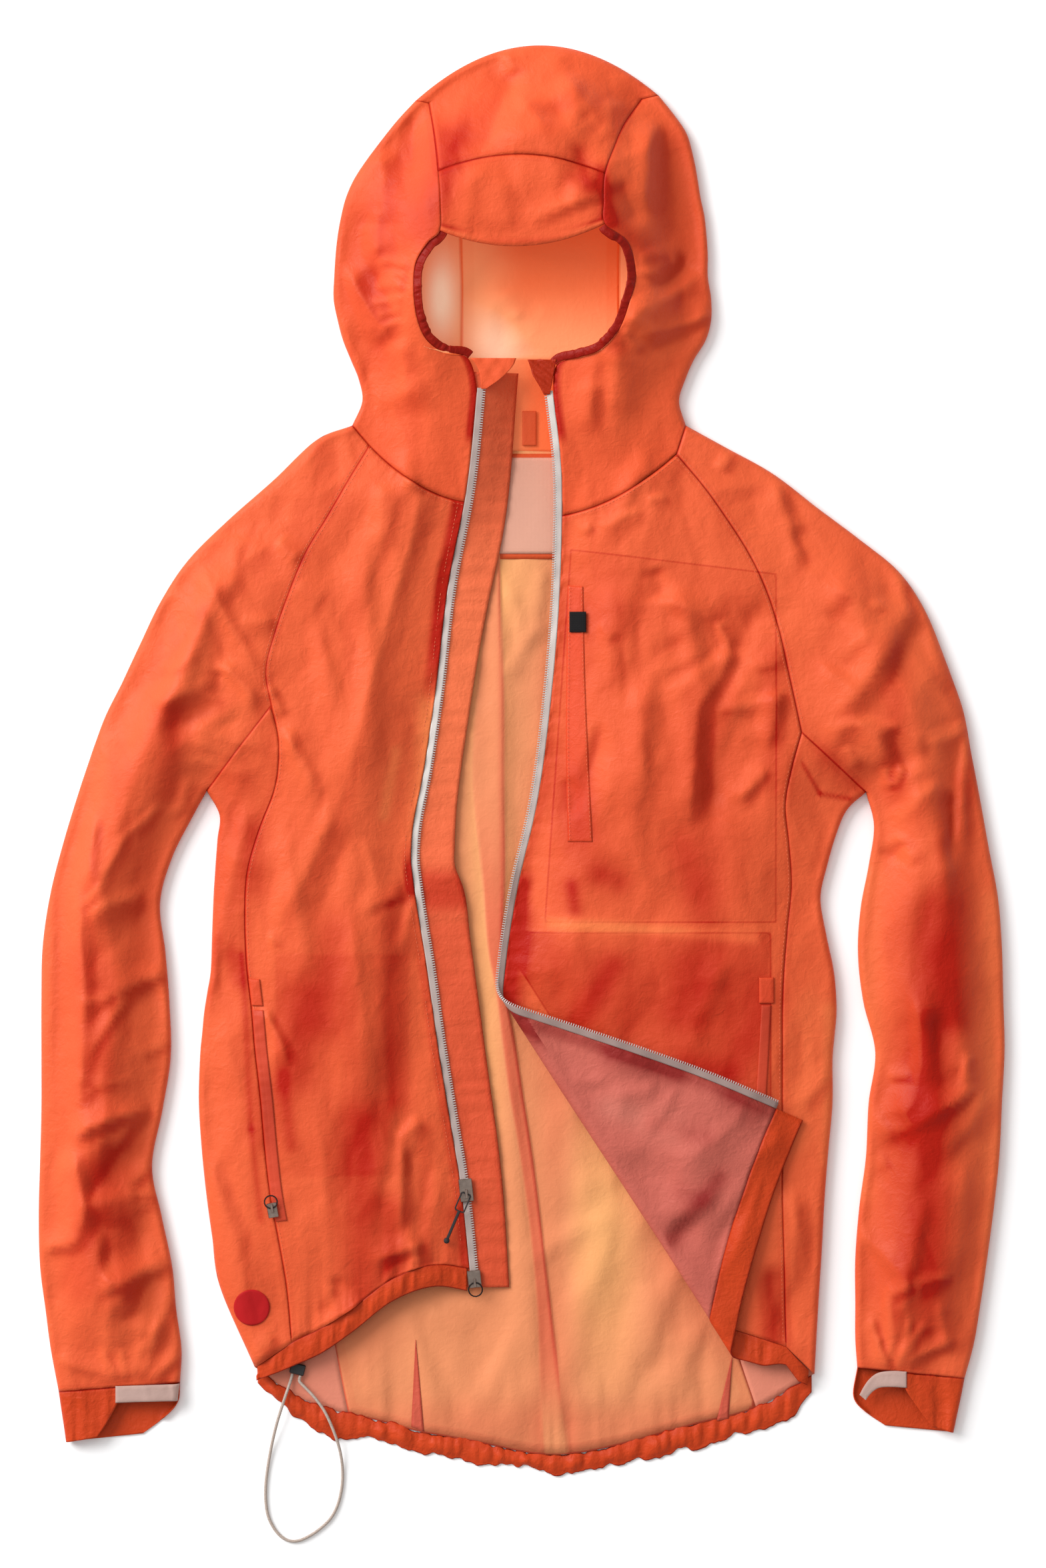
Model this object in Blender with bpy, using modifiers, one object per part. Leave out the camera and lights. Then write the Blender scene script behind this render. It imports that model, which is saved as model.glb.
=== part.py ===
"""A light hooded shell jacket laid flat on its back, front zip open, lower left front turned back.

Every length is in millimetres and turned into metres when a mesh is made.
x runs to the wearer's left, y towards the hood, z up from the surface the jacket lies on.
"right" and "left" are the wearer's own sides.
"""
import bpy
import bmesh
import math
import numpy as np

MM = 0.001
WALL = 1.0          # cloth thickness
SEAM = 0.16         # each piece stops this far short of a seam line
EDGE_R = 5.0        # radius of the cloth where it folds round at the outline
UNDER = 1.42        # depth of a piece that lies under a panel
OVER = 0.32         # clearance of a piece that lies on a panel
ARC = (0.0, 0.3, 1.0)   # share of EDGE_R at each column of a fold

BODY_HEIGHT = 20.0
HOOD_HEIGHT = 46.0
SLEEVE_HEIGHT = 24.0
CUFF_HEIGHT = 11.0

for old in list(bpy.data.objects):
    bpy.data.objects.remove(old, do_unlink=True)

# ---------------------------------------------------------------- tables
# Front and back, a row from the neck to the hem.
# zip_y: where the row starts on the front zip. seam: raglan seam, then front side seam.
# back_y, back_x: the back side seam, used from the underarm row on.
#  zip_y  seam_x  seam_y  bow
FRONT_RIGHT = np.array([
    (192, -114, 234.5, -8.0),
    (172, -130.5, 207, -4.0),
    (150, -146, 180, -1.5),
    (125, -161, 155, 0),
    (98, -174, 124, 0),
    (72, -184, 95, 0),
    (48, -191, 66, 0),
    (22, -187, 40, 0),
    (-8, -181.5, 12, 0),
    (-38, -184, -20, 0),
    (-66, -196, -52, 0),
    (-95, -205, -84, 0),
    (-125, -207, -115, 0),
    (-157, -206, -150, 0),
    (-174, -204, -169, 0),
    (-190, -202, -186, 0),
    (-206, -200.5, -203, 0),
    (-222, -199, -220, 0),
    (-255, -195, -255, 0),
    (-287, -192, -290, 0),
    (-318, -188, -325, 0),
    (-346, -182, -358, 3),
    (-368, -176, -394, 9),
    (-382, -172, -437, 17),
], float)
#  zip_y  seam_x  seam_y  bow
FRONT_LEFT = np.array([
    (182, 116, 228, -8.0),
    (160, 136, 204, -4.0),
    (137, 153, 180, -1.5),
    (112, 169, 155, 0),
    (86, 182, 128, 0),
    (60, 192, 98, 0),
    (34, 200, 62, 0),
    (6, 209, 20, 0),
    (-22, 202, -6, 0),
    (-50, 197, -34, 0),
    (-78, 200, -64, 0),
    (-106, 202, -95, 0),
    (-133, 199, -126, 0),
    (-155, 196.5, -154, 0),
    (-169, 195.5, -172, 0),
    (-182, 195, -190, 0),
    (-197, 195, -208, 0),
    (-216, 195, -228, 0),
    (-245, 195, -260, 0),
    (-275, 195, -295, 0),
    (-306, 195, -330, 1),
    (-338, 196, -366, 3),
    (-370, 197, -403, 6),
    (-400, 198, -440, 10),
], float)
# Side panels from the underarm to the hem: the fold at the outline and the back side seam.
#  fold_x  fold_y  back_x  back_y
SIDE_RIGHT = np.array([
    (-236, -24, -187, 40),
    (-226.5, -42, -181, 14),
    (-228, -60, -178, -18),
    (-229.5, -80, -177, -52),
    (-231, -104, -177, -87),
    (-232, -130, -177, -122),
    (-233, -158, -176, -158),
    (-235.5, -174, -175, -176),
    (-238, -190, -174, -194),
    (-239.5, -206, -172.5, -212),
    (-241, -222, -171, -231),
    (-242, -256, -167, -269),
    (-240, -290, -162, -308),
    (-236.5, -325, -156, -348),
    (-232, -358, -149, -390),
    (-226, -396, -141, -436),
    (-200, -456, -130, -491),
], float)
SIDE_LEFT = np.array([
    (258, -25, 209, 20),
    (244, -38, 201, -8),
    (236, -56, 194, -38),
    (229, -80, 189, -70),
    (224, -104, 186, -102),
    (228, -130, 184, -135),
    (233.5, -156, 182.5, -164),
    (235.5, -174, 181, -182),
    (236, -191, 179.5, -200),
    (234.5, -208, 178, -219),
    (233, -226, 176, -239),
    (233, -258, 172, -272),
    (230, -292, 168, -309),
    (227, -330, 163, -347),
    (225, -368, 159, -389),
    (222.5, -407, 160, -435),
    (219.5, -461, 176, -487),
], float)
# Sleeves from the neck to the cuff seam; the first rows end on the raglan seam.
#  outer_x  outer_y  inner_x  inner_y
SLEEVE_RIGHT = np.array([
    (-127, 250, -114, 234.5),
    (-154, 239, -130.5, 207),
    (-186, 209, -146, 180),
    (-220, 179, -161, 155),
    (-250, 149, -174, 124),
    (-270, 119, -184, 95),
    (-286, 86, -191, 66),
    (-300, 56, -187, 40),
    (-312, 32, -210, 10),
    (-321, 8, -236, -24),
    (-332, -25, -247, -44),
    (-343, -61, -262, -74),
    (-353, -100, -271, -108),
    (-359, -140, -267, -145),
    (-360, -181, -264, -183),
    (-360, -222, -263, -223),
    (-360, -262, -269, -262),
    (-361, -302, -277, -305),
    (-362, -342, -270, -342),
    (-361, -380, -262, -380),
    (-357, -412, -259, -412),
    (-353, -442, -255, -442),
    (-347, -474, -256, -467),
], float)
SLEEVE_LEFT = np.array([
    (123, 250, 116, 228),
    (152, 234, 136, 204),
    (188, 214, 153, 180),
    (222, 188, 169, 155),
    (254, 164, 182, 128),
    (283, 140, 192, 98),
    (303, 110, 200, 62),
    (320, 68, 209, 20),
    (331, 36, 234, -3),
    (337, 4, 258, -25),
    (343, -27, 264, -50),
    (350, -66, 260, -80),
    (357, -104, 254, -112),
    (360, -142, 252, -146),
    (361, -180, 256, -182),
    (362, -218, 265, -220),
    (360, -258, 260, -258),
    (358, -298, 258, -298),
    (354, -336, 253, -336),
    (349, -374, 250, -374),
    (344, -408, 250, -408),
    (339, -438, 250, -434),
    (332, -464, 251.5, -456),
], float)
# Cuffs from the sleeve seam to the mouth: free front edge, outer fold, inner fold.
#  free_x  free_y  outer_x  outer_y  inner_x  inner_y
CUFF_RIGHT = np.array([
    (-300, -470.4, -347, -474, -256, -467),
    (-303, -483, -345, -488, -257.5, -482),
    (-310, -496, -343, -501, -268, -494),
    (-318, -508, -341.5, -512, -284, -506),
], float)
CUFF_LEFT = np.array([
    (285, -459.33, 332, -464, 251.5, -456),
    (287, -471, 329.5, -477, 248.5, -478),
    (296, -485, 326.5, -491, 258, -490),
    (307, -500, 323.6, -505, 272.7, -500),
], float)
# Hood sides from the neck to the crown: front edge, fold at the outline, back seam.
#  front_x  front_y  fold_x  fold_y  back_x  back_y
HOOD_RIGHT = np.array([
    (-42.3, 192, -127, 250, -44.5, 232.5),
    (-38.5, 222, -119.5, 268, -45, 250),
    (-34.5, 252, -122, 284, -45, 268),
    (-33.5, 276, -128, 299, -45, 286),
    (-40, 299, -134, 314, -45, 304),
    (-57, 302, -138, 329, -45, 322),
    (-71, 312, -141, 345, -45, 340),
    (-78, 328, -140.5, 362, -45, 358),
    (-80.5, 348, -139.5, 378, -45.5, 377),
    (-79, 368, -138, 392, -46, 396),
    (-70, 383, -135.5, 406, -47, 414),
    (-61, 392, -132, 420, -48, 431),
    (-60.5, 412, -126, 434, -50, 447),
    (-62, 437, -117, 448, -53, 462),
    (-64, 456, -105, 464, -57, 476),
    (-66.5, 474, -93, 479, -62, 487),
    (-69.5, 491, -80, 493, -70, 495),
], float)
HOOD_LEFT = np.array([
    (30.2, 182, 123, 250, 73, 229.2),
    (30, 208, 118, 268, 73, 248),
    (28, 238, 122.5, 284, 73, 267),
    (24, 272, 129, 299, 73, 285),
    (26, 294, 138, 314, 73, 303),
    (42, 299, 142, 329, 73, 321),
    (58, 304, 142, 345, 73, 339),
    (72, 318, 139.5, 362, 73, 357),
    (80, 338, 139.5, 378, 73, 376),
    (85, 360, 138.5, 393, 73.5, 395),
    (79, 384, 137, 407, 74, 413),
    (62, 397, 134, 421, 75, 430),
    (61, 414, 132, 434, 76, 446),
    (62, 434.5, 129, 450, 78, 461),
    (69, 455, 124, 468, 82, 475),
    (77, 474, 115, 482, 86, 487),
    (90, 494, 103, 497, 91, 498),
], float)
# Front zip lines (middle of the teeth); the left one in its unfolded position.
#  y  x
ZIP_RIGHT = np.array([(300, -29), (272, -31.3), (204.6, -38.4), (128, -53), (52, -62), (-7, -70.7),
                      (-60, -80), (-76, -80.5), (-95, -78.3), (-154, -69), (-213, -60.7),
                      (-271, -51.3), (-313, -44.3), (-395, -35.4), (-430, -32)], float)
ZIP_LEFT = np.array([(300, 19), (281, 20.4), (216, 27.4), (158, 27.4), (52, 20.4), (-36, 8.6),
                     (-95, -5), (-136, -12), (-165, -15.5), (-201, -19), (-240, -23.5),
                     (-290, -28.5), (-343, -32), (-430, -32.5)], float)
# Right edge of the storm flap behind the zip.
STORM_EDGE = np.array([(293, -2), (163, -15), (122, -24), (40, -38.4), (-64, -50.1), (-80, -50),
                       (-95, -44.3), (-136, -38.4), (-224, -26.6), (-313, -15), (-401, -9)], float)
# Back hem band from the right end to the left end.
#  x  top_y  low_y
HEM_BACK = np.array([
    (-200, -456, -466),
    (-186, -467, -481),
    (-167, -479, -495),
    (-147, -487, -507),
    (-128, -492, -512),
    (-105, -497, -514),
    (-83, -503, -519),
    (-44, -510.5, -526),
    (-19, -515.5, -531),
    (9, -521, -533),
    (34, -521.5, -536.5),
    (57, -518, -531),
    (98, -508, -525),
    (138, -497, -515),
    (160, -492, -509),
    (176, -487, -505),
    (199, -474, -494),
    (219.5, -461, -473),
], float)
# Front hem band of the right front, inner and outer edge.
#  x  top_y  low_y
HEM_FRONT = np.array([
    (-38, -382, -399),
    (-65, -378.5, -395),
    (-97, -389, -406),
    (-128, -412, -430),
    (-150, -426, -445),
    (-172, -437, -455),
    (-181.4, -443.4, -459),
    (-190.7, -449.7, -462.5),
    (-200, -456, -466),
], float)
# Folded corner of the left front: the fold runs from FOLD_START along FOLD_ALONG.
FOLD_START = np.array([-14.0, -165.0])
FOLD_ALONG = np.array([0.5335, -0.8458])
FOLD_ACROSS = np.array([0.8458, 0.5335])
ROLL_START = 8.0      # radius of the roll at the zip end
ROLL_END = 4.6        # and at the hem
FOLD_LENGTH = 310.0
FLAP_REST = 2.0       # clearance at which the turned corner rests on the front

# Large creases: from (x0, y0) to (x1, y1), width each side, height, and the share of the
# height left at the second end.
#   x0    y0    x1    y1   width height  end
CREASES = np.array([
    (-118, 150, -108, -60, 26, 5.0, 0.3),
    (-86, 20, -104, -200, 22, 4.0, 0.4),
    (-150, 90, -128, -20, 20, 3.6, 0.2),
    (-128, -120, -110, -330, 26, 4.2, 0.6),
    (-176, -60, -160, -170, 18, 2.6, 0.4),
    (-92, -250, -118, -372, 18, 3.2, 0.5),
    (120, 120, 150, -20, 24, 4.6, 0.3),
    (96, 60, 78, -90, 22, 3.2, 0.4),
    (166, 60, 120, -50, 20, 3.6, 0.3),
    (60, -60, 150, -120, 20, 2.6, 0.4),
    (150, -150, 120, -230, 20, 2.4, 0.5),
    (-244, 84, -300, -40, 26, 5.0, 0.4),
    (-214, 40, -276, 0, 20, 4.6, 0.3),
    (-232, 120, -262, 20, 20, 4.0, 0.3),
    (-322, -60, -300, -190, 22, 4.0, 0.4),
    (-304, -190, -320, -330, 22, 4.0, 0.5),
    (-318, -350, -300, -462, 20, 3.0, 0.6),
    (-290, -330, -278, -450, 14, 3.0, 0.6),
    (236, 130, 300, 20, 26, 5.0, 0.4),
    (222, 70, 292, 16, 20, 4.6, 0.3),
    (240, 40, 300, -30, 18, 3.6, 0.4),
    (318, -50, 306, -190, 22, 4.2, 0.4),
    (300, -170, 316, -330, 22, 4.0, 0.5),
    (300, -330, 276, -448, 18, 3.4, 0.6),
    (-112, 380, -84, 300, 18, 5.0, 0.3),
    (-116, 330, -70, 262, 20, 5.0, 0.3),
    (-96, 440, -88, 380, 18, 4.0, 0.4),
    (108, 370, 70, 300, 18, 5.0, 0.3),
    (116, 320, 60, 240, 20, 5.0, 0.3),
    (100, 430, 96, 370, 18, 4.0, 0.4),
    (-30, 520, 4, 452, 26, 6.0, 0.3),
    (46, 512, 30, 458, 24, 5.0, 0.4),
    (-90, 230, -60, 150, 18, 3.0, 0.3),
    (96, 226, 52, 150, 18, 3.0, 0.3),
], float)
# Soft ridges of the back, seen through the open front.
BACK_CREASES = np.array([
    (-14, 120, -16, -170, 16, 2.6, 1.0),
    (-16, -170, 12, -500, 18, 3.0, 1.3),
    (70, -330, 24, -490, 24, 4.0, 0.8),
    (130, -360, 60, -500, 20, 3.4, 0.8),
    (-84, -420, -60, -496, 16, 2.4, 0.8),
    (14, 40, 26, -120, 14, 1.6, 0.6),
    (30, -180, 46, -330, 20, 2.6, 0.8),
], float)

# ---------------------------------------------------------------- small mathematics


def smooth(t):
    """0 below 0, 1 above 1 and a soft step between."""
    t = np.clip(t, 0.0, 1.0)
    return t * t * (3.0 - 2.0 * t)


def curve_x(table, y):
    """x of a line given as rows (y, x), at any y: cubic through the rows."""
    rows = table[np.argsort(table[:, 0])]
    return cubic(rows[:, 0], rows[:, 1], y)


def cubic(at, value, t):
    """Smooth interpolation through (at, value): Hermite pieces with averaged slopes."""
    t = np.clip(np.asarray(t, float), at[0], at[-1])
    slope = np.gradient(value, at)
    i = np.clip(np.searchsorted(at, t, side="right") - 1, 0, len(at) - 2)
    h = at[i + 1] - at[i]
    u = (t - at[i]) / h
    a = 2 * u ** 3 - 3 * u ** 2 + 1
    b = u ** 3 - 2 * u ** 2 + u
    c = -2 * u ** 3 + 3 * u ** 2
    d = u ** 3 - u ** 2
    return a * value[i] + b * h * slope[i] + c * value[i + 1] + d * h * slope[i + 1]


def lines_distance(x, y, chains, want_normal=False):
    """Distance from points to the nearest of some polylines.

    With want_normal also the direction away from the line, pointing to the line's
    right-hand side where the point is on the line itself.
    """
    shape = np.shape(x)
    px = np.ravel(x)
    py = np.ravel(y)
    best = np.full(px.shape, 1e9)
    nx = np.zeros_like(px)
    ny = np.zeros_like(px)
    for chain in chains:
        for (ax, ay), (bx, by) in zip(chain[:-1], chain[1:]):
            ex = bx - ax
            ey = by - ay
            size = math.hypot(ex, ey)
            if size < 1e-6:
                continue
            t = np.clip(((px - ax) * ex + (py - ay) * ey) / size ** 2, 0.0, 1.0)
            dx = px - (ax + t * ex)
            dy = py - (ay + t * ey)
            dist = np.hypot(dx, dy)
            near = dist < best
            on = dist < 0.05
            safe = np.where(on, 1.0, dist)
            nx = np.where(near, np.where(on, ey / size, dx / safe), nx)
            ny = np.where(near, np.where(on, -ex / size, dy / safe), ny)
            best = np.where(near, dist, best)
    if want_normal:
        return best.reshape(shape), nx.reshape(shape), ny.reshape(shape)
    return best.reshape(shape)


HOOD_RIGHT[:4, 0] = curve_x(ZIP_RIGHT, HOOD_RIGHT[:4, 1]) - 2.5
HOOD_LEFT[:4, 0] = curve_x(ZIP_LEFT, HOOD_LEFT[:4, 1]) + 2.5

# ---------------------------------------------------------------- the outline folds
CROWN_BOW = 40.0


def crown_points():
    """The fold over the crown between the last rows of the two hood sides."""
    a = HOOD_RIGHT[-1, 2:4]
    b = HOOD_LEFT[-1, 2:4]
    u = np.linspace(0, 1, 9)
    return [(a[0] + (b[0] - a[0]) * k, a[1] + (b[1] - a[1]) * k + CROWN_BOW * 4 * k * (1 - k))
            for k in u]


FOLDS = [
    [(-190, -476)] + [tuple(r[:2]) for r in SIDE_RIGHT[::-1]]
    + [tuple(r[2:4]) for r in SLEEVE_RIGHT[10:]] + [tuple(r[4:6]) for r in CUFF_RIGHT[1:3]],
    [tuple(r[2:4]) for r in CUFF_RIGHT[::-1]] + [tuple(r[:2]) for r in SLEEVE_RIGHT[-2::-1]]
    + [tuple(r[2:4]) for r in HOOD_RIGHT[1:-1]] + crown_points()
    + [tuple(r[2:4]) for r in HOOD_LEFT[-2:0:-1]] + [tuple(r[:2]) for r in SLEEVE_LEFT]
    + [tuple(r[2:4]) for r in CUFF_LEFT[1:]],
    [tuple(r[4:6]) for r in CUFF_LEFT[2::-1]] + [tuple(r[2:4]) for r in SLEEVE_LEFT[-2:9:-1]]
    + [tuple(r[:2]) for r in SIDE_LEFT] + [(215, -482)],
]
_y = np.array([300, 272, 240, 204.6, 165, 128, 90, 52, 22, -7, -35, -62, -76, -95, -124, -154,
               -184, -213, -242, -271, -300, -340, -400.0])
RIGHT_OPENING = [(float(curve_x(ZIP_RIGHT, v)) - 2.5, v) for v in _y]
LEFT_OPENING = [(float(curve_x(ZIP_LEFT, v)) + 2.5, v) for v in _y[:15]]
LEFT_OPENING += [tuple(FOLD_START + FOLD_ALONG * k) for k in (0, 60, 120, 180, 240, 310)]


def height(x, y):
    """Height of the jacket's upper skin."""
    x = np.asarray(x, float)
    y = np.asarray(y, float)
    d = lines_distance(x, y, FOLDS)
    hood = smooth((y - 225) / 100) * (np.abs(x) < 160)
    sleeve = smooth((np.abs(x - 8) - 190) / 60) * (1 - hood)
    cuff = smooth((-395 - y) / 60) * sleeve
    low = smooth((-330 - y) / 110) * (1 - sleeve)
    full = BODY_HEIGHT + (HOOD_HEIGHT - BODY_HEIGHT) * hood
    full = full + (SLEEVE_HEIGHT - BODY_HEIGHT) * sleeve
    full = full + (CUFF_HEIGHT - SLEEVE_HEIGHT) * cuff - 8.0 * low
    ramp = 68.0 + 8.0 * hood - 28.0 * sleeve
    edge = EDGE_R + np.sqrt(np.clip(EDGE_R ** 2 - np.clip(EDGE_R - d, 0, EDGE_R) ** 2, 0, None))
    inside = smooth((d - EDGE_R) / (ramp - EDGE_R))
    top = edge + (full - 2 * EDGE_R) * inside
    top = top + inside * ridge_sum(x, y, CREASES)
    open_d = np.minimum(lines_distance(x, y, [RIGHT_OPENING]),
                        lines_distance(x, y, [LEFT_OPENING]))
    near = 1 - smooth(open_d / (52 + 20 * hood))
    near = near * smooth((EDGE_R * 4 - 0 + d - EDGE_R * 4) / 14)
    return top + (opening_height(y) - top) * near


def opening_height(y):
    """Height of the cloth along the zip: low on the body, higher at the neck and chin."""
    return 7.2 + 15.0 * smooth((np.asarray(y, float) - 110) / 170)


def ridge_sum(x, y, table):
    """Sum of long soft ridges, each narrower at its first end and fading at both."""
    total = np.zeros(np.shape(x))
    for x0, y0, x1, y1, width, high, end in table:
        ex = x1 - x0
        ey = y1 - y0
        size = math.hypot(ex, ey)
        along = ((x - x0) * ex + (y - y0) * ey) / size
        side = ((x - x0) * ey - (y - y0) * ex) / size
        t = along / size
        fade = smooth((t + 0.12) / 0.3) * smooth((1.15 - t) / 0.35)
        w = width * (0.65 + 0.5 * np.clip(t, 0, 1))
        lean = np.where(side > 0, 1.0, 0.7)
        total = total + high * (1 + (end - 1) * np.clip(t, 0, 1)) * fade \
            * np.exp(-(side / (0.62 * w * lean)) ** 2)
    return total


def skin(x, y, side, lift=0.0):
    """Outer surface and outward normal of the jacket's upper (+1) or lower (-1) skin."""
    x = np.asarray(x, float)
    y = np.asarray(y, float)
    d, ax, ay = lines_distance(x, y, FOLDS, True)
    in_fold = d < EDGE_R
    lean = np.clip((EDGE_R - d) / EDGE_R, 0.0, 1.0)
    rise = np.sqrt(1.0 - lean ** 2)
    if side > 0:
        step = 0.4
        z = height(x, y)
        gx = (height(x + step, y) - height(x - step, y)) / (2 * step)
        gy = (height(x, y + step) - height(x, y - step)) / (2 * step)
        size = np.sqrt(gx ** 2 + gy ** 2 + 1)
        normal = np.stack([-gx / size, -gy / size, 1 / size], -1)
        z = z + np.where(d < 0.3, SEAM, 0.0)
    else:
        z = EDGE_R - np.sqrt(np.clip(EDGE_R ** 2 - np.clip(EDGE_R - d, 0, EDGE_R) ** 2, 0, None))
        z = z + lift - np.where(d < 0.3, SEAM, 0.0)
        normal = np.stack([np.zeros_like(x), np.zeros_like(x), -np.ones_like(x)], -1)
    fold = np.stack([-ax * lean, -ay * lean, side * rise], -1)
    normal = np.where(in_fold[..., None], fold, normal)
    return np.stack([x, y, z], -1), normal


# ---------------------------------------------------------------- grids of points


def row_grid(starts, ends, shares, bows=None):
    """Rows of points between two lists of end points, bowed across by the given amount."""
    starts = np.asarray(starts, float)
    ends = np.asarray(ends, float)
    shares = np.asarray(shares, float)
    if shares.ndim == 1:
        shares = np.tile(shares, (len(starts), 1))
    x = starts[:, :1] + (ends[:, :1] - starts[:, :1]) * shares
    y = starts[:, 1:2] + (ends[:, 1:2] - starts[:, 1:2]) * shares
    if bows is not None:
        y = y + np.asarray(bows, float)[:, None] * 4 * shares * (1 - shares)
    return x, y


def inset(x, y, first_row=SEAM, last_row=SEAM, first_col=SEAM, last_col=SEAM):
    """Move the border of a grid inwards, so that neighbours stay apart at a seam."""
    x = x.copy()
    y = y.copy()

    def pull(edge, inner, by):
        dx = x[inner] - x[edge]
        dy = y[inner] - y[edge]
        size = np.maximum(np.hypot(dx, dy), 1e-6)
        x[edge] += dx / size * by
        y[edge] += dy / size * by

    if first_row:
        pull((0, slice(None)), (1, slice(None)), first_row)
    if last_row:
        pull((-1, slice(None)), (-2, slice(None)), last_row)
    if first_col:
        pull((slice(None), 0), (slice(None), 1), first_col)
    if last_col:
        pull((slice(None), -1), (slice(None), -2), last_col)
    return x, y


def fold_shares(length, inner, at_start=True):
    """Shares along a row that are dense at a fold: ARC first, then even steps."""
    near = np.array(ARC)[None, :] * EDGE_R / length[:, None]
    rest = near[:, -1:] + (1 - near[:, -1:]) * np.linspace(0, 1, inner + 1)[None, 1:]
    shares = np.concatenate([near, rest], 1)
    return shares if at_start else (1 - shares)[:, ::-1]


# ---------------------------------------------------------------- meshes and materials


def material(obj, colour, rough=0.65, metal=0.0):
    """Give an object its own plain Principled material."""
    mat = bpy.data.materials.new(obj.name)
    mat.use_nodes = True
    shader = mat.node_tree.nodes["Principled BSDF"]
    shader.inputs["Base Color"].default_value = (*colour, 1.0)
    shader.inputs["Roughness"].default_value = rough
    shader.inputs["Metallic"].default_value = metal
    obj.data.materials.append(mat)


SHELL = (0.80, 0.13, 0.045)
DEEP = (0.62, 0.07, 0.03)
PALE = (0.86, 0.36, 0.16)
GREY = (0.55, 0.50, 0.46)
STEEL = (0.35, 0.35, 0.35)
BLACK = (0.02, 0.02, 0.02)


def closed_mesh(name, points, faces, colour, rough=0.65, metal=0.0):
    """One closed body from points in millimetres."""
    mesh = bpy.data.meshes.new(name)
    mesh.from_pydata([tuple(p) for p in np.asarray(points) * MM], [], faces)
    bm = bmesh.new()
    bm.from_mesh(mesh)
    bmesh.ops.remove_doubles(bm, verts=bm.verts, dist=0.000001)
    bmesh.ops.dissolve_degenerate(bm, dist=0.000002, edges=bm.edges)
    bmesh.ops.recalc_face_normals(bm, faces=bm.faces)
    bm.to_mesh(mesh)
    bm.free()
    obj = bpy.data.objects.new(name, mesh)
    bpy.context.scene.collection.objects.link(obj)
    material(obj, colour, rough, metal)
    return obj


def slab_faces(rows, cols):
    """Triangles of a slab: an outer grid, an inner grid below it and the rim between."""
    n = np.arange(rows * cols).reshape(rows, cols)
    a = n[:-1, :-1].ravel()
    b = n[1:, :-1].ravel()
    c = n[1:, 1:].ravel()
    d = n[:-1, 1:].ravel()
    up = np.concatenate([np.stack([a, b, c], 1), np.stack([a, c, d], 1)])
    down = up[:, ::-1] + rows * cols
    rim = np.concatenate([n[0, :], n[1:, -1], n[-1, -2::-1], n[-2:0:-1, 0]])
    nxt = np.roll(rim, -1)
    far = rows * cols
    wall = np.concatenate([np.stack([rim, nxt, nxt + far], 1), np.stack([rim, nxt + far, rim + far], 1)])
    return np.concatenate([up, down, wall]).tolist()


def slab(name, outer, normal, colour, near=0.0, far=WALL, rough=0.65):
    """Cloth between two depths below a surface given as a grid of points and normals."""
    top = outer - normal * near
    low = outer - normal * far
    rows, cols = outer.shape[:2]
    points = np.concatenate([top.reshape(-1, 3), low.reshape(-1, 3)])
    return closed_mesh(name, points, slab_faces(rows, cols), colour, rough)


def cut_slab(name, outer, normal, planes, colour, near, far, rough=0.65):
    """A slab cut by upright planes: each plane is (x, y, keep_x, keep_y), keep pointing inside."""
    obj = slab(name, outer, normal, colour, near, far, rough)
    bm = bmesh.new()
    bm.from_mesh(obj.data)
    for px, py, kx, ky in planes:
        parts = bm.verts[:] + bm.edges[:] + bm.faces[:]
        cut = bmesh.ops.bisect_plane(bm, geom=parts, dist=0.0000005, plane_co=(px * MM, py * MM, 0),
                                     plane_no=(-kx, -ky, 0), clear_outer=True)
        edges = [e for e in cut["geom_cut"] if isinstance(e, bmesh.types.BMEdge)]
        if edges:
            bmesh.ops.holes_fill(bm, edges=edges, sides=0)
    bmesh.ops.remove_doubles(bm, verts=bm.verts, dist=0.00001)
    bmesh.ops.dissolve_degenerate(bm, dist=0.00001, edges=bm.edges)
    bmesh.ops.triangulate(bm, faces=bm.faces)
    bmesh.ops.recalc_face_normals(bm, faces=bm.faces)
    bm.to_mesh(obj.data)
    bm.free()
    return obj


def box_planes(x0, x1, y0, y1):
    """Four upright planes round a rectangle."""
    return [(x0, 0, 1, 0), (x1, 0, -1, 0), (0, y0, 0, 1), (0, y1, 0, -1)]


# ---------------------------------------------------------------- back and side panels
def back_rows():
    """Left and right ends of the back's rows: raglan seams, then the back side seams."""
    right = np.concatenate([FRONT_RIGHT[:7, 1:3], SIDE_RIGHT[:, 2:4]])
    left = np.concatenate([FRONT_LEFT[:7, 1:3], SIDE_LEFT[:, 2:4]])
    return right, left


def back_panel():
    right, left = back_rows()
    shares = np.linspace(0, 1, 19)
    sag = np.zeros(len(right))
    sag[-4:] = (-2, -8, -17, 0)
    x, y = row_grid(right, left, shares, sag)
    y[-1] = cubic(HEM_BACK[:, 0], HEM_BACK[:, 1], x[-1])
    x, y = inset(x, y)
    inside = smooth((x - x[:, :1]) / 20) * smooth((x[:, -1:] - x) / 20)
    ruffle = smooth((-430 - y) / 70) * 1.1 * (1 + np.sin(x * 0.19 + 0.8 * np.sin(x * 0.05)))
    lift = (ridge_sum(x, y, BACK_CREASES) + ruffle) * inside
    points, normal = skin(x, y, -1, lift)
    return slab("back", points, normal, PALE)


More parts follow.
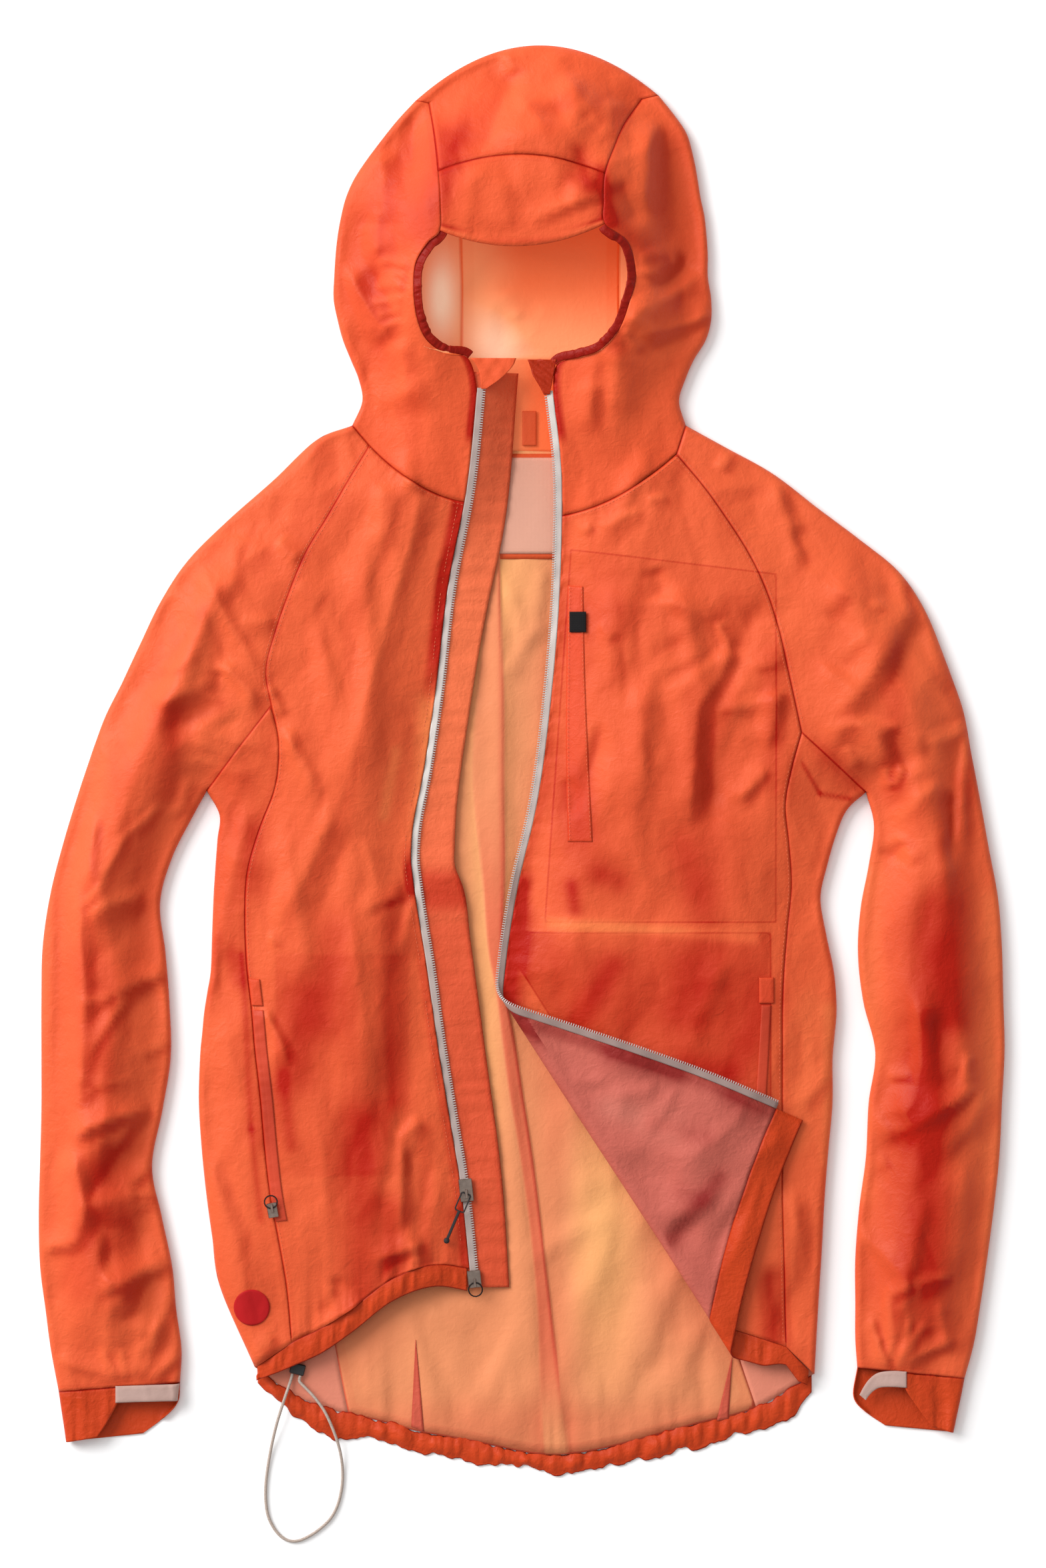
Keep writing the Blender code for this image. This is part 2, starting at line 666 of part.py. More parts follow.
def side_panel(name, front, side):
    """A panel from the front seam round the fold to the back seam."""
    seam = front[7:, 1:3]
    fold = side[:, :2]
    back = side[:, 2:4]
    top_share = fold_shares(np.linalg.norm(seam - fold, axis=1), 2, False)
    low_share = fold_shares(np.linalg.norm(back - fold, axis=1), 3, True)
    xt, yt = row_grid(seam, fold, top_share)
    xl, yl = row_grid(fold, back, low_share)
    xt, yt = inset(xt, yt, last_col=0)
    xl, yl = inset(xl, yl, first_col=0)
    hem = np.clip(xl[-1], HEM_BACK[0, 0], HEM_BACK[-1, 0])
    yl[-1] = cubic(HEM_BACK[:, 0], HEM_BACK[:, 1], hem) + 0.16
    upper, up = skin(xt, yt, 1)
    lower, down = skin(xl, yl, -1)
    upper[:, -1, 2] = EDGE_R
    points = np.concatenate([upper, lower[:, 1:]], 1)
    normal = np.concatenate([up, down[:, 1:]], 1)
    slab(name, points, normal, SHELL)
    return upper, up


# ---------------------------------------------------------------- fronts
def front_right():
    edge = np.stack([curve_x(ZIP_RIGHT, FRONT_RIGHT[:, 0]) - 2.5, FRONT_RIGHT[:, 0]], 1)
    shares = np.array([0, 0.06, 0.14, 0.23, 0.32, 0.41, 0.5, 0.59, 0.68, 0.77, 0.86, 0.94, 1.0])
    x, y = row_grid(edge, FRONT_RIGHT[:, 1:3], shares, FRONT_RIGHT[:, 3])
    y[-1] = cubic(-HEM_FRONT[:, 0], HEM_FRONT[:, 1], -x[-1])
    x, y = inset(x, y, first_col=0)
    points, normal = skin(x, y, 1)
    slab("front_right", points, normal, SHELL)
    return points, normal


def roll_radius(a):
    return ROLL_START + (ROLL_END - ROLL_START) * smooth(a / FOLD_LENGTH)


def folded(px, py):
    """Where a point of the unfolded left front comes to lie: rolled over at the fold line."""
    dx = px - FOLD_START[0]
    dy = py - FOLD_START[1]
    a = dx * FOLD_ALONG[0] + dy * FOLD_ALONG[1]
    s = dx * FOLD_ACROSS[0] + dy * FOLD_ACROSS[1]
    r = roll_radius(a)
    turn = np.clip(-s / r, 0.0, math.pi)
    past = np.clip(-s - math.pi * r, 0.0, None)
    g = np.where(s > 0, s, -r * np.sin(turn) + past)
    lift = r * (1 - np.cos(turn))
    rest = FLAP_REST + (2 * r - FLAP_REST) * np.exp(-(past / 34.0) ** 1.4)
    lift = np.where(past > 0, rest, lift)
    x = FOLD_START[0] + a * FOLD_ALONG[0] + g * FOLD_ACROSS[0]
    y = FOLD_START[1] + a * FOLD_ALONG[1] + g * FOLD_ACROSS[1]
    wave = 1.6 * smooth((past - 12) / 30) * (1 + np.sin(a / 15.0 + 0.03 * past))
    return x, y, height(x, y) + lift + wave


def folded_skin(px, py):
    """Points and normals of the left front from its unfolded coordinates."""
    step = 0.3
    here = np.stack(folded(px, py), -1)
    east = np.stack(folded(px + step, py), -1) - np.stack(folded(px - step, py), -1)
    north = np.stack(folded(px, py + step), -1) - np.stack(folded(px, py - step), -1)
    normal = np.cross(east, north)
    normal = normal / np.linalg.norm(normal, axis=-1, keepdims=True)
    return here, normal


FLAP_COLS = 4
ROLL_COLS = 5


def left_shares(edge, seam):
    """Column shares of the left front: turned corner, roll and the part that lies open."""
    rows = []
    main = 9
    for e, s in zip(edge, seam):
        size = np.linalg.norm(s - e)
        s0 = np.dot(e - FOLD_START, FOLD_ACROSS)
        s1 = np.dot(s - FOLD_START, FOLD_ACROSS)
        cross = (0 - s0) / (s1 - s0)
        a = np.dot(e + (s - e) * np.clip(cross, 0, 1) - FOLD_START, FOLD_ALONG)
        rolled = math.pi * float(roll_radius(np.array(a)))
        f1 = (-rolled - s0) / (s1 - s0)
        f1 = max(f1, 8.0 / size)
        f2 = max(cross, f1 + 20.0 / size)
        part = np.concatenate([np.linspace(0, f1, FLAP_COLS + 1)[:-1],
                               np.linspace(f1, f2, ROLL_COLS + 1)[:-1],
                               np.linspace(f2, 1, main + 1)])
        rows.append(part)
    return np.array(rows)


def front_left():
    edge = np.stack([curve_x(ZIP_LEFT, FRONT_LEFT[:, 0]) + 2.5, FRONT_LEFT[:, 0]], 1)
    seam = FRONT_LEFT[:, 1:3]
    shares = left_shares(edge, seam)
    x, y = row_grid(edge, seam, shares, FRONT_LEFT[:, 3])
    hem_x = x[-1].copy()
    hem_y = y[-1].copy()
    x, y = inset(x, y, first_col=0)
    points, normal = folded_skin(x, y)
    slab("front_left", points, normal, SHELL)
    tape_x = edge[:, 0][:, None] + np.array([-0.3, -3.4, -6.6])[None, :]
    tape_y = edge[:, 1][:, None] + np.zeros(3)[None, :]
    extra = np.array([(curve_x(ZIP_LEFT, v), v) for v in (275, 243, 212)])
    tape_x = np.concatenate([extra[:, :1] + 2.5 + np.array([[-0.3, -3.4, -6.6]]), tape_x])
    tape_y = np.concatenate([extra[:, 1:2] + np.zeros((1, 3)), tape_y])
    tape, up = folded_skin(tape_x, tape_y)
    slab("zip_tape_left", tape, up, GREY)
    steps = np.array([0.35, 8.0, 16.0, 22.0])
    band_x = hem_x[None, :] + 0 * steps[:, None]
    u = np.linspace(0, 1, len(hem_x))
    band_y = hem_y[None, :] - steps[:, None] * (1 - 0.1 * u[None, :])
    fix = smooth((hem_x - 178) / 20)
    band_y = band_y + 6 * (steps[:, None] / 22) * fix[None, :]
    end_x = np.array([[206.0], [206.3], [206.6], [207.0]])
    end_y = np.array([[-448.6], [-454.5], [-460.5], [-466.0]])
    last_x = np.array([[215.0], [214.8], [214.5], [214.0]])
    last_y = np.array([[-457.6], [-461.5], [-465.5], [-469.0]])
    band_x = np.concatenate([band_x, end_x, last_x], 1)
    band_y = np.concatenate([band_y, end_y, last_y], 1)
    band, up = folded_skin(band_x, band_y)
    ruffle = np.sin(band_x * 0.32) * 0.8 * np.sin(math.pi * steps / 22)[:, None]
    band = band + up * (ruffle * smooth((206 - band_x) / 20))[..., None]
    slab("hem_front_left", band, up, DEEP)
    return points, normal


# ---------------------------------------------------------------- sleeves and cuffs
def sleeve(name, table):
    outer = table[:, :2]
    inner = table[:, 2:4]
    size = np.linalg.norm(outer - inner, axis=1)
    near = np.array(ARC)[None, :] * np.minimum(EDGE_R, size * 0.12)[:, None] / size[:, None]
    mid = np.linspace(0, 1, 6)[None, 1:-1]
    middle = near[:, -1:] + (1 - 2 * near[:, -1:]) * mid
    shares = np.concatenate([near, middle, (1 - near)[:, ::-1]], 1)
    x, y = row_grid(outer, inner, shares)
    first = x.copy()
    for side, half in ((1, "front"), (-1, "back")):
        gx, gy = inset(x, y, first_col=0, last_col=0)
        gx[:9] = inset(first[:9], y[:9], 0, 0, 0, SEAM)[0]
        gy[:9] = inset(first[:9], y[:9], 0, 0, 0, SEAM)[1]
        gx[0], gy[0] = gx[0] + 0.0, gy[0] - 0.3
        points, normal = skin(gx, gy, side)
        slab("sleeve_" + half + "_" + name, points, normal, SHELL)


def cuff(name, table):
    free = table[:, :2]
    outer = table[:, 2:4]
    inner = table[:, 4:6]
    xt, yt = row_grid(free, outer, fold_shares(np.linalg.norm(free - outer, axis=1), 2, False))
    size = np.linalg.norm(inner - outer, axis=1)
    near = np.array(ARC)[None, :] * EDGE_R / size[:, None]
    mid = near[:, -1:] + (1 - 2 * near[:, -1:]) * np.linspace(0, 1, 5)[None, 1:-1]
    share = np.concatenate([near, mid, (1 - near)[:, :0:-1]], 1)
    xl, yl = row_grid(outer, inner, share)
    xt, yt = inset(xt, yt, last_row=0, first_col=0, last_col=0)
    xl, yl = inset(xl, yl, last_row=0, first_col=0, last_col=0)
    upper, up = skin(xt, yt, 1)
    lower, down = skin(xl, yl, -1)
    upper[:, -1, 2] = EDGE_R
    points = np.concatenate([upper, lower[:, 1:]], 1)
    normal = np.concatenate([up, down[:, 1:]], 1)
    slab("cuff_" + name, points, normal, DEEP)
    return upper, up


# ---------------------------------------------------------------- hood
def hood_side(name, table):
    front = table[:, :2]
    fold = table[:, 2:4]
    back = table[:, 4:6]
    front_d = np.linalg.norm(front - fold, axis=1)
    back_d = np.linalg.norm(back - fold, axis=1)
    r = np.minimum(EDGE_R, np.minimum(front_d, back_d) * 0.4)
    near = np.array(ARC)[None, :] * r[:, None]
    top = near / front_d[:, None]
    rest = top[:, -1:] + (1 - top[:, -1:]) * np.linspace(0, 1, 6)[None, 1:]
    top_share = (1 - np.concatenate([top, rest], 1))[:, ::-1]
    low = near / back_d[:, None]
    rest = low[:, -1:] + (1 - low[:, -1:]) * np.linspace(0, 1, 5)[None, 1:]
    low_share = np.concatenate([low, rest], 1)
    bows = np.zeros(len(table))
    bows[:3] = (-12, -5, -1)
    xt, yt = row_grid(front, fold, top_share, bows)
    xl, yl = row_grid(fold, back, low_share)
    raglan = np.array([FRONT_RIGHT, FRONT_LEFT])[0 if fold[0, 0] < 0 else 1][0, 1:3]
    xl[0], yl[0] = neck_path(fold[0], raglan, back[0], len(low_share[0]))
    xt[0], yt[0] = neck_top(front[0], raglan, fold[0], top_share[0])
    last = (xt[-1].copy(), yt[-1].copy(), xl[-1].copy(), yl[-1].copy())
    front_line = (xt[:, 0].copy(), yt[:, 0].copy())
    back_line = (xl[:, -1].copy(), yl[:, -1].copy())
    xt, yt = inset(xt, yt, first_row=0.3, last_col=0)
    xl, yl = inset(xl, yl, first_row=0.3, first_col=0)
    upper, up = skin(xt, yt, 1)
    lower, down = skin(xl, yl, -1)
    upper[:, -1, 2] = EDGE_R
    points = np.concatenate([upper, lower[:, 1:]], 1)
    normal = np.concatenate([up, down[:, 1:]], 1)
    slab("hood_side_" + name, points, normal, SHELL)
    return last, front_line, back_line, upper, up


def neck_path(fold, raglan, back, count):
    """Back neck seam of a hood side: from the outline to the raglan point, then across."""
    shares = np.concatenate([np.array(ARC) * 0.28, np.linspace(1, 2, count - len(ARC))])
    x = np.where(shares < 1, fold[0] + (raglan[0] - fold[0]) * shares,
                 raglan[0] + (back[0] - raglan[0]) * (shares - 1))
    y = np.where(shares < 1, fold[1] + (raglan[1] - fold[1]) * shares,
                 raglan[1] + (back[1] - raglan[1]) * (shares - 1))
    return x, y


def neck_top(front, raglan, fold, shares):
    """Front neck seam: bowed from the zip to the raglan point, then to the outline."""
    count = len(shares)
    main = np.linspace(0, 1, count - len(ARC))
    x1 = front[0] + (raglan[0] - front[0]) * main
    y1 = front[1] + (raglan[1] - front[1]) * main - 8.0 * 4 * main * (1 - main)
    tail = (1 - np.array(ARC) * 0.28)[::-1]
    x2 = raglan[0] + (fold[0] - raglan[0]) * tail
    y2 = raglan[1] + (fold[1] - raglan[1]) * tail
    return np.concatenate([x1, x2]), np.concatenate([y1, y2])


def hood_centre(right, left):
    """Middle panel: from the brim over the crown and down the back to the neck."""
    last_r, front_r, back_r = right[:3]
    last_l, front_l, back_l = left[:3]
    xr = np.concatenate([front_r[0][13:16], last_r[0], last_r[2][1:], back_r[0][-2::-1]])
    yr = np.concatenate([front_r[1][13:16], last_r[1], last_r[3][1:], back_r[1][-2::-1]])
    xl = np.concatenate([front_l[0][13:16], last_l[0], last_l[2][1:], back_l[0][-2::-1]])
    yl = np.concatenate([front_l[1][13:16], last_l[1], last_l[3][1:], back_l[1][-2::-1]])
    tops = len(last_r[0])
    crown = 3 + tops - 1
    want = CROWN_BOW - np.array(ARC)[::-1] * EDGE_R
    bows = np.zeros(len(xr))
    bows[:3] = (13, 18, 25)
    rows = np.linspace(0, 1, tops - len(ARC) + 1)
    bows[3:crown + 1] = np.concatenate([29 + (want[0] - 29) * rows, want[1:]])
    lows = len(last_r[2])
    after = crown + lows
    back = np.linspace(0, 1, lows - len(ARC) + 1)
    bows[crown:after] = np.concatenate([want[::-1][:-1], want[0] + (26 - want[0]) * back])
    bows[after:after + 4] = (17, 9, 4, 1)
    shares = np.linspace(0, 1, 7)
    x, y = row_grid(np.stack([xr, yr], 1), np.stack([xl, yl], 1), shares, bows)
    x, y = inset(x, y)
    side = np.where(np.arange(len(xr)) <= crown, 1, -1)
    upper, up = skin(x[:crown + 1], y[:crown + 1], 1)
    lower, down = skin(x[crown + 1:], y[crown + 1:], -1)
    upper[-1, :, 2] = EDGE_R
    points = np.concatenate([upper, lower])
    normal = np.concatenate([up, down])
    slab("hood_centre", points, normal, SHELL)
    return side


def hood_brim(right, left):
    """Brim between the centre panel and the face opening."""
    fr = right[1]
    fl = left[1]
    starts = np.stack([fr[0][11:14], fr[1][11:14]], 1)
    ends = np.stack([fl[0][11:14], fl[1][11:14]], 1)
    x, y = row_grid(starts, ends, np.linspace(0, 1, 7), (-14, 2, 13))
    x, y = inset(x, y, first_row=0)
    points, normal = skin(x, y, 1)
    slab("hood_brim", points, normal, SHELL)


def binding(name, line, wave):
    """Gathered elastic edge of the face opening, inside the hood's free edge."""
    x = line[0][4:12]
    y = line[1][4:12]
    t = np.linspace(0, len(x) - 1, 15)
    i = np.arange(len(x), dtype=float)
    px = np.interp(t, i, x)
    py = np.interp(t, i, y)
    cx = np.gradient(py)
    cy = -np.gradient(px)
    flip = np.sign(cx * (2 - px) + cy * (346 - py))
    cx = cx * flip
    cy = cy * flip
    size = np.hypot(cx, cy)
    steps = np.array([0.55, 3.2, 6.0])[:, None]
    gx = px[None, :] + cx / size * steps
    gy = py[None, :] + cy / size * steps
    points, normal = skin(gx, gy, 1)
    points[..., 2] += 0.5 * np.sin(np.arange(15) * math.pi * wave)[None, :]
    slab("face_binding_" + name, points, normal, DEEP)


# ---------------------------------------------------------------- zip, flap, chin guard
def zip_tape_right():
    y = np.concatenate([[277, 244, 216], FRONT_RIGHT[:, 0]])
    y[-1] = -394
    x = curve_x(ZIP_RIGHT, y)
    gx = x[:, None] - 2.5 + np.array([0.3, 3.4, 6.6])[None, :]
    gy = y[:, None] + np.zeros(3)[None, :]
    z = opening_height(gy)
    points = np.stack([gx, gy, z], -1)
    normal = np.zeros_like(points)
    normal[..., 2] = 1
    slab("zip_tape_right", points, normal, GREY)


def storm_flap():
    y = np.concatenate([[289, 272, 244, 216], FRONT_RIGHT[:, 0]])
    y[-1] = -396
    x0 = curve_x(ZIP_RIGHT, y) - 2.5
    x1 = curve_x(STORM_EDGE, y)
    shares = np.array([-6.0, 0.0, 9.0])
    cols = [x0 + s for s in shares] + [x1]
    gx = np.stack(cols, 1)
    gy = y[:, None] + np.zeros(4)[None, :]
    away = gx - x0[:, None]
    edge_z = opening_height(gy)
    under = np.maximum(height(gx, gy) - edge_z, 0) * (away < 0)
    fall = smooth((away - 4) / 30) * (edge_z - 7.0)
    z = edge_z + under - 1.5 - fall
    points = np.stack([gx, gy, z], -1)
    normal = np.zeros_like(points)
    normal[..., 2] = 1
    slab("storm_flap", points, normal, DEEP)


def chin_guard():
    y = np.array([299, 294, 288, 282, 276.0])
    x0 = np.array([-38, -34, -31.5, -30.5, -30.0])
    x1 = np.array([-4, -6, -11, -18, -27.0])
    x, gy = row_grid(np.stack([x0, y], 1), np.stack([x1, y], 1), np.linspace(0, 1, 5))
    z = opening_height(gy) + 2.0 + 0 * x
    points = np.stack([x, gy, z], -1)
    normal = np.zeros_like(points)
    normal[..., 2] = 1
    slab("chin_guard", points, normal, SHELL)


# ---------------------------------------------------------------- hem bands
def hem_back():
    """Gathered hem band that lies on the surface along the whole back."""
    x = np.linspace(HEM_BACK[0, 0] + 2, HEM_BACK[-1, 0] - 2, 64)
    top = cubic(HEM_BACK[:, 0], HEM_BACK[:, 1], x) - 0.2
    low = cubic(HEM_BACK[:, 0], HEM_BACK[:, 2], x)
    wave = np.sin(x * 0.27 + 1.4 * np.sin(x * 0.043))
    side = np.sin(x * 0.41 + 2.0 * np.sin(x * 0.031))
    t = np.array([0.0, 0.35, 0.7, 1.0])[:, None]
    ends = np.minimum(smooth((x - x[0]) / 16), smooth((x[-1] - x) / 16))[None, :]
    gy = top[None, :] + (low - top)[None, :] * t + (1.6 * side * ends[0])[None, :] * t ** 2
    gx = x[None, :] + 0 * t
    lift = ends * (1.3 * (1 + wave)[None, :] * np.sin(math.pi * np.clip(t * 1.15, 0, 1)))
    points = np.stack([gx, gy, lift], -1)
    normal = np.zeros_like(points)
    normal[..., 2] = -1
    slab("hem_back", points, normal, DEEP, 0.0, 1.3)


def hem_front_right():
    x = np.linspace(-41.0, -198.0, 25)
    top = cubic(-HEM_FRONT[:, 0], HEM_FRONT[:, 1], -x) - 0.5
    low = cubic(-HEM_FRONT[:, 0], HEM_FRONT[:, 2], -x)
    t = np.array([0.0, 0.35, 0.7, 1.0])[:, None]
    gx = x[None, :] + 0 * t
    gy = top[None, :] + (low - top)[None, :] * t
    points, normal = skin(gx, gy, 1)
    keep = smooth((x + 198) / 22) * smooth((-42 - x) / 14)
    ruffle = 0.9 * (1 + np.sin(x * 0.24 + np.sin(x * 0.06)))
    points[..., 2] += keep * ruffle * np.sin(math.pi * t) * 1.0
    points[..., 2] = np.maximum(points[..., 2], 6.2)
    slab("hem_front_right", points, normal, DEEP)


# ---------------------------------------------------------------- small hard parts
def placed_box(name, centre, size, angle, colour, bevel=0.5, rough=0.5, metal=0.0):
    """A bevelled box turned about z."""
    bpy.ops.mesh.primitive_cube_add(size=1.0)
    obj = bpy.context.object
    obj.name = name
    obj.data.name = name
    c = math.cos(angle)
    s = math.sin(angle)
    for v in obj.data.vertices:
        x = v.co.x * size[0]
        y = v.co.y * size[1]
        z = v.co.z * size[2]
        v.co = ((centre[0] + c * x - s * y) * MM, (centre[1] + s * x + c * y) * MM,
                (centre[2] + z) * MM)
    mod = obj.modifiers.new("Bevel", "BEVEL")
    mod.width = bevel * MM
    mod.segments = 1
    material(obj, colour, rough, metal)
    return obj


def local_points(centre, angle, points):
    """Turn points given along (u, v, z) about z by an angle and move them to a place."""
    p = np.asarray(points, float)
    c = math.cos(angle)
    s = math.sin(angle)
    x = centre[0] + c * p[:, 0] - s * p[:, 1]
    y = centre[1] + s * p[:, 0] + c * p[:, 1]
    return np.stack([x, y, centre[2] + p[:, 2]], 1)


def wire(name, points, thick, colour, closed=False, rough=0.4, metal=1.0, sides=1):
    """A round wire along points in millimetres."""
    data = bpy.data.curves.new(name, "CURVE")
    data.dimensions = "3D"
    spline = data.splines.new("POLY")
    spline.points.add(len(points) - 1)
    for p, co in zip(spline.points, points):
        p.co = (co[0] * MM, co[1] * MM, co[2] * MM, 1)
    spline.use_cyclic_u = closed
    data.bevel_depth = thick / 2 * MM
    data.bevel_resolution = sides
    data.use_fill_caps = not closed
    obj = bpy.data.objects.new(name, data)
    bpy.context.scene.collection.objects.link(obj)
    material(obj, colour, rough, metal)
    return obj


def join(name, parts):
    """Union of overlapping parts by exact Booleans into one closed body."""
    for obj in parts:
        bpy.context.view_layer.objects.active = obj
        bpy.ops.object.select_all(action="DESELECT")
        obj.select_set(True)
        bpy.ops.object.convert(target="MESH")
    base = parts[0]
    for other in parts[1:]:
        mod = base.modifiers.new("Join", "BOOLEAN")
        mod.operation = "UNION"
        mod.solver = "EXACT"
        mod.object = other
        bpy.context.view_layer.objects.active = base
        bpy.ops.object.modifier_apply(modifier=mod.name)
        bpy.data.objects.remove(other, do_unlink=True)
    base.name = name
    base.data.name = name
    return base


def slider(name, centre, angle, length, width, arch):
    """Slider body with an arch lengthwise on top; a pull's end wire runs under the arch."""
    body = placed_box(name + "_a", centre, (width, length, 2.0), angle, STEEL, 0.4, 0.35, 1.0)
    high = 1.0
    reach = 2.5
    legs = []
    for sign in (1, -1):
        at = local_points(centre, angle, [(0, arch + sign * reach, high + 1.0)])[0]
        legs.append(placed_box(name + "_b", at, (1.8, 1.4, 3.4), angle, STEEL, 0.2, 0.35, 1.0))
    at = local_points(centre, angle, [(0, arch, high + 2.5)])[0]
    roof = placed_box(name + "_c", at, (1.8, 2 * reach + 1.4, 0.9), angle, STEEL, 0.2, 0.35, 1.0)
    return join(name, [body] + legs + [roof])


def pull_loop(name, pivot, angle, length, width, thick, drop, tail=0.0, ring=False):
    """A pull: closed wire whose end wire passes under the slider's arch at the pivot.

    It reaches along -v (turned by angle) and rises by drop (or sinks) to the loop's far end.
    """
    if ring:
        r = length / 2
        t = np.linspace(0, 2 * math.pi, 17)[:-1]
        pts = np.stack([r * np.sin(t), -r + r * np.cos(t), 0 * t], 1)
    else:
        w = width / 2
        c = 1.0
        pts = np.array([(-w + c, 0, 0), (w - c, 0, 0), (w, -c, 0), (w, -length + c, 0),
                        (w - c, -length, 0), (-w + c, -length, 0), (-w, -length + c, 0), (-w, -c, 0)],
                       float)
    slope = math.asin(drop / length)
    pts[:, 2] = -pts[:, 1] * math.sin(slope)
    pts[:, 1] = pts[:, 1] * math.cos(slope)
    path = local_points(pivot, angle, pts)
    loop = wire(name + "_a", path, thick, STEEL, True)
    if not tail:
        return join(name, [loop])
    level = math.cos(slope)
    start = local_points(pivot, angle, [(0, -(length - 0.4) * level, drop)])[0]
    end = local_points(pivot, angle, [(0, -(length + tail) * level, drop * (1 + tail / length))])[0]
    mid = start + (end - start) * 0.5
    cord = wire(name + "_b", [start, mid, end], 2.2, BLACK, False, 0.8, 0.0)
    bulb_at = end
    bpy.ops.mesh.primitive_uv_sphere_add(segments=10, ring_count=6, radius=2.3 * MM,
                                         location=tuple(bulb_at * MM))
    bulb = bpy.context.object
    bulb.name = name + "_c"
    bpy.ops.object.transform_apply(location=True, rotation=False, scale=False)
    material(bulb, BLACK, 0.8)
    return join(name, [loop, cord, bulb])


# ---------------------------------------------------------------- build everything
back_panel()
upper_right, up_right = side_panel("side_right", FRONT_RIGHT, SIDE_RIGHT)
upper_left, up_left = side_panel("side_left", FRONT_LEFT, SIDE_LEFT)
fr, fr_n = front_right()
fl, fl_n = front_left()
sleeve("right", SLEEVE_RIGHT)
sleeve("left", SLEEVE_LEFT)
cuff_r, cuff_rn = cuff("right", CUFF_RIGHT)
cuff_l, cuff_ln = cuff("left", CUFF_LEFT)
hood_r = hood_side("right", HOOD_RIGHT)
hood_l = hood_side("left", HOOD_LEFT)
hood_centre(hood_r, hood_l)
hood_brim(hood_r, hood_l)
binding("right", hood_r[1], 1.0)
binding("left", hood_l[1], 1.0)
zip_tape_right()
storm_flap()
chin_guard()
hem_back()
hem_front_right()

# Pockets and their trim, cut from the points of the panel they lie on or under.
cut_slab("chest_pocket_bag", fl[:14, 3:], fl_n[:14, 3:],
         [(26, 0, 0.9975, -0.07), (190, 0, -1, 0), (0, -122, 0, 1), (33, 157, -0.12, -0.993)],
         DEEP, UNDER, UNDER + WALL)
MAIN = FLAP_COLS + ROLL_COLS
cut_slab("hand_pocket_bag_left", fl[10:21, MAIN:], fl_n[10:21, MAIN:],
         [(0, -130, 0, -1), (0, -306, 0, 1), (186, 0, -1, 0), (4, -165, 0.8458, 0.5335)],
         DEEP, UNDER, UNDER + WALL)
cut_slab("hand_pocket_bag_right", fr[10:22], fr_n[10:22], box_planes(-184, -84, -312, -146),
         DEEP, UNDER, UNDER + WALL)
cut_slab("chest_welt", fl[1:13, 3:], fl_n[1:13, 3:], box_planes(33, 61, -63, 131),
         SHELL, -OVER - WALL, -OVER)
cut_slab("tab_label", fl[1:13, 3:], fl_n[1:13, 3:], box_planes(35.5, 48.5, 94.5, 110.5),
         BLACK, -2 * OVER - WALL - 0.9, -2 * OVER - WALL)
cut_slab("pocket_zip_right", fr[12:23, -2:], fr_n[12:23, -2:], box_planes(-300, 0, -346, -185.5),
         DEEP, -OVER - WALL, -OVER)
cut_slab("zip_garage_right", fr[12:23, -2:], fr_n[12:23, -2:], box_planes(-300, 0, -185, -163),
         SHELL, -OVER - WALL, -OVER)
cut_slab("pocket_zip_left", fl[12:22, MAIN:], fl_n[12:22, MAIN:],
         [(178.6, -183, 0.9976, -0.07), (186.4, -183, -0.9976, 0.07), (0, -183.5, 0, -1),
          (0, -326, 0, 1)], DEEP, -OVER - WALL, -OVER)
cut_slab("zip_garage_left", fl[12:22, MAIN:], fl_n[12:22, MAIN:], box_planes(177, 189, -183, -163),
         SHELL, -OVER - WALL, -OVER)
turns = [math.tau * k / 16 for k in range(16)]
cut_slab("round_patch", upper_right[-6:], up_right[-6:],
         [(-202 + 13.5 * math.cos(t), -410.5 + 13.5 * math.sin(t), -math.cos(t), -math.sin(t))
          for t in turns], (0.45, 0.01, 0.02), -OVER - WALL, -OVER)


def flat_piece(name, x0, x1, y0, y1, low, thick, colour):
    """A small flat piece of cloth that lies on the back's inside."""
    return placed_box(name, ((x0 + x1) / 2, (y0 + y1) / 2, low + thick / 2),
                      (x1 - x0, y1 - y0, thick), 0.0, colour, 0.2, 0.8)


flat_piece("label_backing", -22, 30, 150, 229, WALL + OVER, 0.8, DEEP)
flat_piece("neck_label", -18.5, 26.5, 154, 226, WALL + 2 * OVER + 0.8, 0.6, (0.7, 0.62, 0.58))
flat_piece("hang_loop", 0.5, 11.0, 235, 261, WALL + OVER, 1.2, DEEP)


# Hook-and-loop tabs of the cuffs: upper edge and lower edge, from the free end to the fold.
#  up_x  up_y  low_x  low_y
TAB_RIGHT = np.array([
    (-304, -469.5, -304, -482),
    (-292, -469, -292, -481.5),
    (-278, -468.5, -278, -481),
    (-266, -468.2, -266, -480.8),
    (-261, -468.1, -261.6, -480.8),
    (-258, -468.0, -259.3, -480.8),
    (-256.2, -468.0, -257.6, -480.8),
], float)
TAB_LEFT = np.array([
    (288, -458.5, 288, -470.5),
    (277, -458, 277, -470),
    (267, -459.5, 268.5, -470.5),
    (260.5, -464, 263.5, -473),
    (256, -470, 260.0, -476.5),
    (252.8, -476, 257.5, -480),
], float)


def cuff_tab(name, table):
    t = np.linspace(0, 1, 3)[:, None]
    x = table[:, 0][None, :] * (1 - t) + table[:, 2][None, :] * t
    y = table[:, 1][None, :] * (1 - t) + table[:, 3][None, :] * t
    points, normal = skin(x, y, 1)
    slab("cuff_tab_" + name, points, normal, GREY, -OVER - 1.1, -OVER)


cuff_tab("right", TAB_RIGHT)
cuff_tab("left", TAB_LEFT)


def rest_on(x, y, half_x, half_y):
    """Highest point of the upper skin under a small rectangle."""
    gx, gy = np.meshgrid(np.linspace(x - half_x, x + half_x, 7), np.linspace(y - half_y, y + half_y, 9))
    return float(height(gx, gy).max())


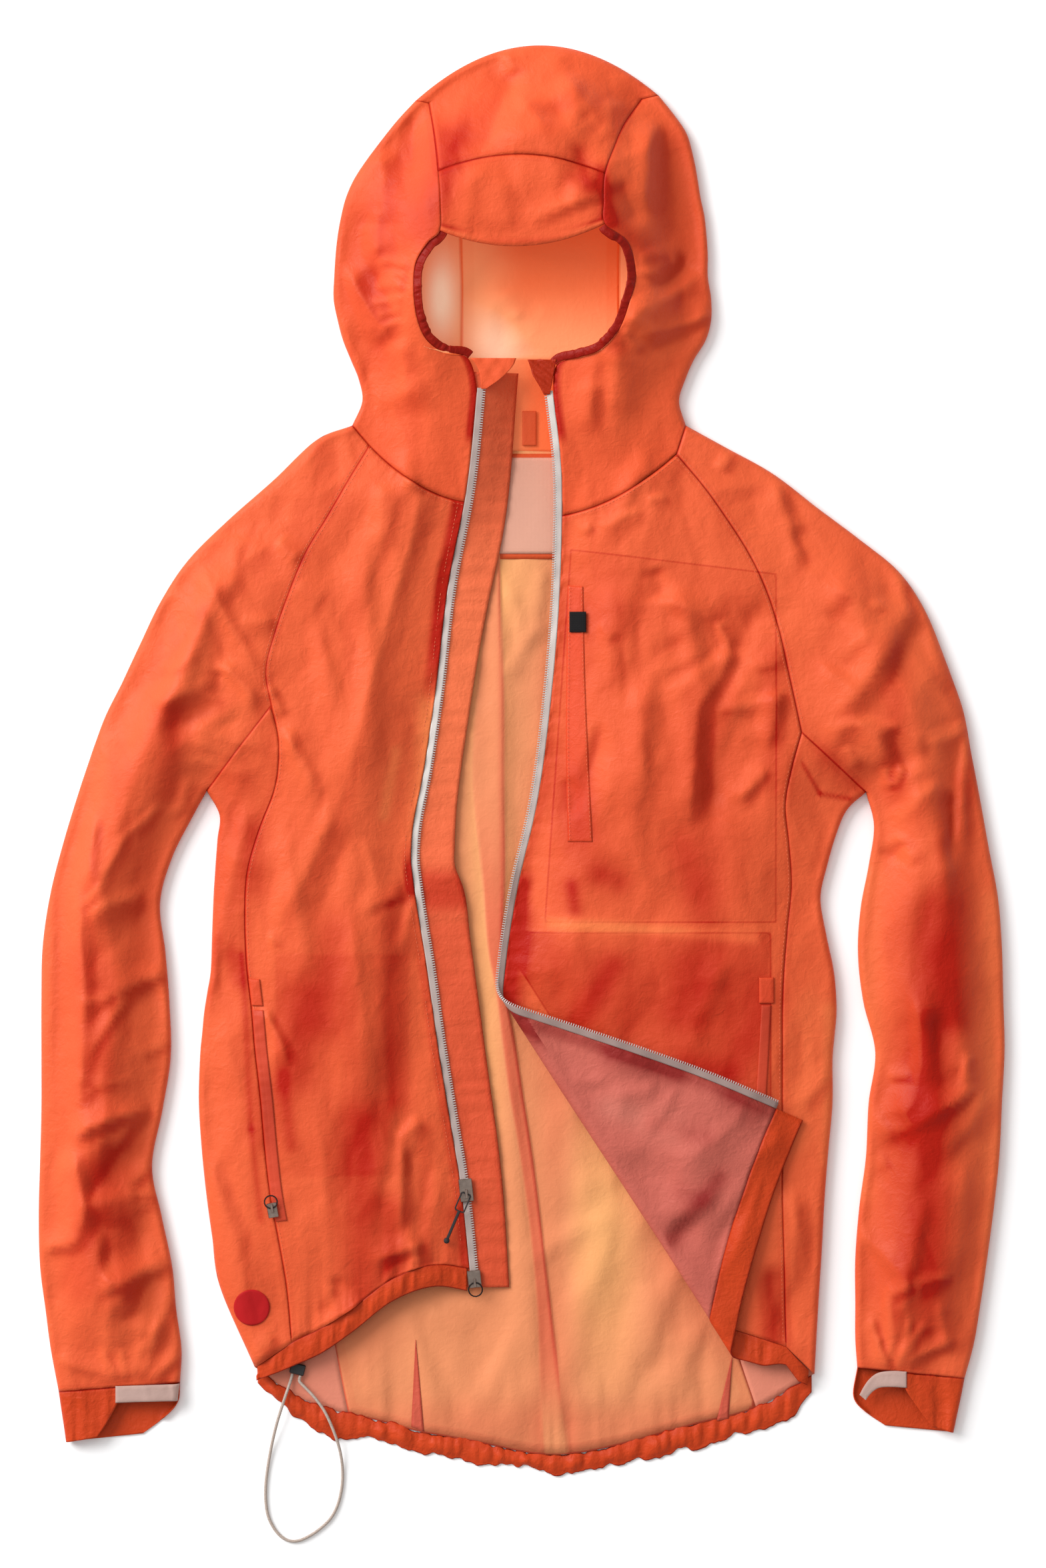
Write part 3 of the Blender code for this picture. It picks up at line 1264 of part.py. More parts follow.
# Sliders and their pulls: place on the zip, angle of the zip line, body size, place of the arch.
UPPER = (-41.6, -323.0)
LOWER = (-35.4, -389.6)
POCKET = (-186.0, -337.0)
upper_z = rest_on(*UPPER, 5.2, 9) - 0.9 + 1.0
lower_z = rest_on(*LOWER, 5.2, 7) - 0.4 + 1.0
pocket_z = rest_on(*POCKET, 4, 6) + OVER + WALL + 0.35 + 1.0
slider("slider_upper", (*UPPER, upper_z), 0.108, 17.0, 10.0, -2.5)
slider("slider_lower", (*LOWER, lower_z), 0.108, 13.0, 10.0, -2.6)
slider("pocket_slider_right", (*POCKET, pocket_z), 0.18, 11.0, 7.6, 1.6)
PIVOT_UP = 2.05       # height of the end wire's middle above the middle of the slider body


def pivot_of(place, z, angle, arch):
    return local_points((place[0], place[1], z), angle, [(0, arch, PIVOT_UP)])[0]


upper_pivot = pivot_of(UPPER, upper_z, 0.108, -2.5)
lower_pivot = pivot_of(LOWER, lower_z, 0.108, -2.6)
pocket_pivot = pivot_of(POCKET, pocket_z, 0.18, 1.6)
tail_z = rest_on(-56, -360, 6, 8) + 2.9
pull_loop("puller_upper", upper_pivot, -0.402, 14.0, 7.2, 1.2, (tail_z - upper_pivot[2]) * 0.37, 24.0)
pull_loop("puller_lower", lower_pivot, 0.108, 10.4, 0, 1.1, -0.9, 0.0, True)
ring_z = rest_on(-188, -326, 5, 5) + OVER + WALL + 1.2
pull_loop("puller_pocket", pocket_pivot, 0.18 + math.pi, 9.6, 0, 1.1,
          max(ring_z - pocket_pivot[2], 0.0), 0.0, True)

# Elastic hem cord: a loop whose two ends run into the lock under the front hem.
placed_box("cord_lock", (-168.0, -457.5, 3.3), (11.0, 8.0, 3.6), -0.25, BLACK, 0.6, 0.5)
#  x  y  z
CORD = np.array([
    (-171.9, -460.95, 3.4),
    (-173.2, -466, 3.7),
    (-175.5, -473, 5.0),
    (-179.5, -485, 6.2),
    (-184, -500, 5.6),
    (-188.5, -520, 1.8),
    (-192, -545, 1.2),
    (-190.5, -567, 1.2),
    (-182, -582, 1.2),
    (-170.5, -587, 1.2),
    (-156, -581, 1.2),
    (-142, -568, 1.2),
    (-135.5, -550, 1.2),
    (-134.5, -531, 1.8),
    (-138, -512, 5.6),
    (-146, -492, 6.4),
    (-154, -480, 5.8),
    (-162, -471.5, 4.6),
    (-166.6, -466.6, 3.7),
    (-165.85, -462.45, 3.4),
], float)
steps = np.arange(len(CORD), dtype=float)
at = np.linspace(0, len(CORD) - 1, 36)
path = np.stack([cubic(steps, CORD[:, k], at) for k in range(3)], 1)
wire("hem_cord", path, 2.2, (0.42, 0.38, 0.35), False, 0.8, 0.0, 2)
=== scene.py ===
# %% [markdown]
# # A light hooded shell jacket, laid flat
#
# The real jacket is thin coated nylon that lies on a pale surface with its front zip open.
# The solids were made first, as a CAD model, and they stay where they are.
# This lesson dresses them: every cloth panel becomes a fine, folded surface of its own.
# All places come from the same named lines as the solids, so nothing has to be fitted by eye.

# %% Load the frame
import bpy
import math
import numpy as np
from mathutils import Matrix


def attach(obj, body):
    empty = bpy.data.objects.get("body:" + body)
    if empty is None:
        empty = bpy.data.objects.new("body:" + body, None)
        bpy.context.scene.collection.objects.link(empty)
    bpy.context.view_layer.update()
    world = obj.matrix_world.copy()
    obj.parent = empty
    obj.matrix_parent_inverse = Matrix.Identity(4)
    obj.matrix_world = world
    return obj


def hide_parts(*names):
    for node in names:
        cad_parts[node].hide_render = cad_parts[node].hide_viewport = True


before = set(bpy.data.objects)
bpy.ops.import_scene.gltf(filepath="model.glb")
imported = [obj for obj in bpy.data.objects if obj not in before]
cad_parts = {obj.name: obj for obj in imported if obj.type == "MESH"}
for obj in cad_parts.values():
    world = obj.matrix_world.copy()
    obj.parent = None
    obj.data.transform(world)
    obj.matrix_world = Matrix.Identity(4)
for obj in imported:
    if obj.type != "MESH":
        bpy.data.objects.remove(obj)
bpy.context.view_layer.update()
MM = 0.001

# %% [markdown]
# ## Camera
#
# The photographer stood a camera straight above the jacket.
# A long lens from four metres keeps the edges of the jacket nearly free of perspective.
# The picture's height on the surface fixes the lens: height over distance is sensor over lens.

# %% Camera
PICTURE_HEIGHT, CLOTH_MIDDLE, SENSOR = 1.1755, 0.005, 36.0
CAMERA_PLACE = (0.001, -0.01875, 4.005)


def linked(name, data):
    """A new object with this data, put into the scene."""
    made = bpy.data.objects.new(name, data)
    bpy.context.scene.collection.objects.link(made)
    return made


camera_data = bpy.data.cameras.new("camera")
camera_data.sensor_fit = "VERTICAL"
camera_data.sensor_height = SENSOR
camera_data.lens = SENSOR * (CAMERA_PLACE[2] - CLOTH_MIDDLE) / PICTURE_HEIGHT
camera_data.clip_end = 50.0
camera = linked("camera", camera_data)
camera.location = CAMERA_PLACE
bpy.context.scene.camera = camera
print("lens:", round(camera_data.lens, 1), "mm")

# %% [markdown]
# ## Small mathematics
#
# Every outline is a short table of places. A smooth curve through the rows of a table could be
# a Bezier curve object, but plain arithmetic on whole arrays is quicker and feeds the grids
# directly. `cubic` passes through each row with the slope of its two neighbours.

# %% Curves through tables


def smooth(t):
    """0 below 0, 1 above 1 and a soft step between: 3 t squared minus 2 t cubed."""
    t = np.clip(t, 0.0, 1.0)
    return t * t * (3.0 - 2.0 * t)


def bell(t, power=2):
    """1 at 0 and falling to 0 on either side: e to minus t squared, or to minus another power."""
    return np.exp(-t ** power)


def cubic(at, value, t):
    """Values between the rows (at, value): a cubic on each interval, with averaged slopes."""
    t = np.clip(np.asarray(t, float), at[0], at[-1])
    slope = np.gradient(value, at)
    i = np.clip(np.searchsorted(at, t, side="right") - 1, 0, len(at) - 2)
    h = at[i + 1] - at[i]
    u = (t - at[i]) / h
    a = 2 * u ** 3 - 3 * u ** 2 + 1
    b = u ** 3 - 2 * u ** 2 + u
    c = -2 * u ** 3 + 3 * u ** 2
    d = u ** 3 - u ** 2
    return a * value[i] + b * h * slope[i] + c * value[i + 1] + d * h * slope[i + 1]


def read(table, at, column=1):
    """A column of a table at any value of its first column."""
    rows = table[np.argsort(table[:, 0])]
    return cubic(rows[:, 0], rows[:, column], at)


def along(points, count):
    """A table of points read as one curve and cut at count even steps of its row number."""
    points = np.asarray(points, float)
    rows = np.arange(len(points), dtype=float)
    at = np.linspace(0, len(points) - 1, count)
    return np.stack([cubic(rows, points[:, k], at) for k in range(points.shape[1])], 1)


def lengths(path):
    """How far along a path each of its points lies."""
    return np.concatenate([[0], np.cumsum(np.linalg.norm(np.diff(path, axis=0), axis=1))])


def unit(vectors):
    """Rows of vectors, each divided by its own length."""
    return vectors / np.linalg.norm(vectors, axis=1)[:, None]


print("half a soft step:", float(smooth(0.5)))

# %% [markdown]
# ## Hem cord
#
# A thin elastic cord leaves the cord lock under the front hem, lies on the surface in a loop and
# goes back into the lock. Its route repeats the solid's route point for point, in metres.
# A curve object with a bevel would do; carrying a circle along the route gives the same tube
# and leaves the number of its faces in hand.

# %% Hem cord
CORD_DIAMETER = 0.0022
CORD_ROUTE = np.array([
    (-171.9, -460.95, 3.4), (-173.2, -466, 3.7), (-175.5, -473, 5.0), (-179.5, -485, 6.2),
    (-184, -500, 5.6), (-188.5, -520, 1.8), (-192, -545, 1.2), (-190.5, -567, 1.2),
    (-182, -582, 1.2), (-170.5, -587, 1.2), (-156, -581, 1.2), (-142, -568, 1.2),
    (-135.5, -550, 1.2), (-134.5, -531, 1.8), (-138, -512, 5.6), (-146, -492, 6.4),
    (-154, -480, 5.8), (-162, -471.5, 4.6), (-166.6, -466.6, 3.7), (-165.85, -462.45, 3.4),
]) * MM
cord_points = along(CORD_ROUTE, 36)


def smooth_mesh(name, points, faces):
    """A mesh of points and faces that is shaded smooth."""
    mesh = bpy.data.meshes.new(name)
    mesh.from_pydata(points.tolist(), [], faces)
    mesh.polygons.foreach_set("use_smooth", np.ones(len(mesh.polygons), bool))
    return mesh


def tube(name, path, radius, sides=12):
    """A round tube: a circle of the given radius carried along the path, square to it."""
    step = unit(np.gradient(path, axis=0))
    side = unit(np.cross(step, (0.0, 0.0, 1.0)))
    rise = np.cross(side, step)
    turn = np.linspace(0, 2 * math.pi, sides, endpoint=False)[None, :, None]
    ring = path[:, None] + radius * (np.cos(turn) * side[:, None] + np.sin(turn) * rise[:, None])
    n = np.arange(len(path) * sides).reshape(len(path), sides)
    m = np.roll(n, -1, axis=1)
    walls = np.stack([n[:-1], n[1:], m[1:], m[:-1]], -1).reshape(-1, 4).tolist()
    ends = [n[0].tolist(), n[-1, ::-1].tolist()]
    return linked(name, smooth_mesh(name, ring.reshape(-1, 3), walls + ends))


hem_cord = tube("hem_cord_line", along(cord_points, 211), CORD_DIAMETER / 2)
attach(hem_cord, "jacket")
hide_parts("hem_cord")

# %% [markdown]
# ## Floor and light
#
# A product photograph of this kind has a white floor and large soft lights.
# The main light stands at the upper left of the picture, so each fold is bright on that side.
# A weaker even light from all round keeps the far side of the folds readable.

# %% Floor and light
FLOOR_HALF, FLOOR_GAP = 3.0, 0.0004
corners = [(x * FLOOR_HALF, y * FLOOR_HALF, 0) for x, y in ((-1, -1), (1, -1), (1, 1), (-1, 1))]
floor_mesh = bpy.data.meshes.new("floor")
floor_mesh.from_pydata(corners, [], [(0, 1, 2, 3)])
floor = linked("floor", floor_mesh)
floor.location = (0, 0, -FLOOR_GAP)
floor_material = bpy.data.materials.new("floor")
floor_material.use_nodes = True
floor_shader = floor_material.node_tree.nodes["Principled BSDF"]
floor_shader.inputs["Base Color"].default_value = (0.97, 0.97, 0.975, 1)
floor_shader.inputs["Roughness"].default_value = 0.9
floor_mesh.materials.append(floor_material)

world = bpy.data.worlds.new("studio")
world.use_nodes = True
world.node_tree.nodes["Background"].inputs["Color"].default_value = (1.0, 0.99, 0.98, 1)
world.node_tree.nodes["Background"].inputs["Strength"].default_value = 0.54
bpy.context.scene.world = world


def soft_light(name, place, size, watts):
    """A square area light that looks at the middle of the jacket."""
    data = bpy.data.lights.new(name, "AREA")
    data.shape = "SQUARE"
    data.size = size
    data.energy = watts
    light = linked(name, data)
    light.location = place
    x, y, z = place
    light.rotation_euler = (math.atan2(math.hypot(x, y), z), 0, math.atan2(-x, y) + math.pi)


soft_light("key_light", (-4.4, 3.0, 3.4), 4.2, 540)
soft_light("top_light", (-0.6, 0.8, 3.4), 2.0, 18)
bpy.context.scene.view_settings.view_transform = "Standard"

# %% [markdown]
# ## The lines of the cut
#
# A sewn jacket is defined by its seams and folded outlines. Each table holds one run of them,
# in millimetres, with the same rows as the solid model. x runs to the wearer's left, which is
# the right of the picture, and y towards the hood.

# %% Tables of the seams
#  zip_y  seam_x  seam_y  bow
FRONT_RIGHT = np.array([
    (192, -114, 234.5, -8), (172, -130.5, 207, -4), (150, -146, 180, -1.5), (125, -161, 155, 0),
    (98, -174, 124, 0), (72, -184, 95, 0), (48, -191, 66, 0), (22, -187, 40, 0),
    (-8, -181.5, 12, 0), (-38, -184, -20, 0), (-66, -196, -52, 0), (-95, -205, -84, 0),
    (-125, -207, -115, 0), (-157, -206, -150, 0), (-174, -204, -169, 0), (-190, -202, -186, 0),
    (-206, -200.5, -203, 0), (-222, -199, -220, 0), (-255, -195, -255, 0), (-287, -192, -290, 0),
    (-318, -188, -325, 0), (-346, -182, -358, 3), (-368, -176, -394, 9), (-382, -172, -437, 17),
], float)
FRONT_LEFT = np.array([
    (182, 116, 228, -8), (160, 136, 204, -4), (137, 153, 180, -1.5), (112, 169, 155, 0),
    (86, 182, 128, 0), (60, 192, 98, 0), (34, 200, 62, 0), (6, 209, 20, 0), (-22, 202, -6, 0),
    (-50, 197, -34, 0), (-78, 200, -64, 0), (-106, 202, -95, 0), (-133, 199, -126, 0),
    (-155, 196.5, -154, 0), (-169, 195.5, -172, 0), (-182, 195, -190, 0), (-197, 195, -208, 0),
    (-216, 195, -228, 0), (-245, 195, -260, 0), (-275, 195, -295, 0), (-306, 195, -330, 1),
    (-338, 196, -366, 3), (-370, 197, -403, 6), (-400, 198, -440, 10),
], float)
# Side panels from the underarm to the hem: the outline fold and the back seam.
#  fold_x  fold_y  back_x  back_y
SIDE_RIGHT = np.array([
    (-236, -24, -187, 40), (-226.5, -42, -181, 14), (-228, -60, -178, -18),
    (-229.5, -80, -177, -52), (-231, -104, -177, -87), (-232, -130, -177, -122),
    (-233, -158, -176, -158), (-235.5, -174, -175, -176), (-238, -190, -174, -194),
    (-239.5, -206, -172.5, -212), (-241, -222, -171, -231), (-242, -256, -167, -269),
    (-240, -290, -162, -308), (-236.5, -325, -156, -348), (-232, -358, -149, -390),
    (-226, -396, -141, -436), (-200, -456, -130, -491),
], float)
SIDE_LEFT = np.array([
    (258, -25, 209, 20), (244, -38, 201, -8), (236, -56, 194, -38), (229, -80, 189, -70),
    (224, -104, 186, -102), (228, -130, 184, -135), (233.5, -156, 182.5, -164),
    (235.5, -174, 181, -182), (236, -191, 179.5, -200), (234.5, -208, 178, -219),
    (233, -226, 176, -239), (233, -258, 172, -272), (230, -292, 168, -309), (227, -330, 163, -347),
    (225, -368, 159, -389), (222.5, -407, 160, -435), (219.5, -461, 176, -487),
], float)
# Sleeves from the neck to the cuff seam.
#  outer_x  outer_y  inner_x  inner_y
SLEEVE_RIGHT = np.array([
    (-127, 250, -114, 234.5), (-154, 239, -130.5, 207), (-186, 209, -146, 180),
    (-220, 179, -161, 155), (-250, 149, -174, 124), (-270, 119, -184, 95), (-286, 86, -191, 66),
    (-300, 56, -187, 40), (-312, 32, -210, 10), (-321, 8, -236, -24), (-332, -25, -247, -44),
    (-343, -61, -262, -74), (-353, -100, -271, -108), (-359, -140, -267, -145),
    (-360, -181, -264, -183), (-360, -222, -263, -223), (-360, -262, -269, -262),
    (-361, -302, -277, -305), (-362, -342, -270, -342), (-361, -380, -262, -380),
    (-357, -412, -259, -412), (-353, -442, -255, -442), (-347, -474, -256, -467),
], float)
SLEEVE_LEFT = np.array([
    (123, 250, 116, 228), (152, 234, 136, 204), (188, 214, 153, 180), (222, 188, 169, 155),
    (254, 164, 182, 128), (283, 140, 192, 98), (303, 110, 200, 62), (320, 68, 209, 20),
    (331, 36, 234, -3), (337, 4, 258, -25), (343, -27, 264, -50), (350, -66, 260, -80),
    (357, -104, 254, -112), (360, -142, 252, -146), (361, -180, 256, -182), (362, -218, 265, -220),
    (360, -258, 260, -258), (358, -298, 258, -298), (354, -336, 253, -336), (349, -374, 250, -374),
    (344, -408, 250, -408), (339, -438, 250, -434), (332, -464, 251.5, -456),
], float)
# Cuffs from the sleeve seam to the mouth.
#  free_x  free_y  outer_x  outer_y  inner_x  inner_y
CUFF_RIGHT = np.array([
    (-300, -470.4, -347, -474, -256, -467), (-303, -483, -345, -488, -257.5, -482),
    (-310, -496, -343, -501, -268, -494), (-318, -508, -341.5, -512, -284, -506),
], float)
CUFF_LEFT = np.array([
    (285, -459.33, 332, -464, 251.5, -456), (287, -471, 329.5, -477, 248.5, -478),
    (296, -485, 326.5, -491, 258, -490), (307, -500, 323.6, -505, 272.7, -500),
], float)
# Hood sides from the neck to the crown.
#  front_x  front_y  fold_x  fold_y  back_x  back_y
HOOD_RIGHT = np.array([
    (-42.3, 192, -127, 250, -44.5, 232.5), (-38.5, 222, -119.5, 268, -45, 250),
    (-34.5, 252, -122, 284, -45, 268), (-33.5, 276, -128, 299, -45, 286),
    (-40, 299, -134, 314, -45, 304), (-57, 302, -138, 329, -45, 322),
    (-71, 312, -141, 345, -45, 340), (-78, 328, -140.5, 362, -45, 358),
    (-80.5, 348, -139.5, 378, -45.5, 377), (-79, 368, -138, 392, -46, 396),
    (-70, 383, -135.5, 406, -47, 414), (-61, 392, -132, 420, -48, 431),
    (-60.5, 412, -126, 434, -50, 447), (-62, 437, -117, 448, -53, 462),
    (-64, 456, -105, 464, -57, 476), (-66.5, 474, -93, 479, -62, 487),
    (-69.5, 491, -80, 493, -70, 495),
], float)
HOOD_LEFT = np.array([
    (30.2, 182, 123, 250, 73, 229.2), (30, 208, 118, 268, 73, 248), (28, 238, 122.5, 284, 73, 267),
    (24, 272, 129, 299, 73, 285), (26, 294, 138, 314, 73, 303), (42, 299, 142, 329, 73, 321),
    (58, 304, 142, 345, 73, 339), (72, 318, 139.5, 362, 73, 357), (80, 338, 139.5, 378, 73, 376),
    (85, 360, 138.5, 393, 73.5, 395), (79, 384, 137, 407, 74, 413), (62, 397, 134, 421, 75, 430),
    (61, 414, 132, 434, 76, 446), (62, 434.5, 129, 450, 78, 461), (69, 455, 124, 468, 82, 475),
    (77, 474, 115, 482, 86, 487), (90, 494, 103, 497, 91, 498),
], float)
# Middle of the zip teeth; the left one before the corner is turned over.
#  y  x
ZIP_RIGHT = np.array([
    (300, -29), (272, -31.3), (204.6, -38.4), (128, -53), (52, -62), (-7, -70.7), (-60, -80),
    (-76, -80.5), (-95, -78.3), (-154, -69), (-213, -60.7), (-271, -51.3), (-313, -44.3),
    (-395, -35.4), (-430, -32),
], float)
ZIP_LEFT = np.array([
    (300, 19), (281, 20.4), (216, 27.4), (158, 27.4), (52, 20.4), (-36, 8.6), (-95, -5),
    (-136, -12), (-165, -15.5), (-201, -19), (-240, -23.5), (-290, -28.5), (-343, -32),
    (-430, -32.5),
], float)
# Free edge of the storm flap.
#  y  x
STORM_EDGE = np.array([
    (293, -2), (163, -15), (122, -24), (40, -38.4), (-64, -50.1), (-80, -50), (-95, -44.3),
    (-136, -38.4), (-224, -26.6), (-313, -15), (-401, -9),
], float)
# Hem bands.
#  x  top_y  low_y
HEM_BACK = np.array([
    (-200, -456, -466), (-186, -467, -481), (-167, -479, -495), (-147, -487, -507),
    (-128, -492, -512), (-105, -497, -514), (-83, -503, -519), (-44, -510.5, -526),
    (-19, -515.5, -531), (9, -521, -533), (34, -521.5, -536.5), (57, -518, -531), (98, -508, -525),
    (138, -497, -515), (160, -492, -509), (176, -487, -505), (199, -474, -494), (219.5, -461, -473),
], float)
HEM_FRONT = np.array([
    (-38, -382, -399), (-65, -378.5, -395), (-97, -389, -406), (-128, -412, -430),
    (-150, -426, -445), (-172, -437, -455), (-181.4, -443.4, -459), (-190.7, -449.7, -462.5),
    (-200, -456, -466),
], float)
# Large soft ridges of the fronts and sleeves, and of the back.
#  x0  y0  x1  y1  width  height  end
CREASES = np.array([
    (-118,150, -108,-60, 26,5,0.3), (-86,20, -104,-200, 22,4,0.4), (-150,90, -128,-20, 20,3.6,0.2),
    (-128,-120, -110,-330, 26,4.2,0.6), (-176,-60, -160,-170, 18,2.6,0.4),
    (-92,-250, -118,-372, 18,3.2,0.5), (120,120, 150,-20, 24,4.6,0.3), (96,60, 78,-90, 22,3.2,0.4),
    (166,60, 120,-50, 20,3.6,0.3), (60,-60, 150,-120, 20,2.6,0.4), (150,-150, 120,-230, 20,2.4,0.5),
    (-244,84, -300,-40, 26,5,0.4), (-214,40, -276,0, 20,4.6,0.3), (-232,120, -262,20, 20,4,0.3),
    (-322,-60, -300,-190, 22,4,0.4), (-304,-190, -320,-330, 22,4,0.5),
    (-318,-350, -300,-462, 20,3,0.6), (-290,-330, -278,-450, 14,3,0.6), (236,130, 300,20, 26,5,0.4),
    (222,70, 292,16, 20,4.6,0.3), (240,40, 300,-30, 18,3.6,0.4), (318,-50, 306,-190, 22,4.2,0.4),
    (300,-170, 316,-330, 22,4,0.5), (300,-330, 276,-448, 18,3.4,0.6), (-112,380, -84,300, 18,5,0.3),
    (-116,330, -70,262, 20,5,0.3), (-96,440, -88,380, 18,4,0.4), (108,370, 70,300, 18,5,0.3),
    (116,320, 60,240, 20,5,0.3), (100,430, 96,370, 18,4,0.4), (-30,520, 4,452, 26,6,0.3),
    (46,512, 30,458, 24,5,0.4), (-90,230, -60,150, 18,3,0.3), (96,226, 52,150, 18,3,0.3),
], float)
BACK_CREASES = np.array([
    (-14,120, -16,-170, 16,2.6,1), (-16,-170, 12,-500, 18,3,1.3), (70,-330, 24,-490, 24,4,0.8),
    (130,-360, 60,-500, 20,3.4,0.8), (-84,-420, -60,-496, 16,2.4,0.8), (14,40, 26,-120, 14,1.6,0.6),
    (30,-180, 46,-330, 20,2.6,0.8),
], float)
# The fold line of the turned corner: where it starts, its direction, and the one across it.
FOLD_START = np.array([-14.0, -165.0])
FOLD_ALONG = np.array([0.5335, -0.8458])
FOLD_ACROSS = np.array([0.8458, 0.5335])
print("rows of the seams:", len(FRONT_RIGHT), len(SIDE_RIGHT), len(SLEEVE_RIGHT), len(HOOD_RIGHT))

# %% [markdown]
# ## Outline and openings
#
# The outline is where the cloth turns round to its back, and the zip's two edges are where it
# ends. Both are cut finer here, because the height of the cloth depends on how near they are.

# %% Outline folds and openings
TEETH_GAP = 2.5  # from the middle of the teeth to the cloth's edge
CROWN_BOW = 40.0
HOOD_RIGHT[:4, 0] = read(ZIP_RIGHT, HOOD_RIGHT[:4, 1]) - TEETH_GAP
HOOD_LEFT[:4, 0] = read(ZIP_LEFT, HOOD_LEFT[:4, 1]) + TEETH_GAP


def finer(table, steps, corners=()):
    """The rows of a table cut finer: one smooth curve between each two corner rows."""
    stops = [0, *corners, len(table) - 1]
    runs = [along(table[a:b + 1], (b - a) * steps + 1) for a, b in zip(stops[:-1], stops[1:])]
    return np.concatenate([runs[0]] + [run[1:] for run in runs[1:]])


def bowed(a, b, bow, count=25):
    """A straight line of points from a to b, moved in y by 4 u (1 - u) times the bow."""
    u = np.linspace(0, 1, count)[:, None]
    return a + (b - a) * u + np.array([0, bow]) * 4 * u * (1 - u)


side_right, side_left = finer(SIDE_RIGHT, 3), finer(SIDE_LEFT, 3)
arm_right, arm_left = finer(SLEEVE_RIGHT, 3, (7, 9)), finer(SLEEVE_LEFT, 3, (7, 9))
end_right, end_left = finer(CUFF_RIGHT, 3), finer(CUFF_LEFT, 3)
head_right, head_left = finer(HOOD_RIGHT, 3), finer(HOOD_LEFT, 3)
crown = bowed(HOOD_RIGHT[-1, 2:4], HOOD_LEFT[-1, 2:4], CROWN_BOW, 31)
OUTLINE = [
    np.concatenate([[(-190, -476)], side_right[::-1, :2], arm_right[28:, 2:4],
                    end_right[1:7, 4:6]]),
    np.concatenate([end_right[::-1, 2:4], arm_right[-2::-1, :2], head_right[1:-1, 2:4], crown,
                    head_left[-2:0:-1, 2:4], arm_left[:, :2], end_left[1:, 2:4]]),
    np.concatenate([end_left[6::-1, 4:6], arm_left[-2:27:-1, 2:4], side_left[:, :2],
                    [(215, -482)]]),
]
opening_y = np.array([300, 272, 240, 204.6, 165, 128, 90, 52, 22, -7, -35, -62, -76, -95, -124,
                      -154, -184, -213, -242, -271, -300, -340, -400.0])
left_y = opening_y[:15]
OPENINGS = [
    np.stack([read(ZIP_RIGHT, opening_y) - TEETH_GAP, opening_y], 1),
    np.concatenate([np.stack([read(ZIP_LEFT, left_y) + TEETH_GAP, left_y], 1),
                    FOLD_START + FOLD_ALONG * np.array([0, 60, 120, 180, 240, 310.0])[:, None]]),
]
print("outline pieces:", [len(line) for line in OUTLINE])

# %% [markdown]
# ## The body of the jacket as one height
#
# A jacket that lies flat is nearly a picture in relief: over each place there is one height.
# Cloth simulation would find such a shape too, but not this jacket's own folds.
# So the upper skin is written as a function of x and y: a quarter circle where the cloth turns
# round at the outline, a slow rise inwards, and the large ridges on top.

# %% Height of the cloth
EDGE_R = 5.0
BODY_HEIGHT, HOOD_HEIGHT, SLEEVE_HEIGHT, CUFF_HEIGHT = 20.0, 46.0, 24.0, 11.0


def nearest(x, y, lines):
    """Distance to the nearest of some lines of points, and the length along it so far.

    For each straight bit from a to b: t is the share of ab under the point, kept to 0..1,
    and the distance is that between the point and a + t (b - a).
    """
    px, py = np.ravel(np.asarray(x, float)), np.ravel(np.asarray(y, float))
    best = np.full(px.shape, 1e9)
    walked = np.zeros_like(px)
    start = 0.0
    for line in lines:
        for (ax, ay), (bx, by) in zip(line[:-1], line[1:]):
            size = max(math.hypot(bx - ax, by - ay), 1e-6)
            ex, ey = (bx - ax) / size, (by - ay) / size
            t = np.clip((px - ax) * ex + (py - ay) * ey, 0.0, size)
            gap = (px - ax - t * ex) ** 2 + (py - ay - t * ey) ** 2
            near = gap < best
            best = np.where(near, gap, best)
            walked = np.where(near, start + t, walked)
            start += size
    return np.sqrt(best).reshape(np.shape(x)), walked.reshape(np.shape(x))


def across_line(x, y, x0, y0, x1, y1):
    """The share passed of a line between two points, the distance across it and its length."""
    ex, ey = x1 - x0, y1 - y0
    size = math.hypot(ex, ey)
    return ((x - x0) * ex + (y - y0) * ey) / size ** 2, ((x - x0) * ey - (y - y0) * ex) / size, size


def ridge_sum(x, y, table):
    """Sum of long soft ridges, each a bell across its line, narrower at its first end."""
    total = np.zeros(np.shape(x))
    for x0, y0, x1, y1, width, high, end in table:
        t, side, _ = across_line(x, y, x0, y0, x1, y1)
        fade = smooth((t + 0.12) / 0.3) * smooth((1.15 - t) / 0.35)
        w = width * (0.65 + 0.5 * np.clip(t, 0, 1))
        lean = np.where(side > 0, 1.0, 0.7)
        high = high * (1 + (end - 1) * np.clip(t, 0, 1))
        total = total + high * fade * bell(side / (0.62 * w * lean))
    return total


def opening_height(y):
    """Height of the cloth along the zip: low on the body, higher at the neck and chin."""
    return 7.2 + 15.0 * smooth((np.asarray(y, float) - 110) / 170)


def arc(d):
    """How far an arc of radius EDGE_R has come from its middle height at d from the outline."""
    return np.sqrt(EDGE_R ** 2 - np.clip(EDGE_R - d, 0, EDGE_R) ** 2)


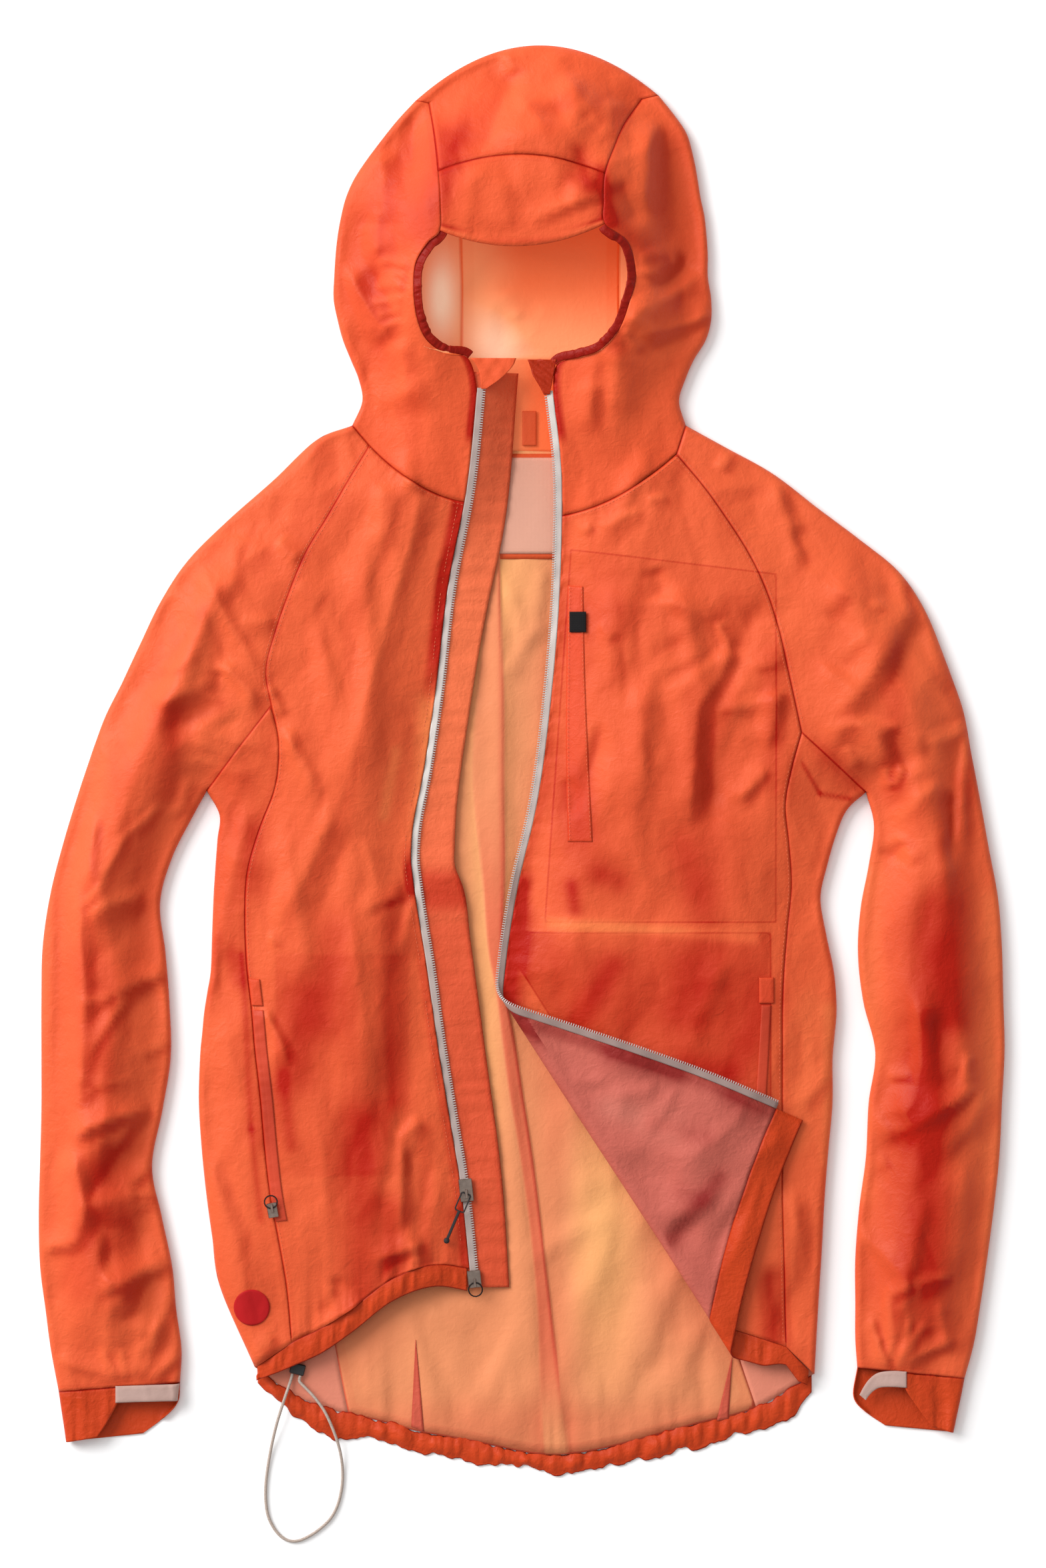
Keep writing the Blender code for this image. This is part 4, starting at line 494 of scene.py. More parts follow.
def height(x, y, d=None):
    """Height of the upper skin: an arc of radius EDGE_R at the outline, then a soft rise."""
    if d is None:
        d = nearest(x, y, OUTLINE)[0]
    hood = smooth((y - 225) / 100) * (np.abs(x) < 160)
    arm = smooth((np.abs(x - 8) - 190) / 60) * (1 - hood)
    end = smooth((-395 - y) / 60) * arm
    low = smooth((-330 - y) / 110) * (1 - arm)
    full = BODY_HEIGHT + (HOOD_HEIGHT - BODY_HEIGHT) * hood + (SLEEVE_HEIGHT - BODY_HEIGHT) * arm
    full = full + (CUFF_HEIGHT - SLEEVE_HEIGHT) * end - 8.0 * low
    ramp = 68.0 + 8.0 * hood - 28.0 * arm
    inside = smooth((d - EDGE_R) / (ramp - EDGE_R))
    top = EDGE_R + arc(d) + (full - 2 * EDGE_R) * inside + inside * ridge_sum(x, y, CREASES)
    open_d = nearest(x, y, OPENINGS)[0]
    near = (1 - smooth(open_d / (52 + 20 * hood))) * smooth(d / 14)
    return top + (opening_height(y) - top) * near


print("height on the chest:", height(np.array([-100.0]), np.array([50.0])).round(1), "mm")

# %% [markdown]
# ## Fine folds
#
# Thin coated nylon folds with sharp crests and hollow flanks, quite unlike a round pillow.
# Each fold is a row: its two ends, its width on either side, its height and how blunt its
# crest is. They could be sculpted by hand, but a table is easy to read, move and repeat.

# %% Tables of the folds
# Each fold from (x0, y0) to (x1, y1); a hollow has a negative height. First those of the hood.
#   x0  y0   x1  y1  width height crest
HOOD_FOLDS = np.array([
    (-4,515, -34,441, 34,-5,3), (-12,531, -5,513, 9,2.5,1.5), (-3,534, 5,481, 24,4,3),
    (-4,500, 18,467, 12,2,1), (24,488, 53,431, 26,-4.5,2.5), (32,508, 60,466, 18,3.5,2),
    (17,527, 68,481, 26,3.5,4), (45,481, 60,466, 10,-2,1.5), (68,492, 64,462, 12,2.5,2),
    (97,474, 90,406, 16,6,2.5), (108,467, 111,372, 22,-4,4), (74,429, 89,399, 14,-3,2),
    (132,363, 74,322, 14,5,2), (118,374, 87,360, 12,2.5,2), (126,376, 103,347, 20,-3.5,3),
    (143,336, 84,315, 12,4,1.5), (79,316, 108,299, 10,-2.5,1.5), (109,297, 80,314, 8,1.5,1),
    (72,303, 66,257, 16,3.5,3), (53,280, 51,246, 14,3,2.5), (62,297, 60,249, 12,-2.5,2.5),
    (-105,454, -105,404, 20,4,3), (-81,481, -80,437, 14,-3,2), (-69,481, -62,410, 18,3.5,3),
    (-130,366, -98,314, 12,4.5,1.5), (-112,366, -91,316, 14,-4,2.5), (-110,410, -108,372, 12,2.5,2),
    (-91,311, -83,263, 18,4,3), (-105,314, -89,276, 16,-3,3), (57,418, 2,400, 9,3,1.5),
    (54,431, 32,418, 10,2.5,1.5), (38,422, 3,406, 10,-2,1.5), (-33,437, -39,395, 20,2.5,3),
    (-14,429, -12,393, 14,2,3), (-117,399, -110,376, 10,2,2), (-85,366, -108,372, 5,1.8,1),
    (-87,359, -99,363, 4,1.5,0.8), (-89,351, -110,353, 5,1.8,1), (-89,343, -113,341, 5,1.8,1),
    (-90,335, -108,332, 5,1.6,1), (-91,328, -105,320, 5,1.6,1), (88,372, 107,378, 7,2.2,1.2),
    (86,362, 108,360, 6,2,1), (80,328, 103,316, 7,2,1), (76,318, 86,303, 6,1.8,1),
], float)
# Folds of the fronts, sides and sleeves.
BODY_FOLDS = np.array([
    (-73,200, -137,-38, 22,5.5,2.5), (-63,186, -112,48, 26,-3.5,4), (-74,218, -87,203, 8,2,1.5),
    (-82,220, -76,199, 7,1.6,1.2), (-103,205, -106,157, 14,2.5,3), (-114,192, -152,134, 26,-3,5),
    (-183,163, -166,148, 8,2.5,1.2), (-215,157, -221,117, 12,2.5,2), (-237,139, -195,63, 16,5,1.2),
    (-221,127, -196,77, 16,-3,2), (-223,70, -196,39, 10,4,1.5), (-225,65, -229,46, 12,-3,2),
    (-271,41, -225,58, 14,3.5,2), (-267,23, -208,39, 26,-5,4), (-244,14, -208,0, 8,2,1.5),
    (-250,0, -208,-13, 7,2,1.2), (-242,23, -191,8, 8,2,1.5), (-189,54, -179,33, 8,2.5,1.5),
    (-179,23, -152,-23, 14,3,2), (-194,159, -210,142, 14,2,2), (-187,104, -212,102, 10,2,2),
    (-168,130, -149,117, 12,1.5,3), (-237,167, -206,159, 10,2,2), (-265,127, -240,107, 12,2,2),
    (-265,65, -242,81, 8,1.5,1.5), (-156,243, -164,186, 24,3,4), (-308,19, -332,-115, 22,4,4),
    (-319,-44, -323,-96, 8,2.5,2), (-272,-35, -294,-56, 5,1.8,0.8), (-294,-56, -312,-92, 5,1.8,0.8),
    (-312,-92, -330,-113, 6,1.8,1), (-284,-100, -316,-107, 7,2.2,1),
    (-283,-105, -327,-119, 8,2.4,1.2), (-332,-100, -333,-279, 13,3.6,1.5),
    (-279,-113, -325,-157, 30,-4,4), (-266,-160, -306,-177, 10,3,1.2),
    (-306,-177, -332,-182, 8,2.4,1.2), (-294,-180, -323,-220, 7,2.6,0.8),
    (-272,-172, -302,-195, 24,-3.5,3), (-265,-212, -287,-221, 7,2,1.2),
    (-335,-239, -308,-239, 4,1,0.8), (-325,-247, -289,-239, 4,1,0.8), (-352,-96, -352,-279, 10,2,3),
    (-283,-262, -333,-279, 10,3,1.5), (-249,-14, -260,-44, 8,2.5,1.5),
    (-176,19, -151,-29, 12,2.5,2), (-141,-38, -180,-119, 16,3.5,2.5),
    (-132,-58, -157,-126, 22,-3,4), (-187,-130, -185,-140, 5,1.5,1),
    (-193,-188, -176,-227, 8,3,1.5), (-203,-35, -226,-146, 14,3,3), (-231,-119, -237,-191, 10,2,2),
    (-333,-280, -283,-262, 12,4,1), (-281,-262, -306,-293, 10,3,1),
    (-298,-289, -325,-331, 26,-5.5,2), (-277,-303, -298,-322, 10,3,1.5),
    (-273,-325, -329,-333, 12,3.5,1.2), (-335,-295, -328,-358, 12,4.5,1.5),
    (-358,-366, -328,-358, 10,3.5,1.2), (-323,-347, -277,-358, 20,-4,3),
    (-314,-373, -279,-373, 22,-4.5,3), (-264,-377, -308,-396, 14,4,2),
    (-310,-385, -296,-423, 12,3,2), (-306,-396, -294,-423, 12,-3,2),
    (-279,-385, -291,-423, 14,-3.5,2), (-262,-400, -281,-435, 10,3,1.5),
    (-306,-404, -308,-444, 12,2.5,2), (-256,-444, -279,-465, 8,3,1.5),
    (-270,-419, -287,-465, 7,3,1.2), (-281,-435, -291,-463, 6,2.5,1.2),
    (-300,-442, -297,-465, 6,2.2,1.2), (-314,-442, -300,-463, 6,2,1.2),
    (-348,-450, -302,-463, 8,2,1.5), (-237,-299, -203,-423, 14,3,3),
    (-143,-393, -136,-423, 10,3.5,1.5), (-122,-404, -143,-435, 12,4,1.5),
    (-136,-389, -147,-419, 10,-3,2), (-187,-431, -199,-454, 12,3,2),
    (-117,-62, -108,-102, 10,2,1.5), (-90,-102, -119,-113, 8,2,1.5), (-81,-105, -92,-145, 8,2,1.5),
    (-92,-221, -110,-363, 30,-5,5), (-76,-270, -92,-288, 8,3,1.2), (-91,-288, -93,-352, 9,3.5,1.5),
    (-79,-292, -88,-330, 12,-3,2), (-75,-362, -112,-375, 10,3.5,1.2), (-79,-363, -83,-395, 8,3,1.5),
    (-67,-303, -79,-359, 14,-3,2), (106,119, 147,102, 14,3.5,1.2), (101,142, 105,119, 14,-3,2),
    (147,102, 157,83, 8,3,1), (157,81, 132,42, 12,4.5,1.2), (157,81, 109,42, 14,3,1.5),
    (132,42, 124,-49, 18,5.5,2), (138,35, 142,-49, 22,-6,4), (180,115, 144,46, 26,-5,4),
    (195,49, 147,37, 10,3.5,1.2), (193,48, 182,10, 12,3.5,1.5), (151,35, 180,29, 14,-2.5,2),
    (182,-7, 157,-32, 10,3,1.5), (121,88, 90,65, 14,-2,2), (142,84, 94,63, 12,2,1.5),
    (65,127, 75,58, 20,3,4), (59,102, 69,90, 6,1.5,1), (71,96, 78,39, 12,-2.5,3),
    (86,58, 94,-38, 26,4,5), (59,23, 44,-38, 10,-3,2), (36,-15, 40,-44, 8,-2.4,2),
    (117,228, 86,201, 10,2,1.5), (94,194, 109,195, 5,1.5,1), (88,186, 59,172, 8,2,1.5),
    (52,174, 44,169, 6,1.5,1), (155,232, 147,216, 6,2.5,1), (189,207, 216,140, 14,4,2),
    (205,172, 216,140, 10,-3,1.5), (180,207, 136,201, 12,1.5,2), (170,69, 195,75, 8,2,1.5),
    (290,104, 224,26, 18,5,1.5), (288,100, 278,54, 20,-5,3), (289,81, 333,25, 16,3.5,2.5),
    (261,116, 290,102, 9,3,1), (284,139, 291,104, 8,3,1.2), (246,120, 234,100, 16,-3,3),
    (259,93, 234,74, 9,2,1.5), (268,26, 224,21, 10,3,1.5), (268,26, 301,9, 10,3,1.5),
    (276,22, 291,-9, 12,-4,2), (265,24, 268,-7, 12,3,2), (334,25, 303,10, 12,4,1.5),
    (242,9, 251,-5, 8,2.5,1), (284,-5, 274,-22, 4,2.5,0.6), (273,-7, 273,-22, 4,2.5,0.6),
    (334,18, 328,-68, 8,3.5,1), (322,-26, 318,-79, 10,-4,2), (311,-18, 280,-49, 12,3,2),
    (278,-58, 295,-76, 9,2.5,1.2), (284,-62, 276,-76, 12,-3,2), (303,95, 322,56, 12,2,2),
    (294,-181, 295,-248, 10,3.5,1.2), (312,-192, 308,-255, 24,-4,4), (274,-237, 290,-237, 6,2,1),
    (295,-250, 267,-281, 12,3.5,1.5), (285,-266, 272,-275, 10,-3,2), (337,-246, 267,-283, 12,4,1.2),
    (333,-221, 330,-241, 6,3,1), (328,-232, 321,-252, 10,-2.5,2), (347,-252, 316,-293, 12,3,2),
    (337,-281, 308,-315, 20,-3.5,4), (251,-352, 290,-393, 9,3.5,1), (268,-295, 272,-306, 5,1.5,1),
    (319,-386, 290,-394, 8,3,1), (290,-394, 272,-400, 8,2.5,1), (312,-406, 321,-444, 10,3,1.5),
    (261,-418, 272,-456, 6,2.5,1.2), (272,-400, 275,-456, 7,3,1.2), (267,-431, 274,-456, 5,2,1),
    (290,-418, 281,-456, 6,2.5,1), (321,-435, 283,-453, 9,3.5,1.2), (301,-422, 285,-449, 7,2.5,1.2),
    (203,-324, 196,-404, 16,4,3), (185,-382, 203,-438, 20,-3.5,3), (234,-232, 207,-261, 10,2,2),
    (330,-306, 325,-382, 14,2.4,2.5),
], float)
# Folds of the turned lower corner of the left front.
FLAP_FOLDS = np.array([
    (100,-245, 66,-252, 10,2.5,1.5), (116,-250, 93,-281, 8,2,1.5), (158,-274, 116,-299, 12,3.5,1.5),
    (162,-274, 149,-288, 8,-2,1.5), (196,-279, 165,-303, 12,3,1.5), (165,-261, 158,-276, 5,2,1),
    (116,-312, 71,-308, 18,-2.5,3), (147,-326, 100,-348, 12,4,1.5), (131,-348, 93,-361, 20,-4,3),
    (169,-314, 140,-350, 12,3,2), (167,-346, 149,-386, 10,2.5,1.5), (158,-341, 142,-381, 10,-2.5,2),
    (102,-370, 125,-399, 10,3,1.5), (62,-241, 35,-241, 8,1.5,1), (58,-292, 93,-292, 12,2,2),
    (176,-317, 167,-348, 7,2,1.2),
], float)
# Folds of the back, seen through the open front.
BACK_FOLDS = np.array([
    (13,-463, -25,-509, 12,3,2), (46,-460, 62,-474, 6,1.6,1), (73,-459, 86,-465, 5,1.4,0.8),
    (-69,-413, -36,-427, 8,2,1.2), (-56,-452, -31,-485, 10,2,2), (62,-479, 38,-485, 12,2.6,1.5),
    (123,-457, 90,-479, 12,3,2), (98,-397, 90,-452, 14,3,2), (2,-421, -31,-496, 14,3.5,2.5),
    (60,-347, -4,-383, 10,2,2), (68,-358, 40,-413, 16,2,2), (136,-424, 114,-485, 12,2.6,2),
    (-119,-446, -111,-485, 12,2,2), (-58,-408, -25,-413, 8,1.6,1.2), (35,-446, 27,-496, 12,2.4,2),
    (-25,-507, -42,-485, 9,2.4,1.2), (-9,-460, 2,-507, 8,2,1.5), (111,-321, 80,-363, 16,2.4,2.5),
    (71,-314, 40,-319, 14,2,2), (35,-236, 22,-194, 10,2,2), (-10,127, 0,84, 7,2.4,1.2),
    (0,84, 15,104, 7,2.4,1.2), (0,84, -10,62, 8,2,1.2), (15,142, 6,96, 8,2,1.5),
], float)
# Folds of the back of the hood, seen through the face opening.
NAPE_FOLDS = np.array([
    (-12,381, -24,337, 16,1.5,3), (-12,351, -1,330, 14,1.8,2), (-12,351, -39,335, 16,1.5,2.5),
    (-22,341, -24,303, 12,1.6,2), (-4,337, -1,305, 12,1.5,2), (-64,372, -69,324, 14,2.6,2),
    (19,341, 7,309, 14,1.4,2.5), (-56,353, -52,309, 10,1.6,2),
], float)
# Strokes of painted shade and painted light on the outside: a negative amount is a redder painted
# shade, a positive one a paler painted light.
#   x0  y0   x1  y1  width  amount
SHADE_STROKES = np.array([
    (38,431, 73,422, 8.2,-0.42), (111,457, 121,340, 17.6,-0.24), (64,402, 97,375, 9.4,-0.48),
    (-97,457, -115,369, 26.4,-0.3), (-50,463, -71,393, 16.5,-0.48),
    (-121,346, -103,305, 14.7,-0.24), (62,322, 73,305, 8.2,-0.42), (-97,487, -115,440, 17.6,0.15),
    (-68,40, -74,-60, 9.4,0.9), (-94,5, -103,-42, 4.7,0.45), (-97,-107, -71,-86, 8.2,-0.54),
    (-97,-124, -94,-254, 11.8,-0.48), (-118,-271, -121,-430, 17.6,-0.6),
    (-141,-130, -147,-195, 17.6,-0.42), (-165,-177, -169,-236, 16.5,-0.42),
    (-190,-248, -191,-283, 10.6,-0.36), (-47,-342, -47,-377, 10.6,-0.36),
    (-215,-148, -212,-166, 7.1,-0.48), (-203,-54, -197,-95, 11.8,-0.3),
    (-259,34, -265,-25, 12.9,-0.42), (-282,-54, -285,-166, 14.1,-0.24),
    (-320,-160, -309,-260, 23.5,-0.36), (-303,-295, -297,-395, 20,-0.42),
    (145,40, 141,-95, 18.8,-0.24), (44,-13, 44,-54, 9.4,-0.36), (59,-86, 73,-92, 9.4,-0.36),
    (79,-136, 32,-130, 11.8,0.25), (20,99, 67,111, 23.5,-0.24), (279,81, 279,-25, 10.6,-0.36),
    (226,5, 247,-19, 10.6,-0.36), (327,-19, 326,-195, 14.1,-0.42), (308,-113, 305,-424, 21.2,-0.54),
    (258,-89, 261,-224, 12.9,0.25), (352,-107, 352,-401, 10.6,0.3),
    (120,-154, 114,-189, 11.8,-0.18), (185,-177, 167,-213, 15.3,-0.3),
    (188,-389, 188,-454, 10.6,-0.6), (214,-183, 208,-283, 11.8,0.2),
    (126,-230, 156,-236, 12.9,-0.36), (-75,-66, -68,-107, 7.6,-0.84), (59,437, 66,399, 5.3,-0.72),
    (20,5, 53,-83, 20,-0.24), (120,-66, 138,-124, 14.1,-0.36), (188,75, 191,-19, 11.8,-0.3),
    (-215,-19, -224,-136, 15.3,-0.24), (-53,134, -50,64, 10.6,-0.36),
    (-97,-336, -94,-386, 11.8,-0.48), (-315,-313, -332,-395, 14.1,-0.3),
    (255,-224, 255,-324, 8.2,0.4), (37,-95, 40,-113, 5.9,-0.6), (68,-154, 41,-198, 10.6,-0.36),
    (-209,-147, -202,-277, 2.9,-0.48), (-202,-277, -195,-344, 2.9,-0.48),
    (-178,-236, -172,-289, 5.3,-0.42), (232,-189, 232,-301, 7.1,0.5),
    (-73,-277, -70,-436, 7.1,-0.3), (43,451, 50,422, 5.9,-0.48), (188,-277, 184,-313, 5.3,-0.72),
    (22,-122, 173,-134, 4.7,0.5), (138,-154, 132,-195, 17.6,-0.24), (210,-4, 223,-26, 1.8,-0.6),
    (223,-26, 246,-30, 1.8,-0.6), (301,-145, 298,-254, 29.4,-0.26),
    (291,-283, 286,-371, 36.4,-0.31),
], float)
# The same strokes of painted shade and painted light on the turned corner.
FLAP_SHADE_STROKES = np.array([
    (147,-313, 111,-360, 7.1,-0.6), (67,-221, 114,-236, 9.4,-0.48), (156,-254, 173,-266, 9.4,-0.36),
    (114,-277, 67,-260, 10.6,0.3), (97,-271, 138,-283, 7.1,-0.3), (120,-324, 138,-330, 7.1,-0.3),
], float)
print("strokes of tone:", len(SHADE_STROKES) + len(FLAP_SHADE_STROKES))

# %% [markdown]
# ## Folds, dents and noise as functions
#
# Handled nylon is full of flat dents with sharp edges between them. A displacement texture
# could carry them, but functions of the place give the grids real folds that catch the light.
# `noise` bends things a little, `facets` makes the dents, and `fold_sum` reads the tables.

# %% Fold and crumple functions
FOLD_GAIN = 1.05
LIGHT_SIDE = np.array([-0.83, 0.56])
FLANK_STEP, FLANK_SLOPE = 4, 0.35
# Short lines under the zip sliders and the round pull tags, where the cloth stays calm.
SMALL_PARTS = [np.array([(-41.6, -316), (-41.6, -330)]), np.array([(-35.4, -384), (-35.4, -396)]),
               np.array([(-186, -330), (-186, -344)]), np.array([(-44, -330), (-58, -364)])]


def noise(x, y, seed):
    """Smooth noise from -1 to 1: a random slope at each whole corner, blended between them."""
    rng = np.random.default_rng(seed)
    turn = rng.permutation(256)
    angle = rng.uniform(0, 2 * math.pi, 256)
    ix, iy = np.floor(x).astype(int), np.floor(y).astype(int)
    fx, fy = x - ix, y - iy
    u = fx ** 3 * (fx * (fx * 6 - 15) + 10)
    v = fy ** 3 * (fy * (fy * 6 - 15) + 10)
    total = 0.0
    for cx in (0, 1):
        for cy in (0, 1):
            a = angle[turn[(turn[(ix + cx) & 255] + iy + cy) & 255]]
            slope = np.cos(a) * (fx - cx) + np.sin(a) * (fy - cy)
            total = total + slope * (u if cx else 1 - u) * (v if cy else 1 - v)
    return total * 1.5


def facets(x, y, seed):
    """Heights from -1 to 1 at the corners of triangles, flat in between, with sharp creases."""
    rng = np.random.default_rng(seed)
    turn, corner = rng.permutation(256), rng.uniform(-1, 1, 256)
    u, v = x + 0.366 * (x + y), y + 0.366 * (x + y)
    iu, iv = np.floor(u).astype(int), np.floor(v).astype(int)
    fu, fv = u - iu, v - iv
    right = (fu > fv).astype(int)
    a = corner[turn[(turn[iu & 255] + iv) & 255]]
    b = corner[turn[(turn[(iu + right) & 255] + iv + 1 - right) & 255]]
    c = corner[turn[(turn[(iu + 1) & 255] + iv + 1) & 255]]
    return a + (b - a) * np.maximum(fu, fv) + (c - b) * np.minimum(fu, fv)


def fold_sum(x, y, table):
    """Sum of sharp folds.

    s is the distance across the fold's line, e = (sqrt(s s + crest crest) - crest) / width,
    and the fold's height there is high (1 - e) to the power 1.5, faded out at both ends.
    One side of the fold is short and steep, the other long and nearly flat.
    The line itself bends a little, as a half sine of the length.
    """
    px, py = np.ravel(x), np.ravel(y)
    total = np.zeros_like(px)
    for row, (x0, y0, x1, y1, width, high, crest) in enumerate(table):
        crest, width = max(crest, 1.0), 1.2 * width
        t, side, size = across_line(px, py, x0, y0, x1, y1)
        spot = np.nonzero((t > -0.25) & (t < 1.25) & (np.abs(side) < 1.2 * width + 0.1 * size))[0]
        if not len(spot):
            continue
        t, s = t[spot], side[spot]
        bend = 0.045 * size * math.sin(row * 2.4)
        s = s - bend * np.sin(math.pi * np.clip(t, 0, 1))
        s = s - 0.9 * noise(px[spot] / 13, py[spot] / 13, 7)
        w = width * (0.7 + 0.5 * np.clip(t, 0, 1)) * np.where(s * (-1) ** row > 0, 0.7, 1.35)
        e = np.clip((np.sqrt(s * s + crest * crest) - crest) / w, 0, 1)
        fade = smooth((t + 0.12) / 0.3) * smooth((1.12 - t) / 0.4)
        total[spot] += high * fade * (1 - e) ** 1.5
    return FOLD_GAIN * total.reshape(np.shape(x))


def crumple(x, y, big=1.0):
    """Dents of handled nylon: three layers of bent facets, each smaller and lower."""
    wx = x + 10 * noise(x / 60, y / 60, 11)
    wy = y + 14 * noise(x / 60, y / 60, 12)
    total = 1.5 * big * facets(wx / 34, wy / 62, 1) + 0.55 * facets(wx / 15, wy / 27, 2)
    return total + 0.16 * facets(wx / 7, wy / 11, 3)


def relief(x, y, table, d, big=1.0):
    """Folds and crumple of the upper skin, none at the outline and under the zip sliders."""
    calm = smooth((nearest(x, y, SMALL_PARTS)[0] - 7) / 14)
    return (fold_sum(x, y, table) + crumple(x, y, big)) * smooth(d / 9) * calm


def flank(x, y, table):
    """How steeply the folds face away from the light: the rise over a step towards it."""
    ax, ay = x + FLANK_STEP * LIGHT_SIDE[0], y + FLANK_STEP * LIGHT_SIDE[1]
    rise = fold_sum(ax, ay, table) + crumple(ax, ay) - fold_sum(x, y, table) - crumple(x, y)
    return np.clip(rise / FLANK_STEP / FLANK_SLOPE, -1, 1)


print("folds:", [len(rows) for rows in (HOOD_FOLDS, BODY_FOLDS, FLAP_FOLDS, BACK_FOLDS,
                                        NAPE_FOLDS)])

# %% [markdown]
# ## Seams
#
# Where two panels are sewn together the cloth is drawn in: a narrow groove with small puckers
# on either side. Both panels ask the same function, so their edges meet exactly.

# %% Seam lines of the upper skin
K, H = 11, 8  # rows of a grid for each row of a table, on the body and on the hood and cuffs


class Side:
    """One side of the jacket: its tables cut finer, its zip edge and its seams."""

    def __init__(self, front, sleeve, panel, cuff, hood, zip_line, to_cloth):
        self.front, self.panel = finer(front, K, (7,)), finer(panel, K)
        self.sleeve = finer(sleeve, K, (7, 9))
        self.cuff, self.hood = finer(cuff, H), finer(hood, H)
        self.neck_end = front[0, 1:3]
        self.back_seam = np.concatenate([front[:7, 1:3], panel[:, 2:4]])
        zip_y = self.front[:, 0]
        self.zip_edge = np.stack([read(zip_line, zip_y) + to_cloth, zip_y], 1)
        at_neck = np.array([float(read(zip_line, front[0, 0])) + to_cloth, front[0, 0]])
        self.seams = [self.front[:7 * K + 1:4, 1:3], self.sleeve[7 * K:9 * K + 1:11, 2:4],
                      self.front[7 * K::5, 1:3], bowed(at_neck, front[0, 1:3], -8.0),
                      sleeve[-1].reshape(2, 2), self.hood[13 * H::4, :2],
                      np.stack([self.sleeve[0, 2:4], self.sleeve[0, :2]])]


SIDES = {
    "right": Side(FRONT_RIGHT, SLEEVE_RIGHT, SIDE_RIGHT, CUFF_RIGHT, HOOD_RIGHT, ZIP_RIGHT,
                  -TEETH_GAP),
    "left": Side(FRONT_LEFT, SLEEVE_LEFT, SIDE_LEFT, CUFF_LEFT, HOOD_LEFT, ZIP_LEFT, TEETH_GAP),
}
right, left = SIDES["right"], SIDES["left"]
# Both sides in turn: raglan, underarm, side, neck, cuff, hood and shoulder. Then the brim's seam.
SEAMS = [line for pair in zip(right.seams, left.seams) for line in pair]
SEAMS.append(bowed(right.hood[13 * H, :2], left.hood[13 * H, :2], 13.0))


def drawn_in(edge, run, deep=0.3, pucker=0.4):
    """Groove and puckers of a seam.

    edge is the distance to the seam and run the length along it. The groove is a bell 1.3 mm
    wide, the puckers are a sine of the length that fades with the distance.
    """
    beat = np.sin(run * 0.78 + 1.6 * np.sin(run * 0.115) + 0.9 * np.sin(run * 0.291))
    strength = 0.6 + 0.4 * np.sin(run * 0.053)
    groove = deep * bell(edge / 1.3)
    return pucker * strength * beat * np.exp(-edge / 4.5) * (1 - bell(edge / 1.2)) - groove


def gathers(run, seed):
    """Uneven frills of a gathered edge, from -1 to 1: two layers of noise along its length."""
    half = 0 * run + 0.5
    return 0.75 * noise(run / 6.5, half, seed) * 1.6 + 0.5 * noise(run / 2.9, half, seed + 1)


print("seam lines:", len(SEAMS))

# %% [markdown]
# ## From a grid to a piece of cloth
#
# A panel is a grid of points. Blender's Solidify modifier gives it its wall, so the inside can
# have a material of its own. Each point also carries a few numbers that the materials read:
# how far it is from a seam, how deep over a pocket bag, and its tone, which carries painted
# shade and painted light.

# %% Cloth maker
FAR, NO_BAG = 30.0, -40.0  # the numbers of a place with no seam near it, or with no bag under it
LEAST_SIDE, LEAST_SHARE = 0.0101, 0.31  # the least side and share of area that a sheet states


def plain_numbers(x, edge=FAR, tone=0.0):
    """The three numbers of a piece that no seam or bag marks, or with an edge and a tone given."""
    none = np.zeros(np.shape(x))
    return {"edge": none + edge, "bag": none + NO_BAG, "tone": none + tone}


def bag_depth(x, y, bags):
    """How far inside the nearest pocket bag a point lies: the least distance to its sides."""
    deepest = np.full(np.shape(x), NO_BAG)
    for sides in bags:
        depth = np.full(np.shape(x), 60.0)
        for px, py, kx, ky in sides:
            depth = np.minimum(depth, (x - px) * kx + (y - py) * ky)
        deepest = np.maximum(deepest, depth)
    return deepest


